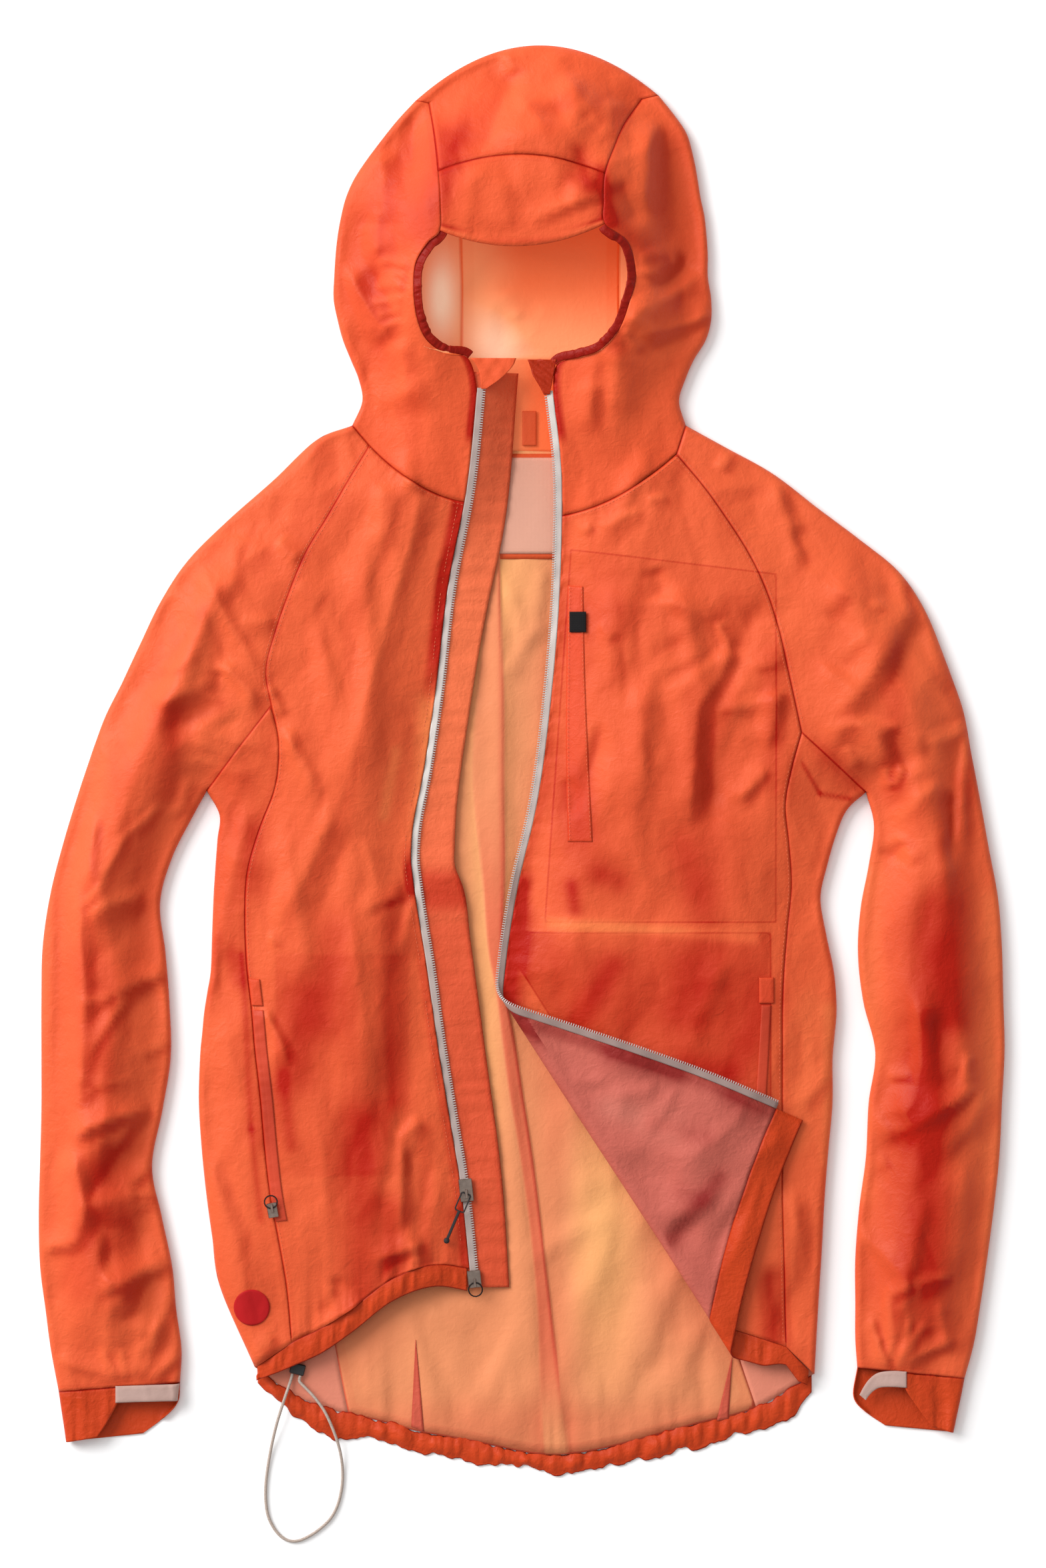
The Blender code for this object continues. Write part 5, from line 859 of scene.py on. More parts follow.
def cloth(name, points, numbers, slot, outer, inner=None, nodes=None, up=True, thick=0.42,
          held="laid", probe=(0, 0)):
    """A sheet of cloth from a grid of points in millimetres.

    It replaces the node that has its name without _cloth, unless nodes says otherwise.
    up tells whether the cell at probe faces up; the wall grows inwards from the points.
    """
    rows, cols = points.shape[:2]
    n = np.arange(rows * cols).reshape(rows, cols)
    quads = np.stack([n[:-1, :-1], n[1:, :-1], n[1:, 1:], n[:-1, 1:]], -1).reshape(-1, 4)
    i, j = probe
    facing = np.cross(points[i + 1, j] - points[i, j], points[i, j + 1] - points[i, j])[2]
    if (facing > 0) != up:
        quads = quads[:, ::-1]
    mesh = smooth_mesh(name, points.reshape(-1, 3) * MM, quads.tolist())
    step_u = np.linalg.norm(np.diff(points, axis=1), axis=2)
    step_v = np.linalg.norm(np.diff(points, axis=0), axis=2)
    u = np.concatenate([np.zeros((rows, 1)), np.cumsum(step_u, 1)], 1) * MM
    v = np.concatenate([np.zeros((1, cols)), np.cumsum(step_v, 0)], 0) * MM
    flat = np.stack([u.ravel(), v.ravel()], 1)[quads.ravel()]
    mesh.uv_layers.new(name="cloth").uv.foreach_set("vector", flat.astype(np.float32).ravel())
    for key, values in numbers.items():
        layer = mesh.attributes.new(key, "FLOAT", "POINT")
        layer.data.foreach_set("value", np.asarray(values, np.float32).ravel())
    obj = linked(name, mesh)
    mesh.materials.append(outer)
    mesh.materials.append(inner or outer)
    wall = obj.modifiers.new("Wall", "SOLIDIFY")
    wall.thickness = thick * MM
    wall.offset = -1.0
    wall.material_offset = 1
    nodes = [name.removesuffix("_cloth")] if nodes is None else nodes
    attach(obj, "jacket")
    if nodes:
        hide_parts(*nodes)
    width, length = float(u[:, -1].max()), float(v[-1].max())
    d1 = points[1:, 1:] - points[:-1, :-1]
    d2 = points[1:, :-1] - points[:-1, 1:]
    area = float(np.linalg.norm(np.cross(d1, d2), axis=2).sum() / 2) * MM * MM
    area = float(np.clip(area, LEAST_SHARE * width * length, width * length))
    width, length = max(width, LEAST_SIDE), max(length, LEAST_SIDE)
    print(f"{name}: {rows} x {cols} points, cut {width * 1000:.0f} x {length * 1000:.0f} mm,"
          f" {area * 1e4:.0f} cm2")

# %% [markdown]
# ## Materials
#
# The cloth is coated ripstop nylon: a strong orange, glossier on its crests, redder where two
# layers lie on each other, and peach on its inside. Photographs of cloth could be wrapped on,
# but node textures stay sharp at any size. Two effects serve every cloth, so they are node
# groups: one mixes the colour, the other gives the height of weave and crinkle.

# %% Node helpers
LIGHT_LEVEL = 1.27


def fill(tree, node, **inputs):
    """Sets the sockets of a node, or joins them to another socket; i6 is its socket number 6."""
    for key, value in inputs.items():
        numbered = key[0] == "i" and key[1:].isdigit()
        socket = node.inputs[int(key[1:]) if numbered else key.replace("_", " ")]
        if isinstance(value, bpy.types.NodeSocket):
            tree.links.new(value, socket)
        else:
            socket.default_value = value


def put(tree, kind, settings=None, **inputs):
    """Adds a shader node and sets its options and its sockets."""
    made = tree.nodes.new("ShaderNode" + kind)
    for key, value in (settings or {}).items():
        setattr(made, key, value)
    fill(tree, made, **inputs)
    return made


def calc(tree, operation, *values, clamp=False):
    """The result of one sum on sockets or numbers."""
    sockets = {f"i{k}": value for k, value in enumerate(values)}
    return put(tree, "Math", {"operation": operation, "use_clamp": clamp}, **sockets).outputs[0]


def mask(tree, value, low, high, top=1.0):
    """A soft step of a value: 0 at low and top at high."""
    return put(tree, "MapRange", {"interpolation_type": "SMOOTHSTEP"}, Value=value, From_Min=low,
               From_Max=high, To_Max=top).outputs[0]


def ranged(tree, value, low, high, to_low, to_high):
    """A value from low to high brought to the range from to_low to to_high."""
    return put(tree, "MapRange", Value=value, From_Min=low, From_Max=high, To_Min=to_low,
               To_Max=to_high).outputs[0]


def mixed(tree, share, first, second):
    """The colour at a share of the way from a first to a second one."""
    return put(tree, "Mix", {"data_type": "RGBA"}, Factor=share, i6=first, i7=second).outputs[2]


def group(name, sockets_in, sockets_out):
    """A new shader node group with named inputs (kind, default) and named outputs (kind)."""
    tree = bpy.data.node_groups.new(name, "ShaderNodeTree")
    for key, (kind, default) in sockets_in.items():
        socket = tree.interface.new_socket(key, in_out="INPUT", socket_type="NodeSocket" + kind)
        if default is not None:
            socket.default_value = default
    for key, kind in sockets_out.items():
        tree.interface.new_socket(key, in_out="OUTPUT", socket_type="NodeSocket" + kind)
    return tree, tree.nodes.new("NodeGroupInput").outputs, tree.nodes.new("NodeGroupOutput")


def material_start(name):
    """A new material, with its tree, its Principled shader and the place in Object coordinates."""
    material = bpy.data.materials.new(name)
    material.use_nodes = True
    tree = material.node_tree
    place = put(tree, "TexCoord").outputs["Object"]
    return material, tree, tree.nodes["Principled BSDF"], place


def linear(r, g, b):
    """The linear colour of a surface that looks (r, g, b) on the screen under this light."""
    s = np.array([r, g, b]) / 255.0
    light = np.where(s <= 0.04045, s / 12.92, ((s + 0.055) / 1.055) ** 2.4) / LIGHT_LEVEL
    return (*light.tolist(), 1.0)


print("white:", linear(255, 255, 255))

# %% [markdown]
# ## Colour of coated nylon
#
# The cloth is redder in patches, along its seams and round a pocket bag. Its tone at each point
# comes from the strokes of painted shade and painted light, and from painted shade and highlight
# on the flanks of the folds. The redder amounts add up to one that mixes two reds, so the deep one
# is also a painted shade; a positive tone mixes in a paler warm colour, a painted light.

# %% Colour of coated nylon
tree, given, result = group(
    "nylon_tint",
    {"Light": ("Color", (0.8, 0.1, 0.02, 1)), "Deep": ("Color", (0.6, 0.05, 0.01, 1)),
     "Warm": ("Color", (0.8, 0.3, 0.1, 1)), "Vector": ("Vector", None),
     "Patchy": ("Float", 0.3), "Seam": ("Float", 0.5), "Bag": ("Float", 0.5)},
    {"Color": "Color", "Mask": "Float"})
bag, edge, tone = (put(tree, "Attribute", {"attribute_name": key}).outputs["Fac"]
                   for key in ("bag", "edge", "tone"))
cloud = put(tree, "TexNoise", Vector=given["Vector"], Scale=14.0, Detail=4.0).outputs["Fac"]
patches = calc(tree, "MULTIPLY", cloud, given["Patchy"])
bag_rim = calc(tree, "MULTIPLY", mask(tree, calc(tree, "ABSOLUTE", bag), 1.1, 0.2), given["Bag"])
groove, margin = mask(tree, edge, 1.0, 0.25), mask(tree, edge, 5.2, 4.2, 0.16)
seam = calc(tree, "MULTIPLY", calc(tree, "MULTIPLY_ADD", groove, 1.2, margin), given["Seam"])
# A negative tone is painted shade and a positive one painted light: Deep is the shaded copy of the
# colour and Warm the lit copy. Patches, seams and bag rims are the cloth's own colour.
dark = calc(tree, "MULTIPLY", tone, -1.0, clamp=True)
warm = calc(tree, "MULTIPLY", tone, 1.0, clamp=True)
marks = calc(tree, "ADD", calc(tree, "ADD", patches, bag_rim), seam)
deep = calc(tree, "ADD", marks, dark, clamp=True)
colour = mixed(tree, warm, mixed(tree, deep, given["Light"], given["Deep"]), given["Warm"])
fill(tree, result, Color=colour, Mask=deep)
tint_tree = tree
print("nodes in nylon_tint:", len(tree.nodes))

# %% [markdown]
# ## Weave and crinkle
#
# Ripstop cloth has thicker threads in a grid, and a coated cloth crinkles in small flat cells.
# An image of a weave would blur close up; waves in both directions of the cloth's own map give
# the threads, and cells and creases of noise give the crinkle.

# %% Weave and crinkle
tree, given, result = group(
    "nylon_relief",
    {"Vector": ("Vector", None), "Cloth": ("Vector", None), "Crinkle": ("Float", 1.0),
     "Weave": ("Float", 1.0), "Grid": ("Float", 190.0)},
    {"Height": "Float", "Rough": "Float"})
creases = []
for scale, share in ((75.0, 0.55), (190.0, 0.28), (420.0, 0.12)):
    grain = put(tree, "TexNoise", {"normalize": False}, Vector=given["Vector"], Scale=scale,
                Detail=2.0, Distortion=0.4).outputs["Fac"]
    creases.append(calc(tree, "MULTIPLY", calc(tree, "ABSOLUTE", grain), -share))
creased = calc(tree, "ADD", calc(tree, "ADD", creases[0], creases[1]), creases[2])
crinkled = calc(tree, "MULTIPLY", creased, given["Crinkle"])
threads = [put(tree, "TexWave", {"bands_direction": direction}, Vector=given["Cloth"],
               Scale=given["Grid"], Distortion=0.6).outputs["Fac"] for direction in ("X", "Y")]
woven = calc(tree, "POWER", calc(tree, "MAXIMUM", *threads), 6.0)
fine = calc(tree, "MULTIPLY_ADD", calc(tree, "MULTIPLY", woven, given["Weave"]), 0.02, crinkled)
bent = put(tree, "TexNoise", Vector=given["Vector"], Scale=30.0, Detail=2.0).outputs["Color"]
bent_by = put(tree, "VectorMath", {"operation": "SCALE"}, i0=bent, Scale=0.022).outputs[0]
moved = put(tree, "VectorMath", {"operation": "ADD"}, i0=given["Vector"], i1=bent_by).outputs[0]
cell = put(tree, "TexVoronoi", Vector=moved, Scale=34.0).outputs["Distance"]
where = put(tree, "TexNoise", Vector=given["Vector"], Scale=11.0, Detail=1.0).outputs["Fac"]
share = ranged(tree, where, 0.4, 0.65, 0.4, 2.4)
cells = calc(tree, "MULTIPLY", calc(tree, "MULTIPLY", cell, share), given["Crinkle"])
gloss = put(tree, "TexNoise", Vector=given["Vector"], Scale=38.0, Detail=5.0).outputs["Fac"]
fill(tree, result, Height=calc(tree, "ADD", fine, cells), Rough=gloss)
relief_tree = tree
print("nodes in nylon_relief:", len(tree.nodes))

# %% [markdown]
# ## Cloths
#
# Shell, hood, lining and bands are the same nylon in other colours, so one function makes them.
# Each colour is given as it looks on the screen.

# %% Cloth materials


def nylon(name, light, deep, warm=None, patchy=0.3, seam=0.5, bag=0.6, rough=(0.4, 0.58),
          sheen=0.015, crinkle=1.0, weave=1.0, bump=0.5, grid=190.0, glow=0.0):
    """A cloth material: colours as screen values, the rest as amounts for the two groups.

    glow stands in for the light that comes through thin cloth from behind; only the lining of
    the hood has it.
    """
    material, tree, shader, place = material_start(name)
    flat_map = put(tree, "UVMap", {"uv_map": "cloth"}).outputs["UV"]
    colour = put(tree, "Group", {"node_tree": tint_tree}, Vector=place, Light=linear(*light),
                 Deep=linear(*deep), Warm=linear(*(warm or light)), Patchy=patchy, Seam=seam,
                 Bag=bag).outputs["Color"]
    surface = put(tree, "Group", {"node_tree": relief_tree}, Vector=place, Cloth=flat_map,
                  Crinkle=crinkle, Weave=weave, Grid=grid).outputs
    normal = put(tree, "Bump", Strength=bump, Distance=0.0011, Height=surface["Height"])
    fill(tree, shader, Base_Color=colour, Normal=normal.outputs["Normal"],
         Roughness=ranged(tree, surface["Rough"], 0.3, 0.7, *rough), Sheen_Weight=sheen,
         Sheen_Roughness=0.45, Sheen_Tint=(1.0, 0.82, 0.7, 1), Specular_IOR_Level=0.12)
    if glow:
        fill(tree, shader, Emission_Color=colour, Emission_Strength=glow)
    return material


shell_cloth = nylon("shell_cloth", (242, 104, 60), (184, 26, 6), (250, 134, 76), bag=0.35)
hood_cloth = nylon("hood_cloth", (244, 100, 56), (184, 26, 6), (250, 128, 76), bag=0.0)
double_cloth = nylon("double_cloth", (216, 74, 30), (150, 20, 6), (236, 104, 52), crinkle=1.5)
SOFT = dict(rough=(0.5, 0.7), crinkle=0.8, bump=0.4)
lining_cloth = nylon("lining_cloth", (240, 154, 104), (220, 92, 66), (255, 192, 118), 0.25, **SOFT)
side_lining = nylon("side_lining", (234, 146, 120), (212, 92, 66), (250, 180, 140), 0.25, **SOFT)
# The hood's inside is paler than the shell and glows a little: painted light that stands in for
# light coming through the thin hood.
hood_lining = nylon("hood_lining", (246, 158, 108), (232, 94, 44), (255, 222, 190), 0.18, glow=0.32,
                    **SOFT)
flap_lining = nylon("flap_lining", (214, 112, 96), (146, 40, 36), (228, 144, 124), patchy=0.4,
                    rough=(0.45, 0.62), crinkle=1.2)
storm_cloth = nylon("storm_cloth", (244, 112, 70), (196, 44, 20), (250, 140, 88), crinkle=1.2)
dart_cloth = nylon("dart_cloth", (222, 102, 78), (176, 52, 40), patchy=0.2, seam=0.7)
print("cloth materials:", len(bpy.data.materials))

# %% [markdown]
# ## Skins
#
# `upper_skin` gives the points of any panel that faces the camera, and `lower_skin` those of
# the underside, which rests on the surface. They share the arc at the outline, so the cloth
# turns round there without a gap.

# %% Upper and lower skin
# Each pocket bag as its sides: a point on the side and the direction into the bag.
BAGS = [
    [(26, 0, 0.9975, -0.07), (190, 0, -1, 0), (0, -122, 0, 1), (33, 157, -0.12, -0.993)],
    [(0, -130, 0, -1), (0, -306, 0, 1), (186, 0, -1, 0), (4, -165, 0.8458, 0.5335)],
    [(-184, 0, 1, 0), (-84, 0, -1, 0), (0, -312, 0, 1), (0, -146, 0, -1)],
]
BAG_TONES = (-0.10, -0.42, -0.16)
# Painted shade on the flank of each fold that faces away from the light, and a painted highlight on
# the flank that faces it.
FLANK_SHADE, FLANK_HIGHLIGHT = 0.32, 0.1
ARC = np.array([0, 0.02, 0.08, 0.18, 0.32, 0.5, 0.74, 1.0])


def strokes(x, y, table):
    """Soft strokes of tone: amount times a bell of the distance to the line of each row."""
    total = np.zeros(np.shape(x))
    for x0, y0, x1, y1, width, amount in table:
        total = total + amount * bell(nearest(x, y, [[(x0, y0), (x1, y1)]])[0] / width)
    return total


def skin_shade_and_tone(x, y, table):
    """Tone of the upper skin: strokes, redder zones over the pocket bags, and the folds' flanks."""
    total = strokes(x, y, SHADE_STROKES)
    for bag, amount in zip(BAGS, BAG_TONES):
        total = total + amount * smooth((bag_depth(x, y, [bag]) + 1.5) / 3)
    # Painted shade where a fold faces away from the light, a painted highlight where it faces it.
    side = flank(x, y, table)
    total = np.clip(total, -1, 1) - FLANK_SHADE * np.clip(side, 0, 1)
    return total + FLANK_HIGHLIGHT * np.clip(-side, 0, 1)


def upper_skin(x, y, table=BODY_FOLDS, big=1.0, lift=0.0, bags=BAGS):
    """Points of the upper skin, and the numbers that its material reads."""
    d = nearest(x, y, OUTLINE)[0]
    edge, run = nearest(x, y, SEAMS)
    z = height(x, y, d) + relief(x, y, table, d, big) + drawn_in(edge, run) * smooth(d / 5) + lift
    numbers = {"edge": edge, "bag": bag_depth(x, y, bags), "tone": skin_shade_and_tone(x, y, table)}
    return np.stack([x, y, z], -1), numbers


def lower_skin(x, y, table=None, rise=0.0):
    """Points of the lower skin: the arc down from the outline, then flat with low wrinkles."""
    d = nearest(x, y, OUTLINE)[0]
    wrinkle = 0.5 + 0.5 * noise(x / 24, y / 30, 5)
    if table is not None:
        wrinkle = wrinkle + np.clip(fold_sum(x, y, table), 0, None)
    z = EDGE_R - arc(d) + smooth((d - 4) / 14) * wrinkle + rise
    return np.stack([x, y, z], -1), plain_numbers(x)


def joined(first, second, axis=1):
    """Two halves of a panel as one grid, without the doubled line at the outline between them.

    On that line both halves are set to the middle height of the arc, which is its radius.
    """
    last = (slice(None), -1) if axis == 1 else (-1, slice(None))
    start = (slice(None), 0) if axis == 1 else (0, slice(None))
    cut = (slice(None), slice(1, None)) if axis == 1 else (slice(1, None), slice(None))
    first[0][last + (2,)] = EDGE_R
    second[0][start + (2,)] = EDGE_R
    points = np.concatenate([first[0], second[0][cut]], axis)
    return points, {k: np.concatenate([first[1][k], second[1][k][cut]], axis) for k in first[1]}


def between(starts, ends, shares, bows=None):
    """Rows of x and y between two lists of end points, bowed across by 4 s (1 - s)."""
    shares = np.asarray(shares, float)
    if shares.ndim == 1:
        shares = np.tile(shares, (len(starts), 1))
    x = starts[:, :1] + (ends[:, :1] - starts[:, :1]) * shares
    y = starts[:, 1:2] + (ends[:, 1:2] - starts[:, 1:2]) * shares
    if bows is not None:
        y = y + np.asarray(bows)[:, None] * 4 * shares * (1 - shares)
    return x, y


def near_fold(starts, ends, limit):
    """The first shares of rows that start on the outline, dense over its arc."""
    size = np.linalg.norm(ends - starts, axis=1)
    return ARC[None, :] * np.minimum(EDGE_R, size * limit)[:, None] / size[:, None]


def from_fold(fold, ends, inner, bows=None):
    """Rows from the outline to a seam: dense over the arc, then even."""
    near = near_fold(fold, ends, 0.45)
    rest = near[:, -1:] + (1 - near[:, -1:]) * np.linspace(0, 1, inner + 1)[None, 1:]
    return between(fold, ends, np.concatenate([near, rest], 1), bows)


def to_fold(starts, fold, inner, bows=None):
    """Rows from a seam to the outline: even, then dense over the arc."""
    near = near_fold(fold, starts, 0.45)
    rest = near[:, -1:] + (1 - near[:, -1:]) * np.linspace(0, 1, inner + 1)[None, 1:]
    return between(starts, fold, (1 - np.concatenate([near, rest], 1))[:, ::-1], bows)


def fold_to_fold(starts, ends, inner):
    """Shares of rows from one outline fold to the other, dense over both arcs."""
    near = near_fold(starts, ends, 0.12)
    middle = near[:, -1:] + (1 - 2 * near[:, -1:]) * np.linspace(0, 1, inner)[None, 1:-1]
    return np.concatenate([near, middle, (1 - near)[:, ::-1]], 1)


def eased(values, line, share, row=-1):
    """Rows moved so that one of them lies on a line, the others by their share of the way."""
    return values + share[:, None] * (line - values[row])[None, :]


print("arc columns:", len(ARC))

# %% [markdown]
# ## Back
#
# The back lies on the surface. Its inside shows between the open zips, so the grid is fine there:
# long soft ridges that run down the middle, and gathers where the hem band draws it in.

# %% Back
BACK_RISE = 5.2
#  y  left  right: the pleat down the middle of the back
PLEAT = np.array([
    (300, -30, -20), (160, -26, -17), (90, -30, -15), (23, -36, -13), (-4, -37, -13),
    (-96, -29, -13), (-154, -23.5, -14), (-168, -20.5, -13), (-212, -14.6, -5.5),
    (-256, -8.7, 1.2), (-281, -4.3, 5.2), (-406, 11, 21), (-480, 14, 30), (-540, 18, 36),
], float)
back_right, back_left = (finer(side.back_seam, H, (7,)) for side in (right, left))
row_at = np.arange(len(back_right)) / H
wide = back_left[:, 0] - back_right[:, 0]
mid_y = (back_left[:, 1] + back_right[:, 1]) / 2
s1 = ((read(PLEAT, mid_y) - 3 - back_right[:, 0]) / wide)[:, None]
s2 = ((read(PLEAT, mid_y, 2) + 3 - back_right[:, 0]) / wide)[:, None]
shares = np.concatenate([s1 * np.linspace(0, 1, 46)[:-1],
                         s1 + (s2 - s1) * np.linspace(0, 1, 15)[:-1],
                         s2 + (1 - s2) * np.linspace(0, 1, 54)], 1)
sag = np.interp(row_at, (19, 20, 21, 22, 23), (0, -2, -8, -17, 0))
x, y = between(back_right, back_left, shares, sag)
y = eased(y, read(HEM_BACK, x[-1]), np.clip(row_at - 22, 0, 1))


def pleat_share(x, y):
    """1 on the pleat, 0 beside it, and the share of its width from its left edge."""
    low_x, high_x = read(PLEAT, y), read(PLEAT, y, 2)
    inside = smooth((x - low_x + 1) / 3) * smooth((high_x + 0.8 - x) / 1.6)
    return inside, np.clip((x - low_x) / (high_x - low_x), 0, 1)


def back_height(x, y):
    """Rise of the back above the surface: ridges, folds, crumple and the pleat."""
    rise = ridge_sum(x, y, BACK_CREASES) + np.clip(1.3 * fold_sum(x, y, BACK_FOLDS), -1, None)
    pleat, part = pleat_share(x, y)
    rise = rise + 0.9 * (crumple(x, y, 0.7) + 0.8) + pleat * (0.5 + 1.5 * part)
    hem_d = np.clip(y - np.interp(x, HEM_BACK[:, 0], HEM_BACK[:, 1]), 0, None)
    rise = rise + 1.3 * (0.8 + gathers(x, 31)) * np.exp(-hem_d / 30) * smooth(hem_d / 3)
    return BACK_RISE * np.tanh(np.clip(rise, 0, None) / BACK_RISE)


inside = smooth((x - x[:, :1]) / 20) * smooth((x[:, -1:] - x) / 20) * smooth((238 - y) / 26)
points, numbers = lower_skin(x, y, rise=back_height(x, y) * inside)
pleat, part = pleat_share(x, y)
# Light falls through the thin back: brighter at its lower middle, beside the pleat and at the neck.
bright = (0.55 * np.exp(-((x - 62) / 34) ** 2 - ((y + 350) / 95) ** 2)
          + 0.35 * bell((x + 26) / 14) * smooth((190 - y) / 60) * smooth((y + 330) / 90)
          + 0.3 * smooth((y - 60) / 80))
aside = (-0.3 * smooth((np.abs(x + 2) - 60) / 60) * smooth((y + 500) / 100)
         - 0.3 * bell((x - 26) / 16) - 0.3 * smooth((-470 - y) / 30))
shade = 0.15 + 0.5 * smooth((-20 - y) / 110) + 0.45 * smooth((part - 0.72) / 0.28)
numbers["tone"] = (bright + aside) * (1 - pleat) - pleat * shade * smooth((y + 520) / 90)
side_d = np.minimum(x - x[:, :1], x[:, -1:] - x)
numbers["edge"] = 0.6 * np.minimum(np.abs(y - y[-1]), side_d)
cloth("back_cloth", points, numbers, "back_inside", shell_cloth, lining_cloth, up=False)

# %% [markdown]
# ## Darts
#
# Two darts take in the back above its hem. A dart is a narrow triangle of doubled cloth, so a
# thin wedge laid over the back shows its two stitched sides.

# %% Darts of the back
for name, apex, base_a, base_b in (("dart_right", (-79.5, -434), (-82.8, -501), (-73.2, -504.5)),
                                   ("dart_left", (158, -447), (146.2, -496.5), (155.2, -495))):
    t = np.linspace(0.02, 1, 24)[:, None]
    share = np.linspace(0, 1, 5)[None, :]
    x, y = (apex[k] + t * (base_a[k] + (base_b[k] - base_a[k]) * share - apex[k]) for k in (0, 1))
    points, numbers = lower_skin(x, y, rise=back_height(x, y) + 0.9)
    numbers["edge"] = 0.6 + 1.5 * t * np.minimum(share, 1 - share)
    cloth(name + "_cloth", points, numbers, "back_inside", dart_cloth, nodes=[], thick=0.3)

# %% [markdown]
# ## Side panels
#
# Each side panel starts at the front side seam, turns round the outline and ends at the back
# side seam. It is one grid with dense columns over the turn.

# %% Side panels
for name, side in SIDES.items():
    seam, fold, back = side.front[7 * K:, 1:3], side.panel[:, :2], side.panel[:, 2:4]
    x, y = from_fold(fold, back, 18)
    hem = read(HEM_BACK, np.clip(x[-1], HEM_BACK[0, 0], HEM_BACK[-1, 0]))
    y = eased(y, hem, np.clip(np.arange(len(x)) / K - 15, 0, 1))
    points, numbers = joined(upper_skin(*to_fold(seam, fold, 20)), lower_skin(x, y))
    cloth(f"side_{name}_cloth", points, numbers, "shell", shell_cloth, side_lining)

# %% [markdown]
# ## Right front
#
# The right front runs from the zip to the side seam. Its hem is drawn in by the elastic cord.

# %% Right front
x, y = between(right.zip_edge, right.front[:, 1:3], np.linspace(0, 1, 98), right.front[:, 3])
y = eased(y, read(HEM_FRONT, x[-1]), np.clip(np.arange(len(x)) / K - 22, 0, 1))
hem_d = np.clip(y - y[-1][None, :], 0, None)
zip_d = np.clip(x[:, :1] - x, 0, None)
draw = 1.8 * gathers(x, 41) * np.exp(-hem_d / 18) * smooth(hem_d / 2)
draw = draw + 0.9 * gathers(y, 43) * np.exp(-zip_d / 7) * smooth(zip_d / 2)
points, numbers = upper_skin(x, y, lift=draw, bags=BAGS[:2])
# Painted shadow in a band beside the zip, where the panel's edge stands over the tape, deepened by
# the doubled placket: strongest towards the neck, lower down and at the zip's bend.
band = bell(zip_d / (6.5 + 3 * smooth((y - 30) / 30)), 6)
zip_shade = 0.9 * smooth((y - 20) / 70) + 0.4 * smooth((-125 - y) / 40) + 0.9 * bell((y + 86) / 15)
numbers["tone"] = numbers["tone"] - band * zip_shade
cloth("front_right_cloth", points, numbers, "shell", shell_cloth, lining_cloth)

# %% [markdown]
# ## Left front with its turned corner
#
# The lower corner of the left front is folded back, so its pale inside faces the camera.
# The panel is drawn as if it lay unfolded. Then every point past the fold line is carried over
# a roll and laid down on the front, which a plain height could not do.

# %% Left front
ROLL_START, ROLL_END, FOLD_LENGTH, FLAP_REST = 8.0, 4.6, 310.0, 2.0


def roll_radius(a):
    """Radius of the roll at a along the fold line."""
    return ROLL_START + (ROLL_END - ROLL_START) * smooth(a / FOLD_LENGTH)


def folded(px, py):
    """Where a point of the unfolded left front comes to lie.

    a runs along the fold line and s across it. Past the line the cloth turns by s over the
    roll's radius, up to half a turn, and then lies back over the front.
    """
    dx = px - FOLD_START[0]
    dy = py - FOLD_START[1]
    a = dx * FOLD_ALONG[0] + dy * FOLD_ALONG[1]
    s = dx * FOLD_ACROSS[0] + dy * FOLD_ACROSS[1]
    r = roll_radius(a)
    turn = np.clip(-s / r, 0.0, math.pi)
    past = np.clip(-s - math.pi * r, 0.0, None)
    g = np.where(s > 0, s, -r * np.sin(turn) + past)
    rest = FLAP_REST + (2 * r - FLAP_REST) * bell(past / 34.0, 1.4)
    lift = np.where(past > 0, rest, r * (1 - np.cos(turn)))
    x = FOLD_START[0] + a * FOLD_ALONG[0] + g * FOLD_ACROSS[0]
    y = FOLD_START[1] + a * FOLD_ALONG[1] + g * FOLD_ACROSS[1]
    wave = 1.6 * smooth((past - 12) / 30) * (1 + np.sin(a / 15.0 + 0.03 * past))
    d = nearest(x, y, OUTLINE)[0]
    z = height(x, y, d) + lift + wave
    edge, run = nearest(px, py, SEAMS)
    is_open, is_flap = smooth(s / 12), smooth((past + 4) / 16)
    open_side = relief(x, y, BODY_FOLDS, d) + drawn_in(edge, run) * smooth(d / 5)
    flap_side = fold_sum(x, y, FLAP_FOLDS) + 0.8 * crumple(x, y)
    z = z + open_side * is_open + flap_side * is_flap
    z = z + 0.5 * crumple(x, y) * (1 - is_open) * (1 - is_flap) * smooth((a + 10) / 20)
    return np.stack([x, y, z], -1), {"edge": edge, "past": past, "s": s}


def left_shares(edge, seam, flap=26, roll=14, main=70):
    """Column shares of the left front: the turned corner, the roll and the open part."""
    size = np.linalg.norm(seam - edge, axis=1)
    s0 = (edge - FOLD_START) @ FOLD_ACROSS
    s1 = (seam - FOLD_START) @ FOLD_ACROSS
    cross = (0 - s0) / (s1 - s0)
    a = (edge + (seam - edge) * np.clip(cross, 0, 1)[:, None] - FOLD_START) @ FOLD_ALONG
    f1 = np.maximum((-math.pi * roll_radius(a) - s0) / (s1 - s0), 8.0 / size)[:, None]
    f2 = np.maximum(cross[:, None], f1 + 20.0 / size[:, None])
    return np.concatenate([f1 * np.linspace(0, 1, flap + 1)[:-1],
                           f1 + (f2 - f1) * np.linspace(0, 1, roll + 1)[:-1],
                           f2 + (1 - f2) * np.linspace(0, 1, main + 1)], 1)


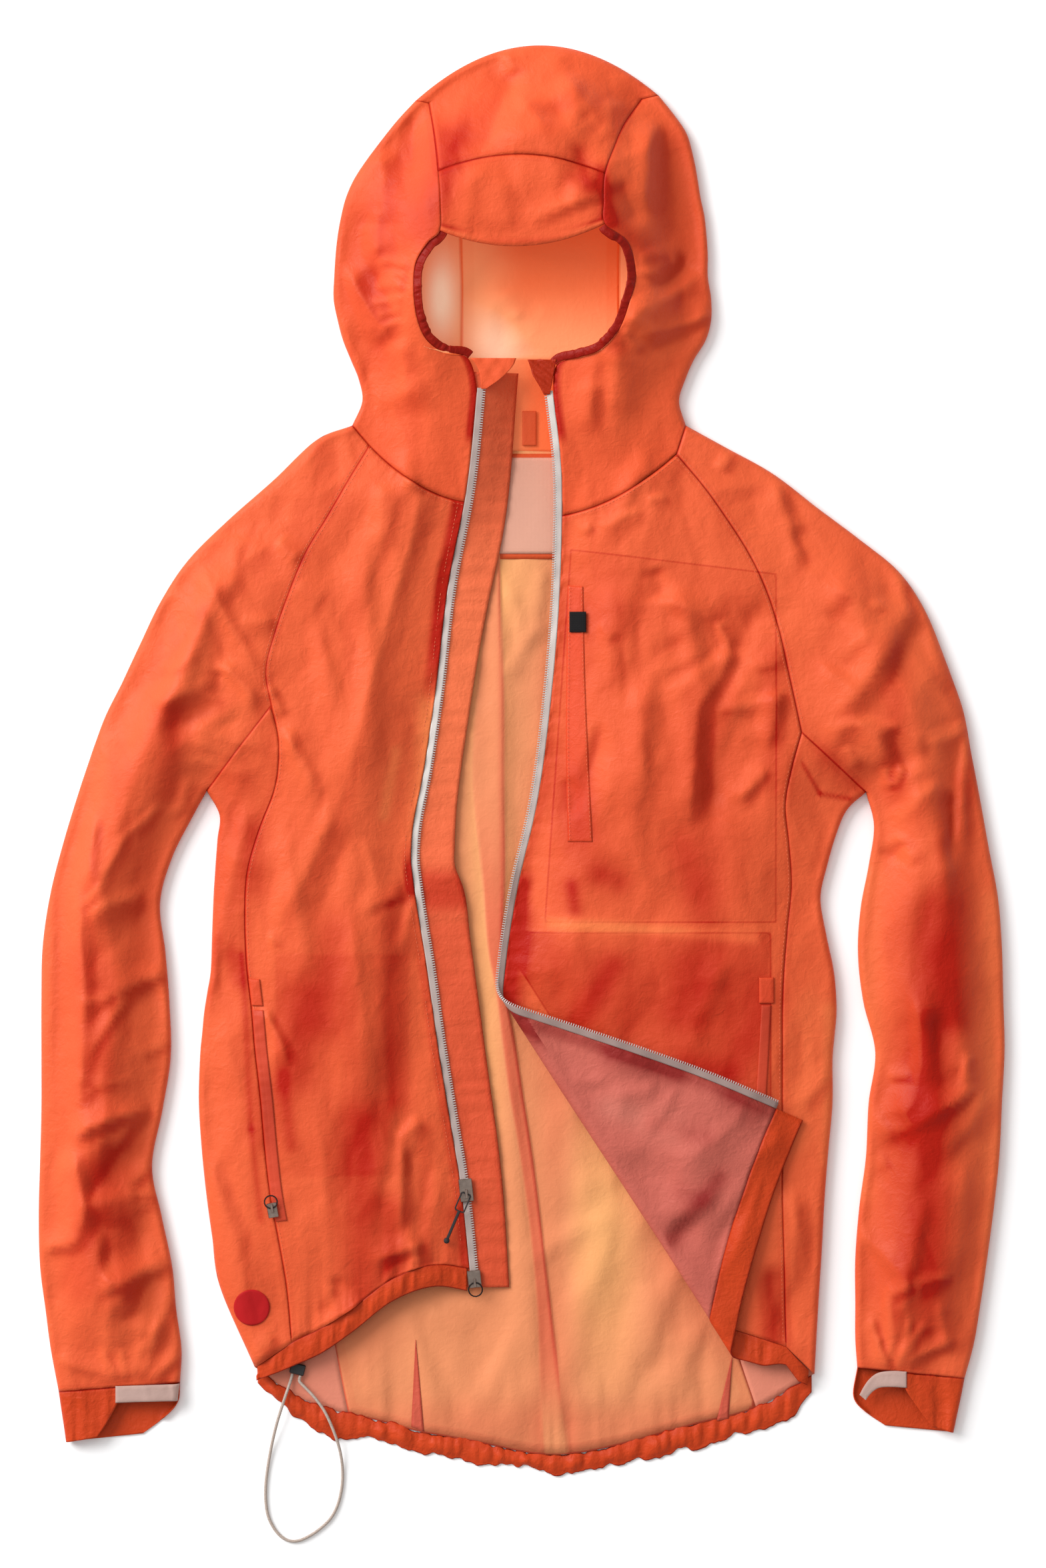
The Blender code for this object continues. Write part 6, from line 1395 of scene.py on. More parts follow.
x, y = between(left.zip_edge, left.front[:, 1:3], left_shares(left.zip_edge, left.front[:, 1:3]),
               left.front[:, 3])
left_hem = x[-1].copy(), y[-1].copy()
points, facts = folded(x, y)
zip_d = np.linalg.norm(np.stack([x - x[:, :1], y - y[:, :1]], -1), axis=-1)
points[..., 2] += 1.0 * gathers(y, 45) * np.exp(-zip_d / 8) * smooth(zip_d / 2)
px, py = points[..., 0], points[..., 1]
bag = np.where(facts["s"] > 0, bag_depth(px, py, BAGS), NO_BAG)
# Painted shade in a band beside the zip: narrow on the open part, wide and deep below y = -78, and
# along the zip edge of the turned corner.
flap_tone = strokes(px, py, FLAP_SHADE_STROKES) - 0.5 * bell(zip_d / 9, 4)
low_zip_shade = bell(zip_d / (11 + 5 * smooth((-100 - py) / 25)), 4) * smooth((-78 - py) / 20)
open_tone = skin_shade_and_tone(px, py, BODY_FOLDS) - 0.2 * bell(zip_d / 7, 4) - 0.9 * low_zip_shade
tone = np.where(facts["past"] > 0, flap_tone, open_tone)
numbers = {"edge": facts["edge"], "bag": bag, "tone": tone}
cloth("front_left_cloth", points, numbers, "shell", shell_cloth, flap_lining)

# %% [markdown]
# ## Sleeves
#
# Each sleeve lies flat with a soft fold on either side. Its front and its back meet at those
# folds and share the raglan seam at the top, so they are two grids with the same edge rows.

# %% Sleeves
for name, side in SIDES.items():
    outer, inner = side.sleeve[:, :2], side.sleeve[:, 2:4]
    for half, middle, skin in (("front", 42, upper_skin), ("back", 20, lower_skin)):
        points, numbers = skin(*between(outer, inner, fold_to_fold(outer, inner, middle)))
        points[:, 0, 2] = EDGE_R
        points[9 * K:, -1, 2] = EDGE_R
        cloth(f"sleeve_{half}_{name}_cloth", points, numbers, "shell", shell_cloth, lining_cloth,
              up=half == "front")

# %% [markdown]
# ## Cuffs
#
# A cuff is a doubled band that goes round the wrist. It is open on top, and a grey
# hook-and-loop tab closes it.

# %% Cuffs
for name, side in SIDES.items():
    free, outer, inner = side.cuff[:, :2], side.cuff[:, 2:4], side.cuff[:, 4:6]
    x, y = to_fold(free, outer, 18)
    top = upper_skin(x, y)
    away = x[:, -1:] - x
    top[0][..., 2] += 0.9 * gathers(x, 51) * smooth(away * np.sign(away.mean()) / 8)
    low = lower_skin(*between(outer, inner, fold_to_fold(outer, inner, 22)[:, :-1]))
    points, numbers = joined(top, low)
    cloth(f"cuff_{name}_cloth", points, numbers, "shell_double", double_cloth, thick=0.8)

# %% [markdown]
# ## Hood
#
# The hood lies on its back with the face opening up. Two sides and a middle panel turn round
# the crown, and a brim closes the front. The inside of its back shows through the opening.

# %% Hood sides
HOOD_SIZE = 1.3  # how much higher the large dents are on the hood
SHOULDER = 0.28  # the share of the neck seam's end that lies over the outline's arc


def hood_piece(name, side):
    """A hood side: its upper half ends at the outline, its lower half at the back seam."""
    front, fold, back = side.hood[:, :2], side.hood[:, 2:4], side.hood[:, 4:6]
    row_at = np.arange(len(front)) / H
    xt, yt = to_fold(front, fold, 40, np.interp(row_at, (0, 1, 2, 3), (-12, -5, -1, 0)))
    xl, yl = from_fold(fold, back, 26)
    ease = np.clip(1 - row_at / 1.4, 0, 1)
    a, b, c, end = front[0], side.neck_end, fold[0], back[0]
    main = np.linspace(0, 1, xt.shape[1] - len(ARC))
    tail = (1 - ARC * SHOULDER)[::-1]
    sag = 32.0 * main * (1 - main)
    neck = [np.concatenate([a[k] + (b[k] - a[k]) * main - k * sag, b[k] + (c[k] - b[k]) * tail])
            for k in (0, 1)]
    share = np.concatenate([ARC * SHOULDER, np.linspace(1, 2, xl.shape[1] - len(ARC))])
    first, second = np.clip(share, 0, 1), np.clip(share - 1, 0, 1)
    low = [c[k] + (b[k] - c[k]) * first + (end[k] - b[k]) * second for k in (0, 1)]
    xt, yt = eased(xt, neck[0], ease, 0), eased(yt, neck[1], ease, 0)
    xl, yl = eased(xl, low[0], ease, 0), eased(yl, low[1], ease, 0)
    points, numbers = joined(upper_skin(xt, yt, HOOD_FOLDS, HOOD_SIZE),
                             lower_skin(xl, yl, NAPE_FOLDS))
    px, py = points[..., 0], points[..., 1]
    back_d = np.hypot(px - px[:, -1:], py - py[:, -1:])
    lower_half = np.arange(points.shape[1])[None, :] >= xt.shape[1]
    numbers["edge"] = np.where(lower_half, 0.5 * back_d, numbers["edge"])
    # Inside, seen through the face opening, a painted highlight; outside, painted shade with
    # doubled cloth in a band along the front edge above the neck.
    pale = 1.1 * np.exp(-((px + 61) / 11) ** 2 - ((py - 346) / 30) ** 2)
    band = bell(np.abs(px - px[:, :1]) / 5.5, 6) * smooth((306 - py) / 4) * smooth((py - 232) / 12)
    numbers["tone"] = np.where(lower_half, pale, numbers["tone"] - 0.9 * band)
    cloth(f"hood_side_{name}_cloth", points, numbers, "shell", hood_cloth, hood_lining)
    return {"front": np.stack([xt[:, 0], yt[:, 0]], 1), "back": np.stack([xl[:, -1], yl[:, -1]], 1),
            "top_end": np.stack([xt[-1], yt[-1]], 1), "low_end": np.stack([xl[-1], yl[-1]], 1)}


hood_lines = {name: hood_piece(name, side) for name, side in SIDES.items()}

# %% [markdown]
# ## Middle of the hood and its brim
#
# The middle panel runs from the brim over the crown and down the back between the two sides.
# Its edge rows are taken from the finished sides, so the panels meet exactly.

# %% Hood middle and brim


def centre_line(lines):
    """One side of the middle panel: brim, crown, then down the back, with its place counted."""
    front, top, low, back = (lines[key] for key in ("front", "top_end", "low_end", "back"))
    front = front[13 * H:]
    top_at, low_at = (lengths(line) / lengths(line)[-1] for line in (top, low))
    where = [np.arange(len(front)) / H, 3 + 8 * top_at[1:], 11 + 7 * low_at[1:],
             18 + np.arange(1, len(back)) / H]
    return np.concatenate([front, top[1:], low[1:], back[-2::-1]]), np.concatenate(where)


line_right, place = centre_line(hood_lines["right"])
line_left, _ = centre_line(hood_lines["left"])
crown_row = len(hood_lines["right"]["front"][13 * H:]) + len(hood_lines["right"]["top_end"]) - 2
bows = np.interp(place, (0, 1, 2, 3, 10.4, 11, 11.6, 18, 19, 20, 21, 22, 23),
                 (13, 18, 25, 29, 35, 40, 35, 26, 17, 9, 4, 1, 0))
x, y = between(line_right, line_left, np.linspace(0, 1, 62), bows)
points, numbers = joined(upper_skin(x[:crown_row + 1], y[:crown_row + 1], HOOD_FOLDS, HOOD_SIZE),
                         lower_skin(x[crown_row:], y[crown_row:], NAPE_FOLDS), 0)
side_d = np.minimum(x - x[:, :1], x[:, -1:] - x)
lower_rows = np.arange(len(x))[:, None] > crown_row
# Inside, seen through the face opening: painted light through the cloth in the lower middle,
# painted shadow towards the top under the brim, and darker below y = 302.
inner_light_and_shade = (0.6 * smooth((356 - y) / 44) * bell((x + 20) / 20)
              - 0.7 * smooth((y - 300) / 60) * smooth((x + 44) / 50) - 0.8 * smooth((302 - y) / 3))
numbers["edge"] = np.where(lower_rows, 0.5 * side_d, np.minimum(numbers["edge"], side_d))
numbers["tone"] = np.where(lower_rows, inner_light_and_shade, numbers["tone"])
cloth("hood_centre_cloth", points, numbers, "shell", hood_cloth, hood_lining)

brim_right, brim_left = (hood_lines[name]["front"][11 * H:13 * H + 1] for name in SIDES)
bows = cubic(np.arange(3.0), np.array([-14.0, 2, 13]), np.arange(len(brim_right)) / H)
x, y = between(brim_right, brim_left, np.linspace(0, 1, 62), bows)
points, numbers = upper_skin(x, y, HOOD_FOLDS)
rim = np.hypot(x - x[:1], y - y[:1])
numbers["edge"] = np.minimum(numbers["edge"], rim + 0.5)
numbers["tone"] = numbers["tone"] + 0.6 * bell((rim - 1.8) / 1.3) - 0.5 * bell((rim - 5) / 1.2)
cloth("hood_brim_cloth", points, numbers, "shell", hood_cloth, hood_lining, thick=0.8)

# %% [markdown]
# ## Gathered edge of the face opening
#
# Elastic inside the edge gathers it into small frills. An even wave would look like machine
# pleating, so noise along the edge gives them.

# %% Face bindings
BINDING_WIDTH = 6.4
FACE_MIDDLE = np.array([2, 346])
for name, lines in hood_lines.items():
    line = along(lines["front"][4 * H:11 * H + 1], 240)
    across = np.stack([np.gradient(line[:, 1]), -np.gradient(line[:, 0])], 1)
    across = unit(across * np.sign((across * (FACE_MIDDLE - line)).sum(1))[:, None])
    steps = np.linspace(0.1, BINDING_WIDTH, 9)[:, None]
    frill = gathers(lengths(line) * 1.25, 61)[None, :]
    grow = steps / BINDING_WIDTH
    x, y = (line[None, :, k] + across[None, :, k] * steps + across[None, :, k] * 0.5 * frill * grow
            for k in (0, 1))
    z = height(x, y) + (0.9 * frill + 0.5) * np.sin(math.pi * grow)
    numbers = plain_numbers(x, steps * 0.9, -0.8)
    cloth(f"face_binding_{name}_cloth", np.stack([x, y, z], -1), numbers, "shell_double",
          double_cloth, thick=0.8, held="gathered")

# %% [markdown]
# ## Zip tapes
#
# A thin strip of grey tape carries each row of teeth. It could be cut from the same grid as the
# front, but it has another weave, so it is a grid of its own along the same edge. The left one
# goes through `folded` too, so that it turns over with the corner.

# %% Zip tapes
tape_cloth = nylon("tape_cloth", (206, 192, 186), (128, 92, 84), (240, 234, 228), patchy=0.1,
                   bag=0.0, rough=(0.5, 0.7), crinkle=0.1, weave=4.0, grid=420.0, sheen=0.1)
offsets = np.array([0.2, 1.2, 2.6, 4.0, 5.0])[None, :]


def ripple(y):
    """Small even waves along a tape."""
    return np.sin(y * 0.31 + 1.2 * np.sin(y * 0.05))


def tape(name, points, tone):
    """One zip tape from its points."""
    cloth(f"zip_tape_{name}_cloth", points, plain_numbers(tone, tone=tone), "zip_tape", tape_cloth,
          thick=0.7)
    return points


tape_y = np.linspace(277, -394, 300)[:, None]
x = read(ZIP_RIGHT, tape_y) - TEETH_GAP + offsets
y = tape_y + 0 * offsets
tone = 0.8 * bell((y + 10) / 90) - 0.35 * smooth((y - 90) / 70) - 0.3 * smooth((-90 - y) / 40)
right_tape = tape("right", np.stack([x, y, opening_height(y) + 0.35 * ripple(y)], -1), tone)

tape_y = np.concatenate([np.linspace(275, 186, 40), left.front[:, 0]])[:, None]
y = tape_y + 0 * offsets
points, _ = folded(read(ZIP_LEFT, tape_y) + TEETH_GAP - offsets, y)
points[..., 2] += 0.3 * ripple(y)
left_tape = tape("left", points, 0.4 * smooth((y - 20) / 80) - 0.6 * smooth((-60 - y) / 40))

# %% [markdown]
# ## Storm flap
#
# Behind the right zip lies the storm flap, a doubled strip of shell that keeps the wind out.
# It starts under the tape and sinks towards the back, so its height is a fall from the zip's.

# %% Storm flap
flap_y = np.linspace(289, -396, 290)[:, None]
x0, x1 = read(ZIP_RIGHT, flap_y) - TEETH_GAP, read(STORM_EDGE, flap_y)
x = (x0 - 6) + (x1 - x0 + 6) * np.linspace(0, 1, 16)[None, :]
y = flap_y + 0 * x
edge_z = opening_height(y)
away = x - x0
fall = smooth((away - 4) / 30) * (edge_z - 7.0)
wrinkle = smooth((away - 6) / 8) * (0.8 * crumple(x + 40, y, 0.6) + 0.5 * gathers(y, 63))
points = np.stack([x, y, edge_z - 1.5 - fall + np.minimum(wrinkle, 1.2)], -1)
tone = (0.3 * bell((y - 60) / 110) - 0.35 * smooth((-100 - y) / 30) - 0.1 * smooth((y - 150) / 60)
        - 0.7 * bell((y + 98) / 16, 4))
cloth("storm_flap_cloth", points, plain_numbers(x, np.minimum(x1 - x, FAR) + 0.5, tone),
      "shell_double", storm_cloth, thick=0.8)

# %% [markdown]
# ## Top of the zip
#
# A small folded guard covers the top of the right zip, so that it doesn't scratch the chin.
# The left tape ends under a small turned tab. Both are short rows between two slanted sides.

# %% Chin guard
#  y, then x of the left and of the right side
GUARD = [(299, -38, -4), (294, -34, -6), (288, -31.5, -11), (282, -30.5, -18), (276, -30, -27)]
guard_y, x0, x1 = (along(GUARD, 22)[:, k:k + 1] for k in range(3))
x = x0 + (x1 - x0) * np.linspace(0, 1, 22)
y = guard_y + 0 * x
z = opening_height(y) + 2.2 + 0.4 * np.sin(x * 0.5) * np.sin(y * 0.3)
numbers = plain_numbers(x, np.minimum(y - y[-1:], FAR) + 1.5)
cloth("chin_guard_cloth", np.stack([x, y, z], -1), numbers, "shell", hood_cloth, thick=0.9)

tab_y = np.linspace(298, 272, 24)[:, None]
x0, x1 = np.interp(tab_y, (272, 285, 298), (17, 9, 4.5)), np.interp(tab_y, (272, 298), (21, 26))
x = x0 + (x1 - x0) * np.linspace(0, 1, 18)
y = tab_y + 0 * x
z = opening_height(y) + 0.8 + 0.7 * np.sin((x + 1.3 * y) * 0.55)
cloth("zip_end_tab_left_cloth", np.stack([x, y, z], -1), plain_numbers(x, tone=-0.55),
      "shell_double", double_cloth, nodes=[], thick=0.8)

# %% [markdown]
# ## Hem bands
#
# Gathered bands with elastic inside close the hem: the back one lies on the surface, the right
# one hangs at the front, and the left one turns over with the corner. Frills of noise grow
# towards the middle of each band.

# %% Hem bands
t = np.linspace(0, 1, 15)[:, None]


def band_grid(table, x):
    """x, y and the distance to the nearer edge on a band between the two lines of its table."""
    top_y, low_y = read(table, x), read(table, x, 2)
    return x[None, :] + 0 * t, top_y + (low_y - top_y) * t, np.minimum(t, 1 - t) * (top_y - low_y)


x = np.linspace(HEM_BACK[0, 0] + 2, HEM_BACK[-1, 0] - 2, 300)
gx, gy, rim = band_grid(HEM_BACK, x)
ends = np.minimum(smooth((x - x[0]) / 16), smooth((x[-1] - x) / 16))
scallop = 1.5 * noise(x / 27, 0 * x + 0.5, 71) + gathers(x * 0.8, 73)
gy = gy + 2.4 * scallop * ends * t ** 2 + 2.0 * gathers(x, 77) * ends * (1 - t) ** 2
lift = ends * (1.25 * (1.3 + 1.6 * gathers(x * 0.8, 75)) * np.sin(math.pi * np.clip(t * 1.1, 0, 1)))
cloth("hem_back_cloth", np.stack([gx, gy, np.clip(lift, 0, None)], -1), plain_numbers(gx, rim),
      "shell_double", double_cloth, up=False, thick=1.2, held="gathered")

x = np.linspace(-41.0, -198.0, 150)
gx, gy, rim = band_grid(HEM_FRONT, x)
keep = smooth((x + 198) / 22) * smooth((-42 - x) / 14)
z = height(gx, gy) + keep * (1.3 * (0.8 + gathers(x, 79))) * np.sin(math.pi * t)
cloth("hem_front_right_cloth", np.stack([gx, gy, np.maximum(z, 6.2)], -1), plain_numbers(gx, rim),
      "shell_double", double_cloth, thick=1.0, held="gathered")

BAND = 22
steps = np.linspace(0.2, BAND, 13)[:, None]
share = steps / BAND
x, y = (line[None, :] for line in left_hem)
y = y - steps * (1 - 0.1 * np.linspace(0, 1, x.shape[1])) + 6 * share * smooth((x - 178) / 20)
x = np.concatenate([x + 0 * steps, 206 + share, 215 - share], 1)
y = np.concatenate([y, -448.6 - 17.4 * share, -457.6 - 11.4 * share], 1)
points, _ = folded(x, y)
points[..., 2] += 1.2 * gathers(x, 81) * np.sin(math.pi * share) * smooth((200 - x) / 20)
numbers = plain_numbers(x, np.minimum(steps, BAND - steps))
cloth("hem_front_left_cloth", points, numbers, "shell_double", double_cloth, thick=1.0,
      held="gathered", probe=(0, x.shape[1] - 5))

# %% [markdown]
# ## Pockets and trim
#
# Pocket bags hang inside the shell and show through it as a redder zone with a crisp edge.
# Welts, zips and small covers are separate strips sewn on top. Each is a grid laid on the same
# skin as its panel, a little above or below it.

# %% Strips on the skin
OVER = 0.35


def strip(name, line_a, line_b, rows, cols, slot, material, above, thick=0.8, bow=0.0, **more):
    """A strip between two edge lines, laid at a height above the upper skin."""
    x, y = between(along(line_a, rows), along(line_b, rows), np.linspace(0, 1, cols))
    points, _ = upper_skin(x, y, lift=above)
    side = np.minimum(np.hypot(x - x[:, :1], y - y[:, :1]), np.hypot(x - x[:, -1:], y - y[:, -1:]))
    end = np.minimum(np.hypot(x - x[:1], y - y[:1]), np.hypot(x - x[-1:], y - y[-1:]))
    rim = np.minimum(side, end)
    points[..., 2] += bow * smooth(rim / 2.0) - 0.25 * bell(rim / 0.8)
    # Each strip carries the painted shade and painted light strokes of the cloth around it.
    numbers = plain_numbers(x, rim + 1.0, 0.8 * strokes(x, y, SHADE_STROKES))
    cloth(name, points, numbers, slot, material, thick=thick, **more)


def edge_rows(top, low):
    """Two lines down the right front between two heights: at 94% of its width and at its seam."""
    keep = (right.front[:, 2] < top) & (right.front[:, 2] > low)
    x, y = between(right.zip_edge[keep], right.front[keep, 1:3], np.array([0.935, 0.998]),
                   right.front[keep, 3])
    return np.stack([x[:, 0], y[:, 0]], 1), np.stack([x[:, 1], y[:, 1]], 1)


trim_cloth = nylon("trim_cloth", (230, 86, 50), (190, 40, 16), (246, 136, 88), seam=0.12)
zip_cloth = nylon("zip_cloth", (224, 82, 54), (150, 26, 10), (226, 96, 60), crinkle=0.4, seam=0.4,
                  rough=(0.35, 0.5))
bag_cloth = nylon("bag_cloth", (206, 60, 30), (170, 34, 14), (224, 96, 60), crinkle=0.8)
WELT = ([(34.5, 130), (33.4, 60), (33.2, 0), (34.5, -62)],
        [(46, 129), (47.5, 60), (50, 0), (53, -62)])
strip("chest_welt_cloth", *WELT, 130, 12, "shell", trim_cloth, OVER + 0.2, bow=0.2)
GARAGE_LEFT = [(177.4, -163.4), (177.4, -182.6)], [(188.6, -163.4), (188.6, -182.6)]
ZIP_HOLE_LEFT = ([(179.2, -184), (175.0, -254), (169.6, -325)],
                 [(186.2, -184), (182.4, -254), (176.6, -325)])
GARAGE, HOLE = ("shell", trim_cloth, OVER + 0.8, 0.8, 0.3), ("shell_double", zip_cloth, OVER + 0.7)
strip("zip_garage_left_cloth", *GARAGE_LEFT, 20, 12, *GARAGE)
strip("pocket_zip_left_cloth", *ZIP_HOLE_LEFT, 120, 9, *HOLE)
strip("pocket_zip_right_cloth", *edge_rows(-186, -346), 120, 9, *HOLE)
strip("zip_garage_right_cloth", *edge_rows(-164, -185), 20, 9, *GARAGE)
for name, line_a, line_b, rows, cols in (
        ("chest_pocket_bag", [(34, 156), (34, 60), (27, -30), (18.5, -121)],
         [(150, 142), (178, 100), (188, 40), (188, -40), (186, -121)], 60, 36),
        ("hand_pocket_bag_left", [(2, -132), (30, -200), (92, -305)],
         [(184, -132), (184, -200), (184, -305)], 44, 36),
        ("hand_pocket_bag_right", [(-86, -148), (-86, -310)],
         [(-182, -148), (-182, -310)], 44, 30)):
    strip(name + "_cloth", line_a, line_b, rows, cols, "shell_double", bag_cloth, -1.0, thick=0.4)

# %% [markdown]
# ## Labels at the neck
#
# A label on a backing and a loop to hang the jacket by are sewn inside the back. They are flat
# and straight, so a plain grid with a slight wave is enough. The label is left bare.

# %% Labels at the neck
label_cloth = nylon("label_cloth", (238, 176, 152), (214, 134, 106), (244, 196, 176), patchy=0.15,
                    seam=0.2, rough=(0.65, 0.8), crinkle=0.25, weave=9.0, grid=520.0, sheen=0.2)
backing_cloth = nylon("backing_cloth", (226, 92, 48), (196, 56, 26), crinkle=0.5)


def flat_piece(name, box, low, slot, material, thick, wave=0.3):
    """A small flat piece that lies on the inside of the back, with a slight wave."""
    gx, gy = np.meshgrid(np.linspace(box[0], box[1], 26), np.linspace(box[3], box[2], 30))
    rim = np.minimum(np.minimum(gx - box[0], box[1] - gx), np.minimum(gy - box[2], box[3] - gy))
    z = low + thick + wave * (0.5 + 0.5 * noise(gx / 18, gy / 18, 21)) - 0.2 * bell(rim / 0.7)
    cloth(name + "_cloth", np.stack([gx, gy, z], -1), plain_numbers(gx, rim + 0.6), slot, material,
          thick=thick)


flat_piece("label_backing", (-22, 30, 150, 229), 1.5, "shell_double", backing_cloth, 0.6)
flat_piece("neck_label", (-18.5, 26.5, 154, 226), 2.3, "label", label_cloth, 0.5)
flat_piece("hang_loop", (0.5, 11.0, 235, 261), 1.6, "shell_double", backing_cloth, 0.9, wave=0.8)

# %% [markdown]
# ## Patch and tabs
#
# The round patch at the hem is a plain bonded disc. A circle of wedges would meet in a point
# that shows in the light, so the curves of a square are bent onto a round outline: the disc has
# no pole and no seam. The black tab and the grey cuff tabs are strips like those above.

# %% Round patch, black tab and cuff tabs
PATCH_X, PATCH_Y, PATCH_R = -202, -410.5, 13.5
patch_cloth = nylon("patch_cloth", (198, 28, 32), (164, 18, 20), crinkle=0.2, weave=2.0, grid=700.0,
                    rough=(0.45, 0.6))
span = np.linspace(-1, 1, 25)
u, v = np.meshgrid(span, -span)
x = PATCH_X + PATCH_R * u * np.sqrt(1 - v * v / 2)
y = PATCH_Y + PATCH_R * v * np.sqrt(1 - u * u / 2)
points, _ = upper_skin(x, y, lift=OVER + 0.75)
points[..., 2] -= 0.3 * smooth((np.hypot(x - PATCH_X, y - PATCH_Y) - PATCH_R + 1.1) / 1.1)
cloth("round_patch_disc", points, plain_numbers(x), "patch_red", patch_cloth,
      nodes=["round_patch"], thick=0.7)
black_cloth = nylon("black_cloth", (30, 29, 30), (18, 17, 18), crinkle=0.2, weave=16.0, grid=420.0,
                    rough=(0.6, 0.8))
strip("black_tab_cloth", [(35.8, 110.2), (35.8, 94.8)], [(48.2, 110.2), (48.2, 94.8)], 24, 18,
      "tab_black", black_cloth, 2.6, bow=0.25, nodes=["tab_label"])
#  x and y of the upper and of the lower edge, from the fold to the free end
TABS = {
    "right": [(-304, -469.5, -304, -482), (-292, -469, -292, -481.5), (-278, -468.5, -278, -481),
              (-266, -468.2, -266, -480.8), (-261, -468.1, -261.6, -480.8),
              (-258, -468.0, -259.3, -480.8), (-256.2, -468.0, -257.6, -480.8)],
    "left": [(288, -458.5, 288, -470.5), (277, -458, 277, -470), (267, -459.5, 268.5, -470.5),
             (260.5, -464, 263.5, -473), (256, -470, 260.0, -476.5), (252.8, -476, 257.5, -480)],
}
tab_cloth = nylon("tab_cloth", (206, 174, 164), (160, 118, 106), (224, 198, 190), patchy=0.35,
                  seam=0.3, crinkle=0.4, rough=(0.5, 0.7), weave=3.0, grid=600.0)
for name, table in TABS.items():
    rows = along(table, 60)
    strip(f"cuff_tab_{name}_cloth", rows[:, :2], rows[:, 2:4], 60, 14, "tab_grey", tab_cloth, 1.5,
          thick=1.0, bow=0.25)

# %% [markdown]
# ## Thousands of small shapes
#
# Zip teeth and stitches are tiny and there are thousands. An array modifier on a curve could
# repeat them; here one small template is carried to each place by array arithmetic, so a whole
# row is a single mesh with few faces for each copy.

# %% Repeat a small shape along a line
BOX_FACES = [(0, 3, 2, 1), (4, 5, 6, 7), (0, 1, 5, 4), (1, 2, 6, 5), (2, 3, 7, 6), (3, 0, 4, 7)]


def carried(template, faces, path, pitch):
    """Copies of a template at even steps of a path: place + x along + y across + z up."""
    template, faces = np.asarray(template, float), np.asarray(faces)
    run = lengths(path)
    at = np.arange(pitch / 2, run[-1] - pitch / 2, pitch)
    place, ahead, behind = (np.stack([np.interp(at + step, run, path[:, k]) for k in range(3)], 1)
                            for step in (0, pitch / 3, -pitch / 3))
    tangent = unit(ahead - behind)
    across = unit(np.cross((0.0, 0.0, 1.0), tangent))
    rise = np.cross(tangent, across)
    points = place[:, None, :]
    for k, direction in enumerate((tangent, across, rise)):
        points = points + template[None, :, k:k + 1] * direction[:, None, :]
    index = faces[None] + np.arange(len(at))[:, None, None] * len(template)
    return points.reshape(-1, 3), index.reshape(-1, faces.shape[1])


def small_mesh(name, parts, material):
    """One mesh from several runs of carried copies."""
    first = np.cumsum([0] + [len(points) for points, _ in parts])
    points = np.concatenate([points for points, _ in parts]) * MM
    faces = np.concatenate([index + start for (_, index), start in zip(parts, first)])
    mesh = bpy.data.meshes.new(name)
    mesh.from_pydata(points.tolist(), [], faces.tolist())
    mesh.materials.append(material)
    obj = linked(name, mesh)
    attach(obj, "jacket")
    print(f"{name}: {len(mesh.polygons)} faces")


def block(long, wide, high, low, taper=0.7):
    """Eight corners of a small block whose top is narrower than its foot."""
    a, b = long / 2, wide / 2
    return [(a * sx * share, b * sy * share, z) for share, z in ((1, low), (taper, low + high))
            for sx, sy in ((-1, -1), (1, -1), (1, 1), (-1, 1))]


def simple(name, colour, rough, metal=0.0, grain=600.0, mottle=0.12):
    """A material for small hard or thread parts: a mottled colour with a fine grain."""
    material, tree, shader, place = material_start(name)
    spots = put(tree, "TexNoise", Vector=place, Scale=grain, Detail=4.0).outputs["Fac"]
    share = ranged(tree, spots, 0.3, 0.7, 0.0, 1.0)
    base = np.array(linear(*colour)[:3])
    dark, pale = ((*np.clip(base * (1 + step), 0, 1).tolist(), 1) for step in (-mottle, mottle))
    wear = ranged(tree, spots, 0.2, 0.8, rough * 0.75, min(rough * 1.25, 1.0))
    normal = put(tree, "Bump", Strength=0.25, Distance=0.0002, Height=spots).outputs["Normal"]
    fill(tree, shader, Base_Color=mixed(tree, share, dark, pale), Roughness=wear, Normal=normal,
         Metallic=metal)
    return material


print("faces of a block:", len(BOX_FACES))

# %% [markdown]
# ## Zip teeth
#
# Moulded teeth are small blocks, narrower on top, at even steps along the edge of their tape.
# A bump texture would look flat from the side; real blocks catch the light.

# %% Zip teeth
teeth = simple("teeth", (196, 186, 182), 0.4)
TOOTH = block(0.95, 2.6, 0.7, -0.5)
TOOTH_PITCH = 1.85
TOOTH_OUT = 0.5  # from the tape's edge, straight to the side or square to a tape that turns
right_line = right_tape[:, 4] + np.array([TOOTH_OUT, 0, 0])
left_line = left_tape[:, 4] + TOOTH_OUT * unit(left_tape[:, 4] - left_tape[:, 3])
for name, line in (("right", right_line), ("left", left_line)):
    runs = [carried(TOOTH, BOX_FACES, line, TOOTH_PITCH)]
    small_mesh(f"zip_teeth_{name}", runs, teeth)

# %% [markdown]
# ## Stitches
#
# A row of short stitches runs on both sides of each raglan and side seam, by the neck seams,
# round the chest welt and along the right zip. Each is a small eight-sided bead of thread.

# %% Stitches
thread = simple("thread", (244, 126, 84), 0.7, grain=900.0)
STITCH = [(-1.1, 0, 0), (1.1, 0, 0), (0, -0.24, 0), (0, 0.24, 0), (0, 0, 0.3), (0, 0, -0.15)]
STITCH_FACES = [(0, 2, 4), (2, 1, 4), (1, 3, 4), (3, 0, 4),
                (2, 0, 5), (1, 2, 5), (3, 1, 5), (0, 3, 5)]
STITCH_PITCH = 3.0


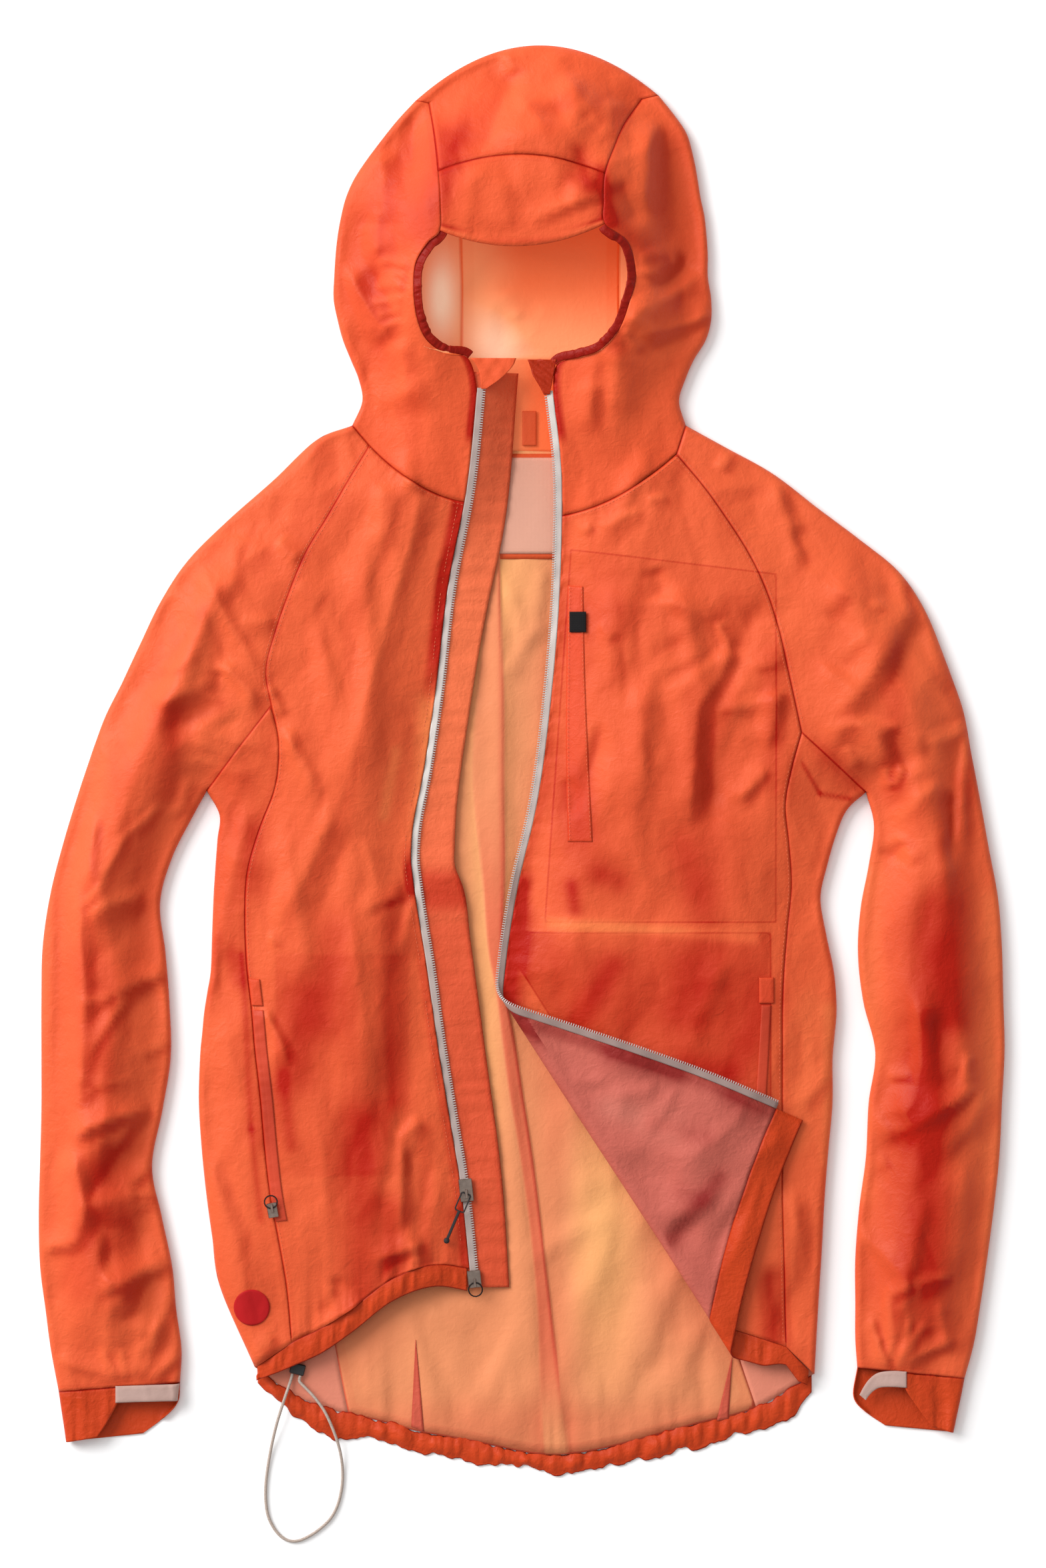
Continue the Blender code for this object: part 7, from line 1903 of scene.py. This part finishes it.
def stitched(line, off, above=0.12):
    """Stitches along a flat line moved to its left by off, on the upper skin."""
    step = np.gradient(line, axis=0)
    size = np.linalg.norm(step, axis=1)[:, None]
    line = line + np.stack([-step[:, 1], step[:, 0]], 1) / size * off
    run = lengths(line)
    at = np.linspace(0, run[-1], max(int(run[-1] / 1.5), 4))
    x, y = (np.interp(at, run, line[:, k]) for k in (0, 1))
    return carried(STITCH, STITCH_FACES, upper_skin(x, y, lift=above)[0], STITCH_PITCH)


runs = [stitched(SEAMS[k], off) for k, off in ((0, 2.2), (0, -2.2), (1, 2.2), (1, -2.2), (4, 2.0),
                                               (5, -2.0), (6, 2.0), (7, -2.0))]
runs += [stitched(along(line, 40), off, 1.7) for line, off in ((WELT[1], -1.4), (WELT[0], 1.4))]
runs.append(stitched(right.zip_edge[2:-12], -4.5))
small_mesh("stitches", runs, thread)

# %% [markdown]
# ## Hard parts
#
# The zip sliders, their pulls and the cord lock keep their solids, because their shapes are
# right. They only get finer materials: worn dark metal, and matt black for the cord lock.

# %% Materials of the hard parts
slider_metal = simple("slider_metal", (150, 134, 124), 0.38, metal=1.0, grain=260.0)
lock_plastic = simple("lock_plastic", (26, 25, 26), 0.5, grain=500.0)
pull_metal = simple("pull_metal", (60, 56, 56), 0.45, metal=1.0, grain=260.0)
pull_cord = simple("pull_cord", (34, 30, 31), 0.75, grain=900.0, mottle=0.3)
elastic = simple("elastic", (186, 168, 156), 0.7, grain=900.0, mottle=0.2)
HARD_PARTS = {"slider_upper": slider_metal, "slider_lower": slider_metal,
              "pocket_slider_right": slider_metal, "puller_upper": pull_cord,
              "puller_lower": pull_metal, "puller_pocket": pull_metal, "cord_lock": lock_plastic}
for node, material in HARD_PARTS.items():
    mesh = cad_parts[node].data
    mesh.materials.clear()
    mesh.materials.append(material)
hem_cord.data.materials.append(elastic)
print("hard parts:", len(HARD_PARTS))

# %% [markdown]
# ## Close
#
# The CAD nodes that are still shown are listed.

# %% Nodes still shown
shown = [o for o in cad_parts.values() if not o.hide_render]
print("CAD nodes still shown:", sorted(o.name for o in shown))
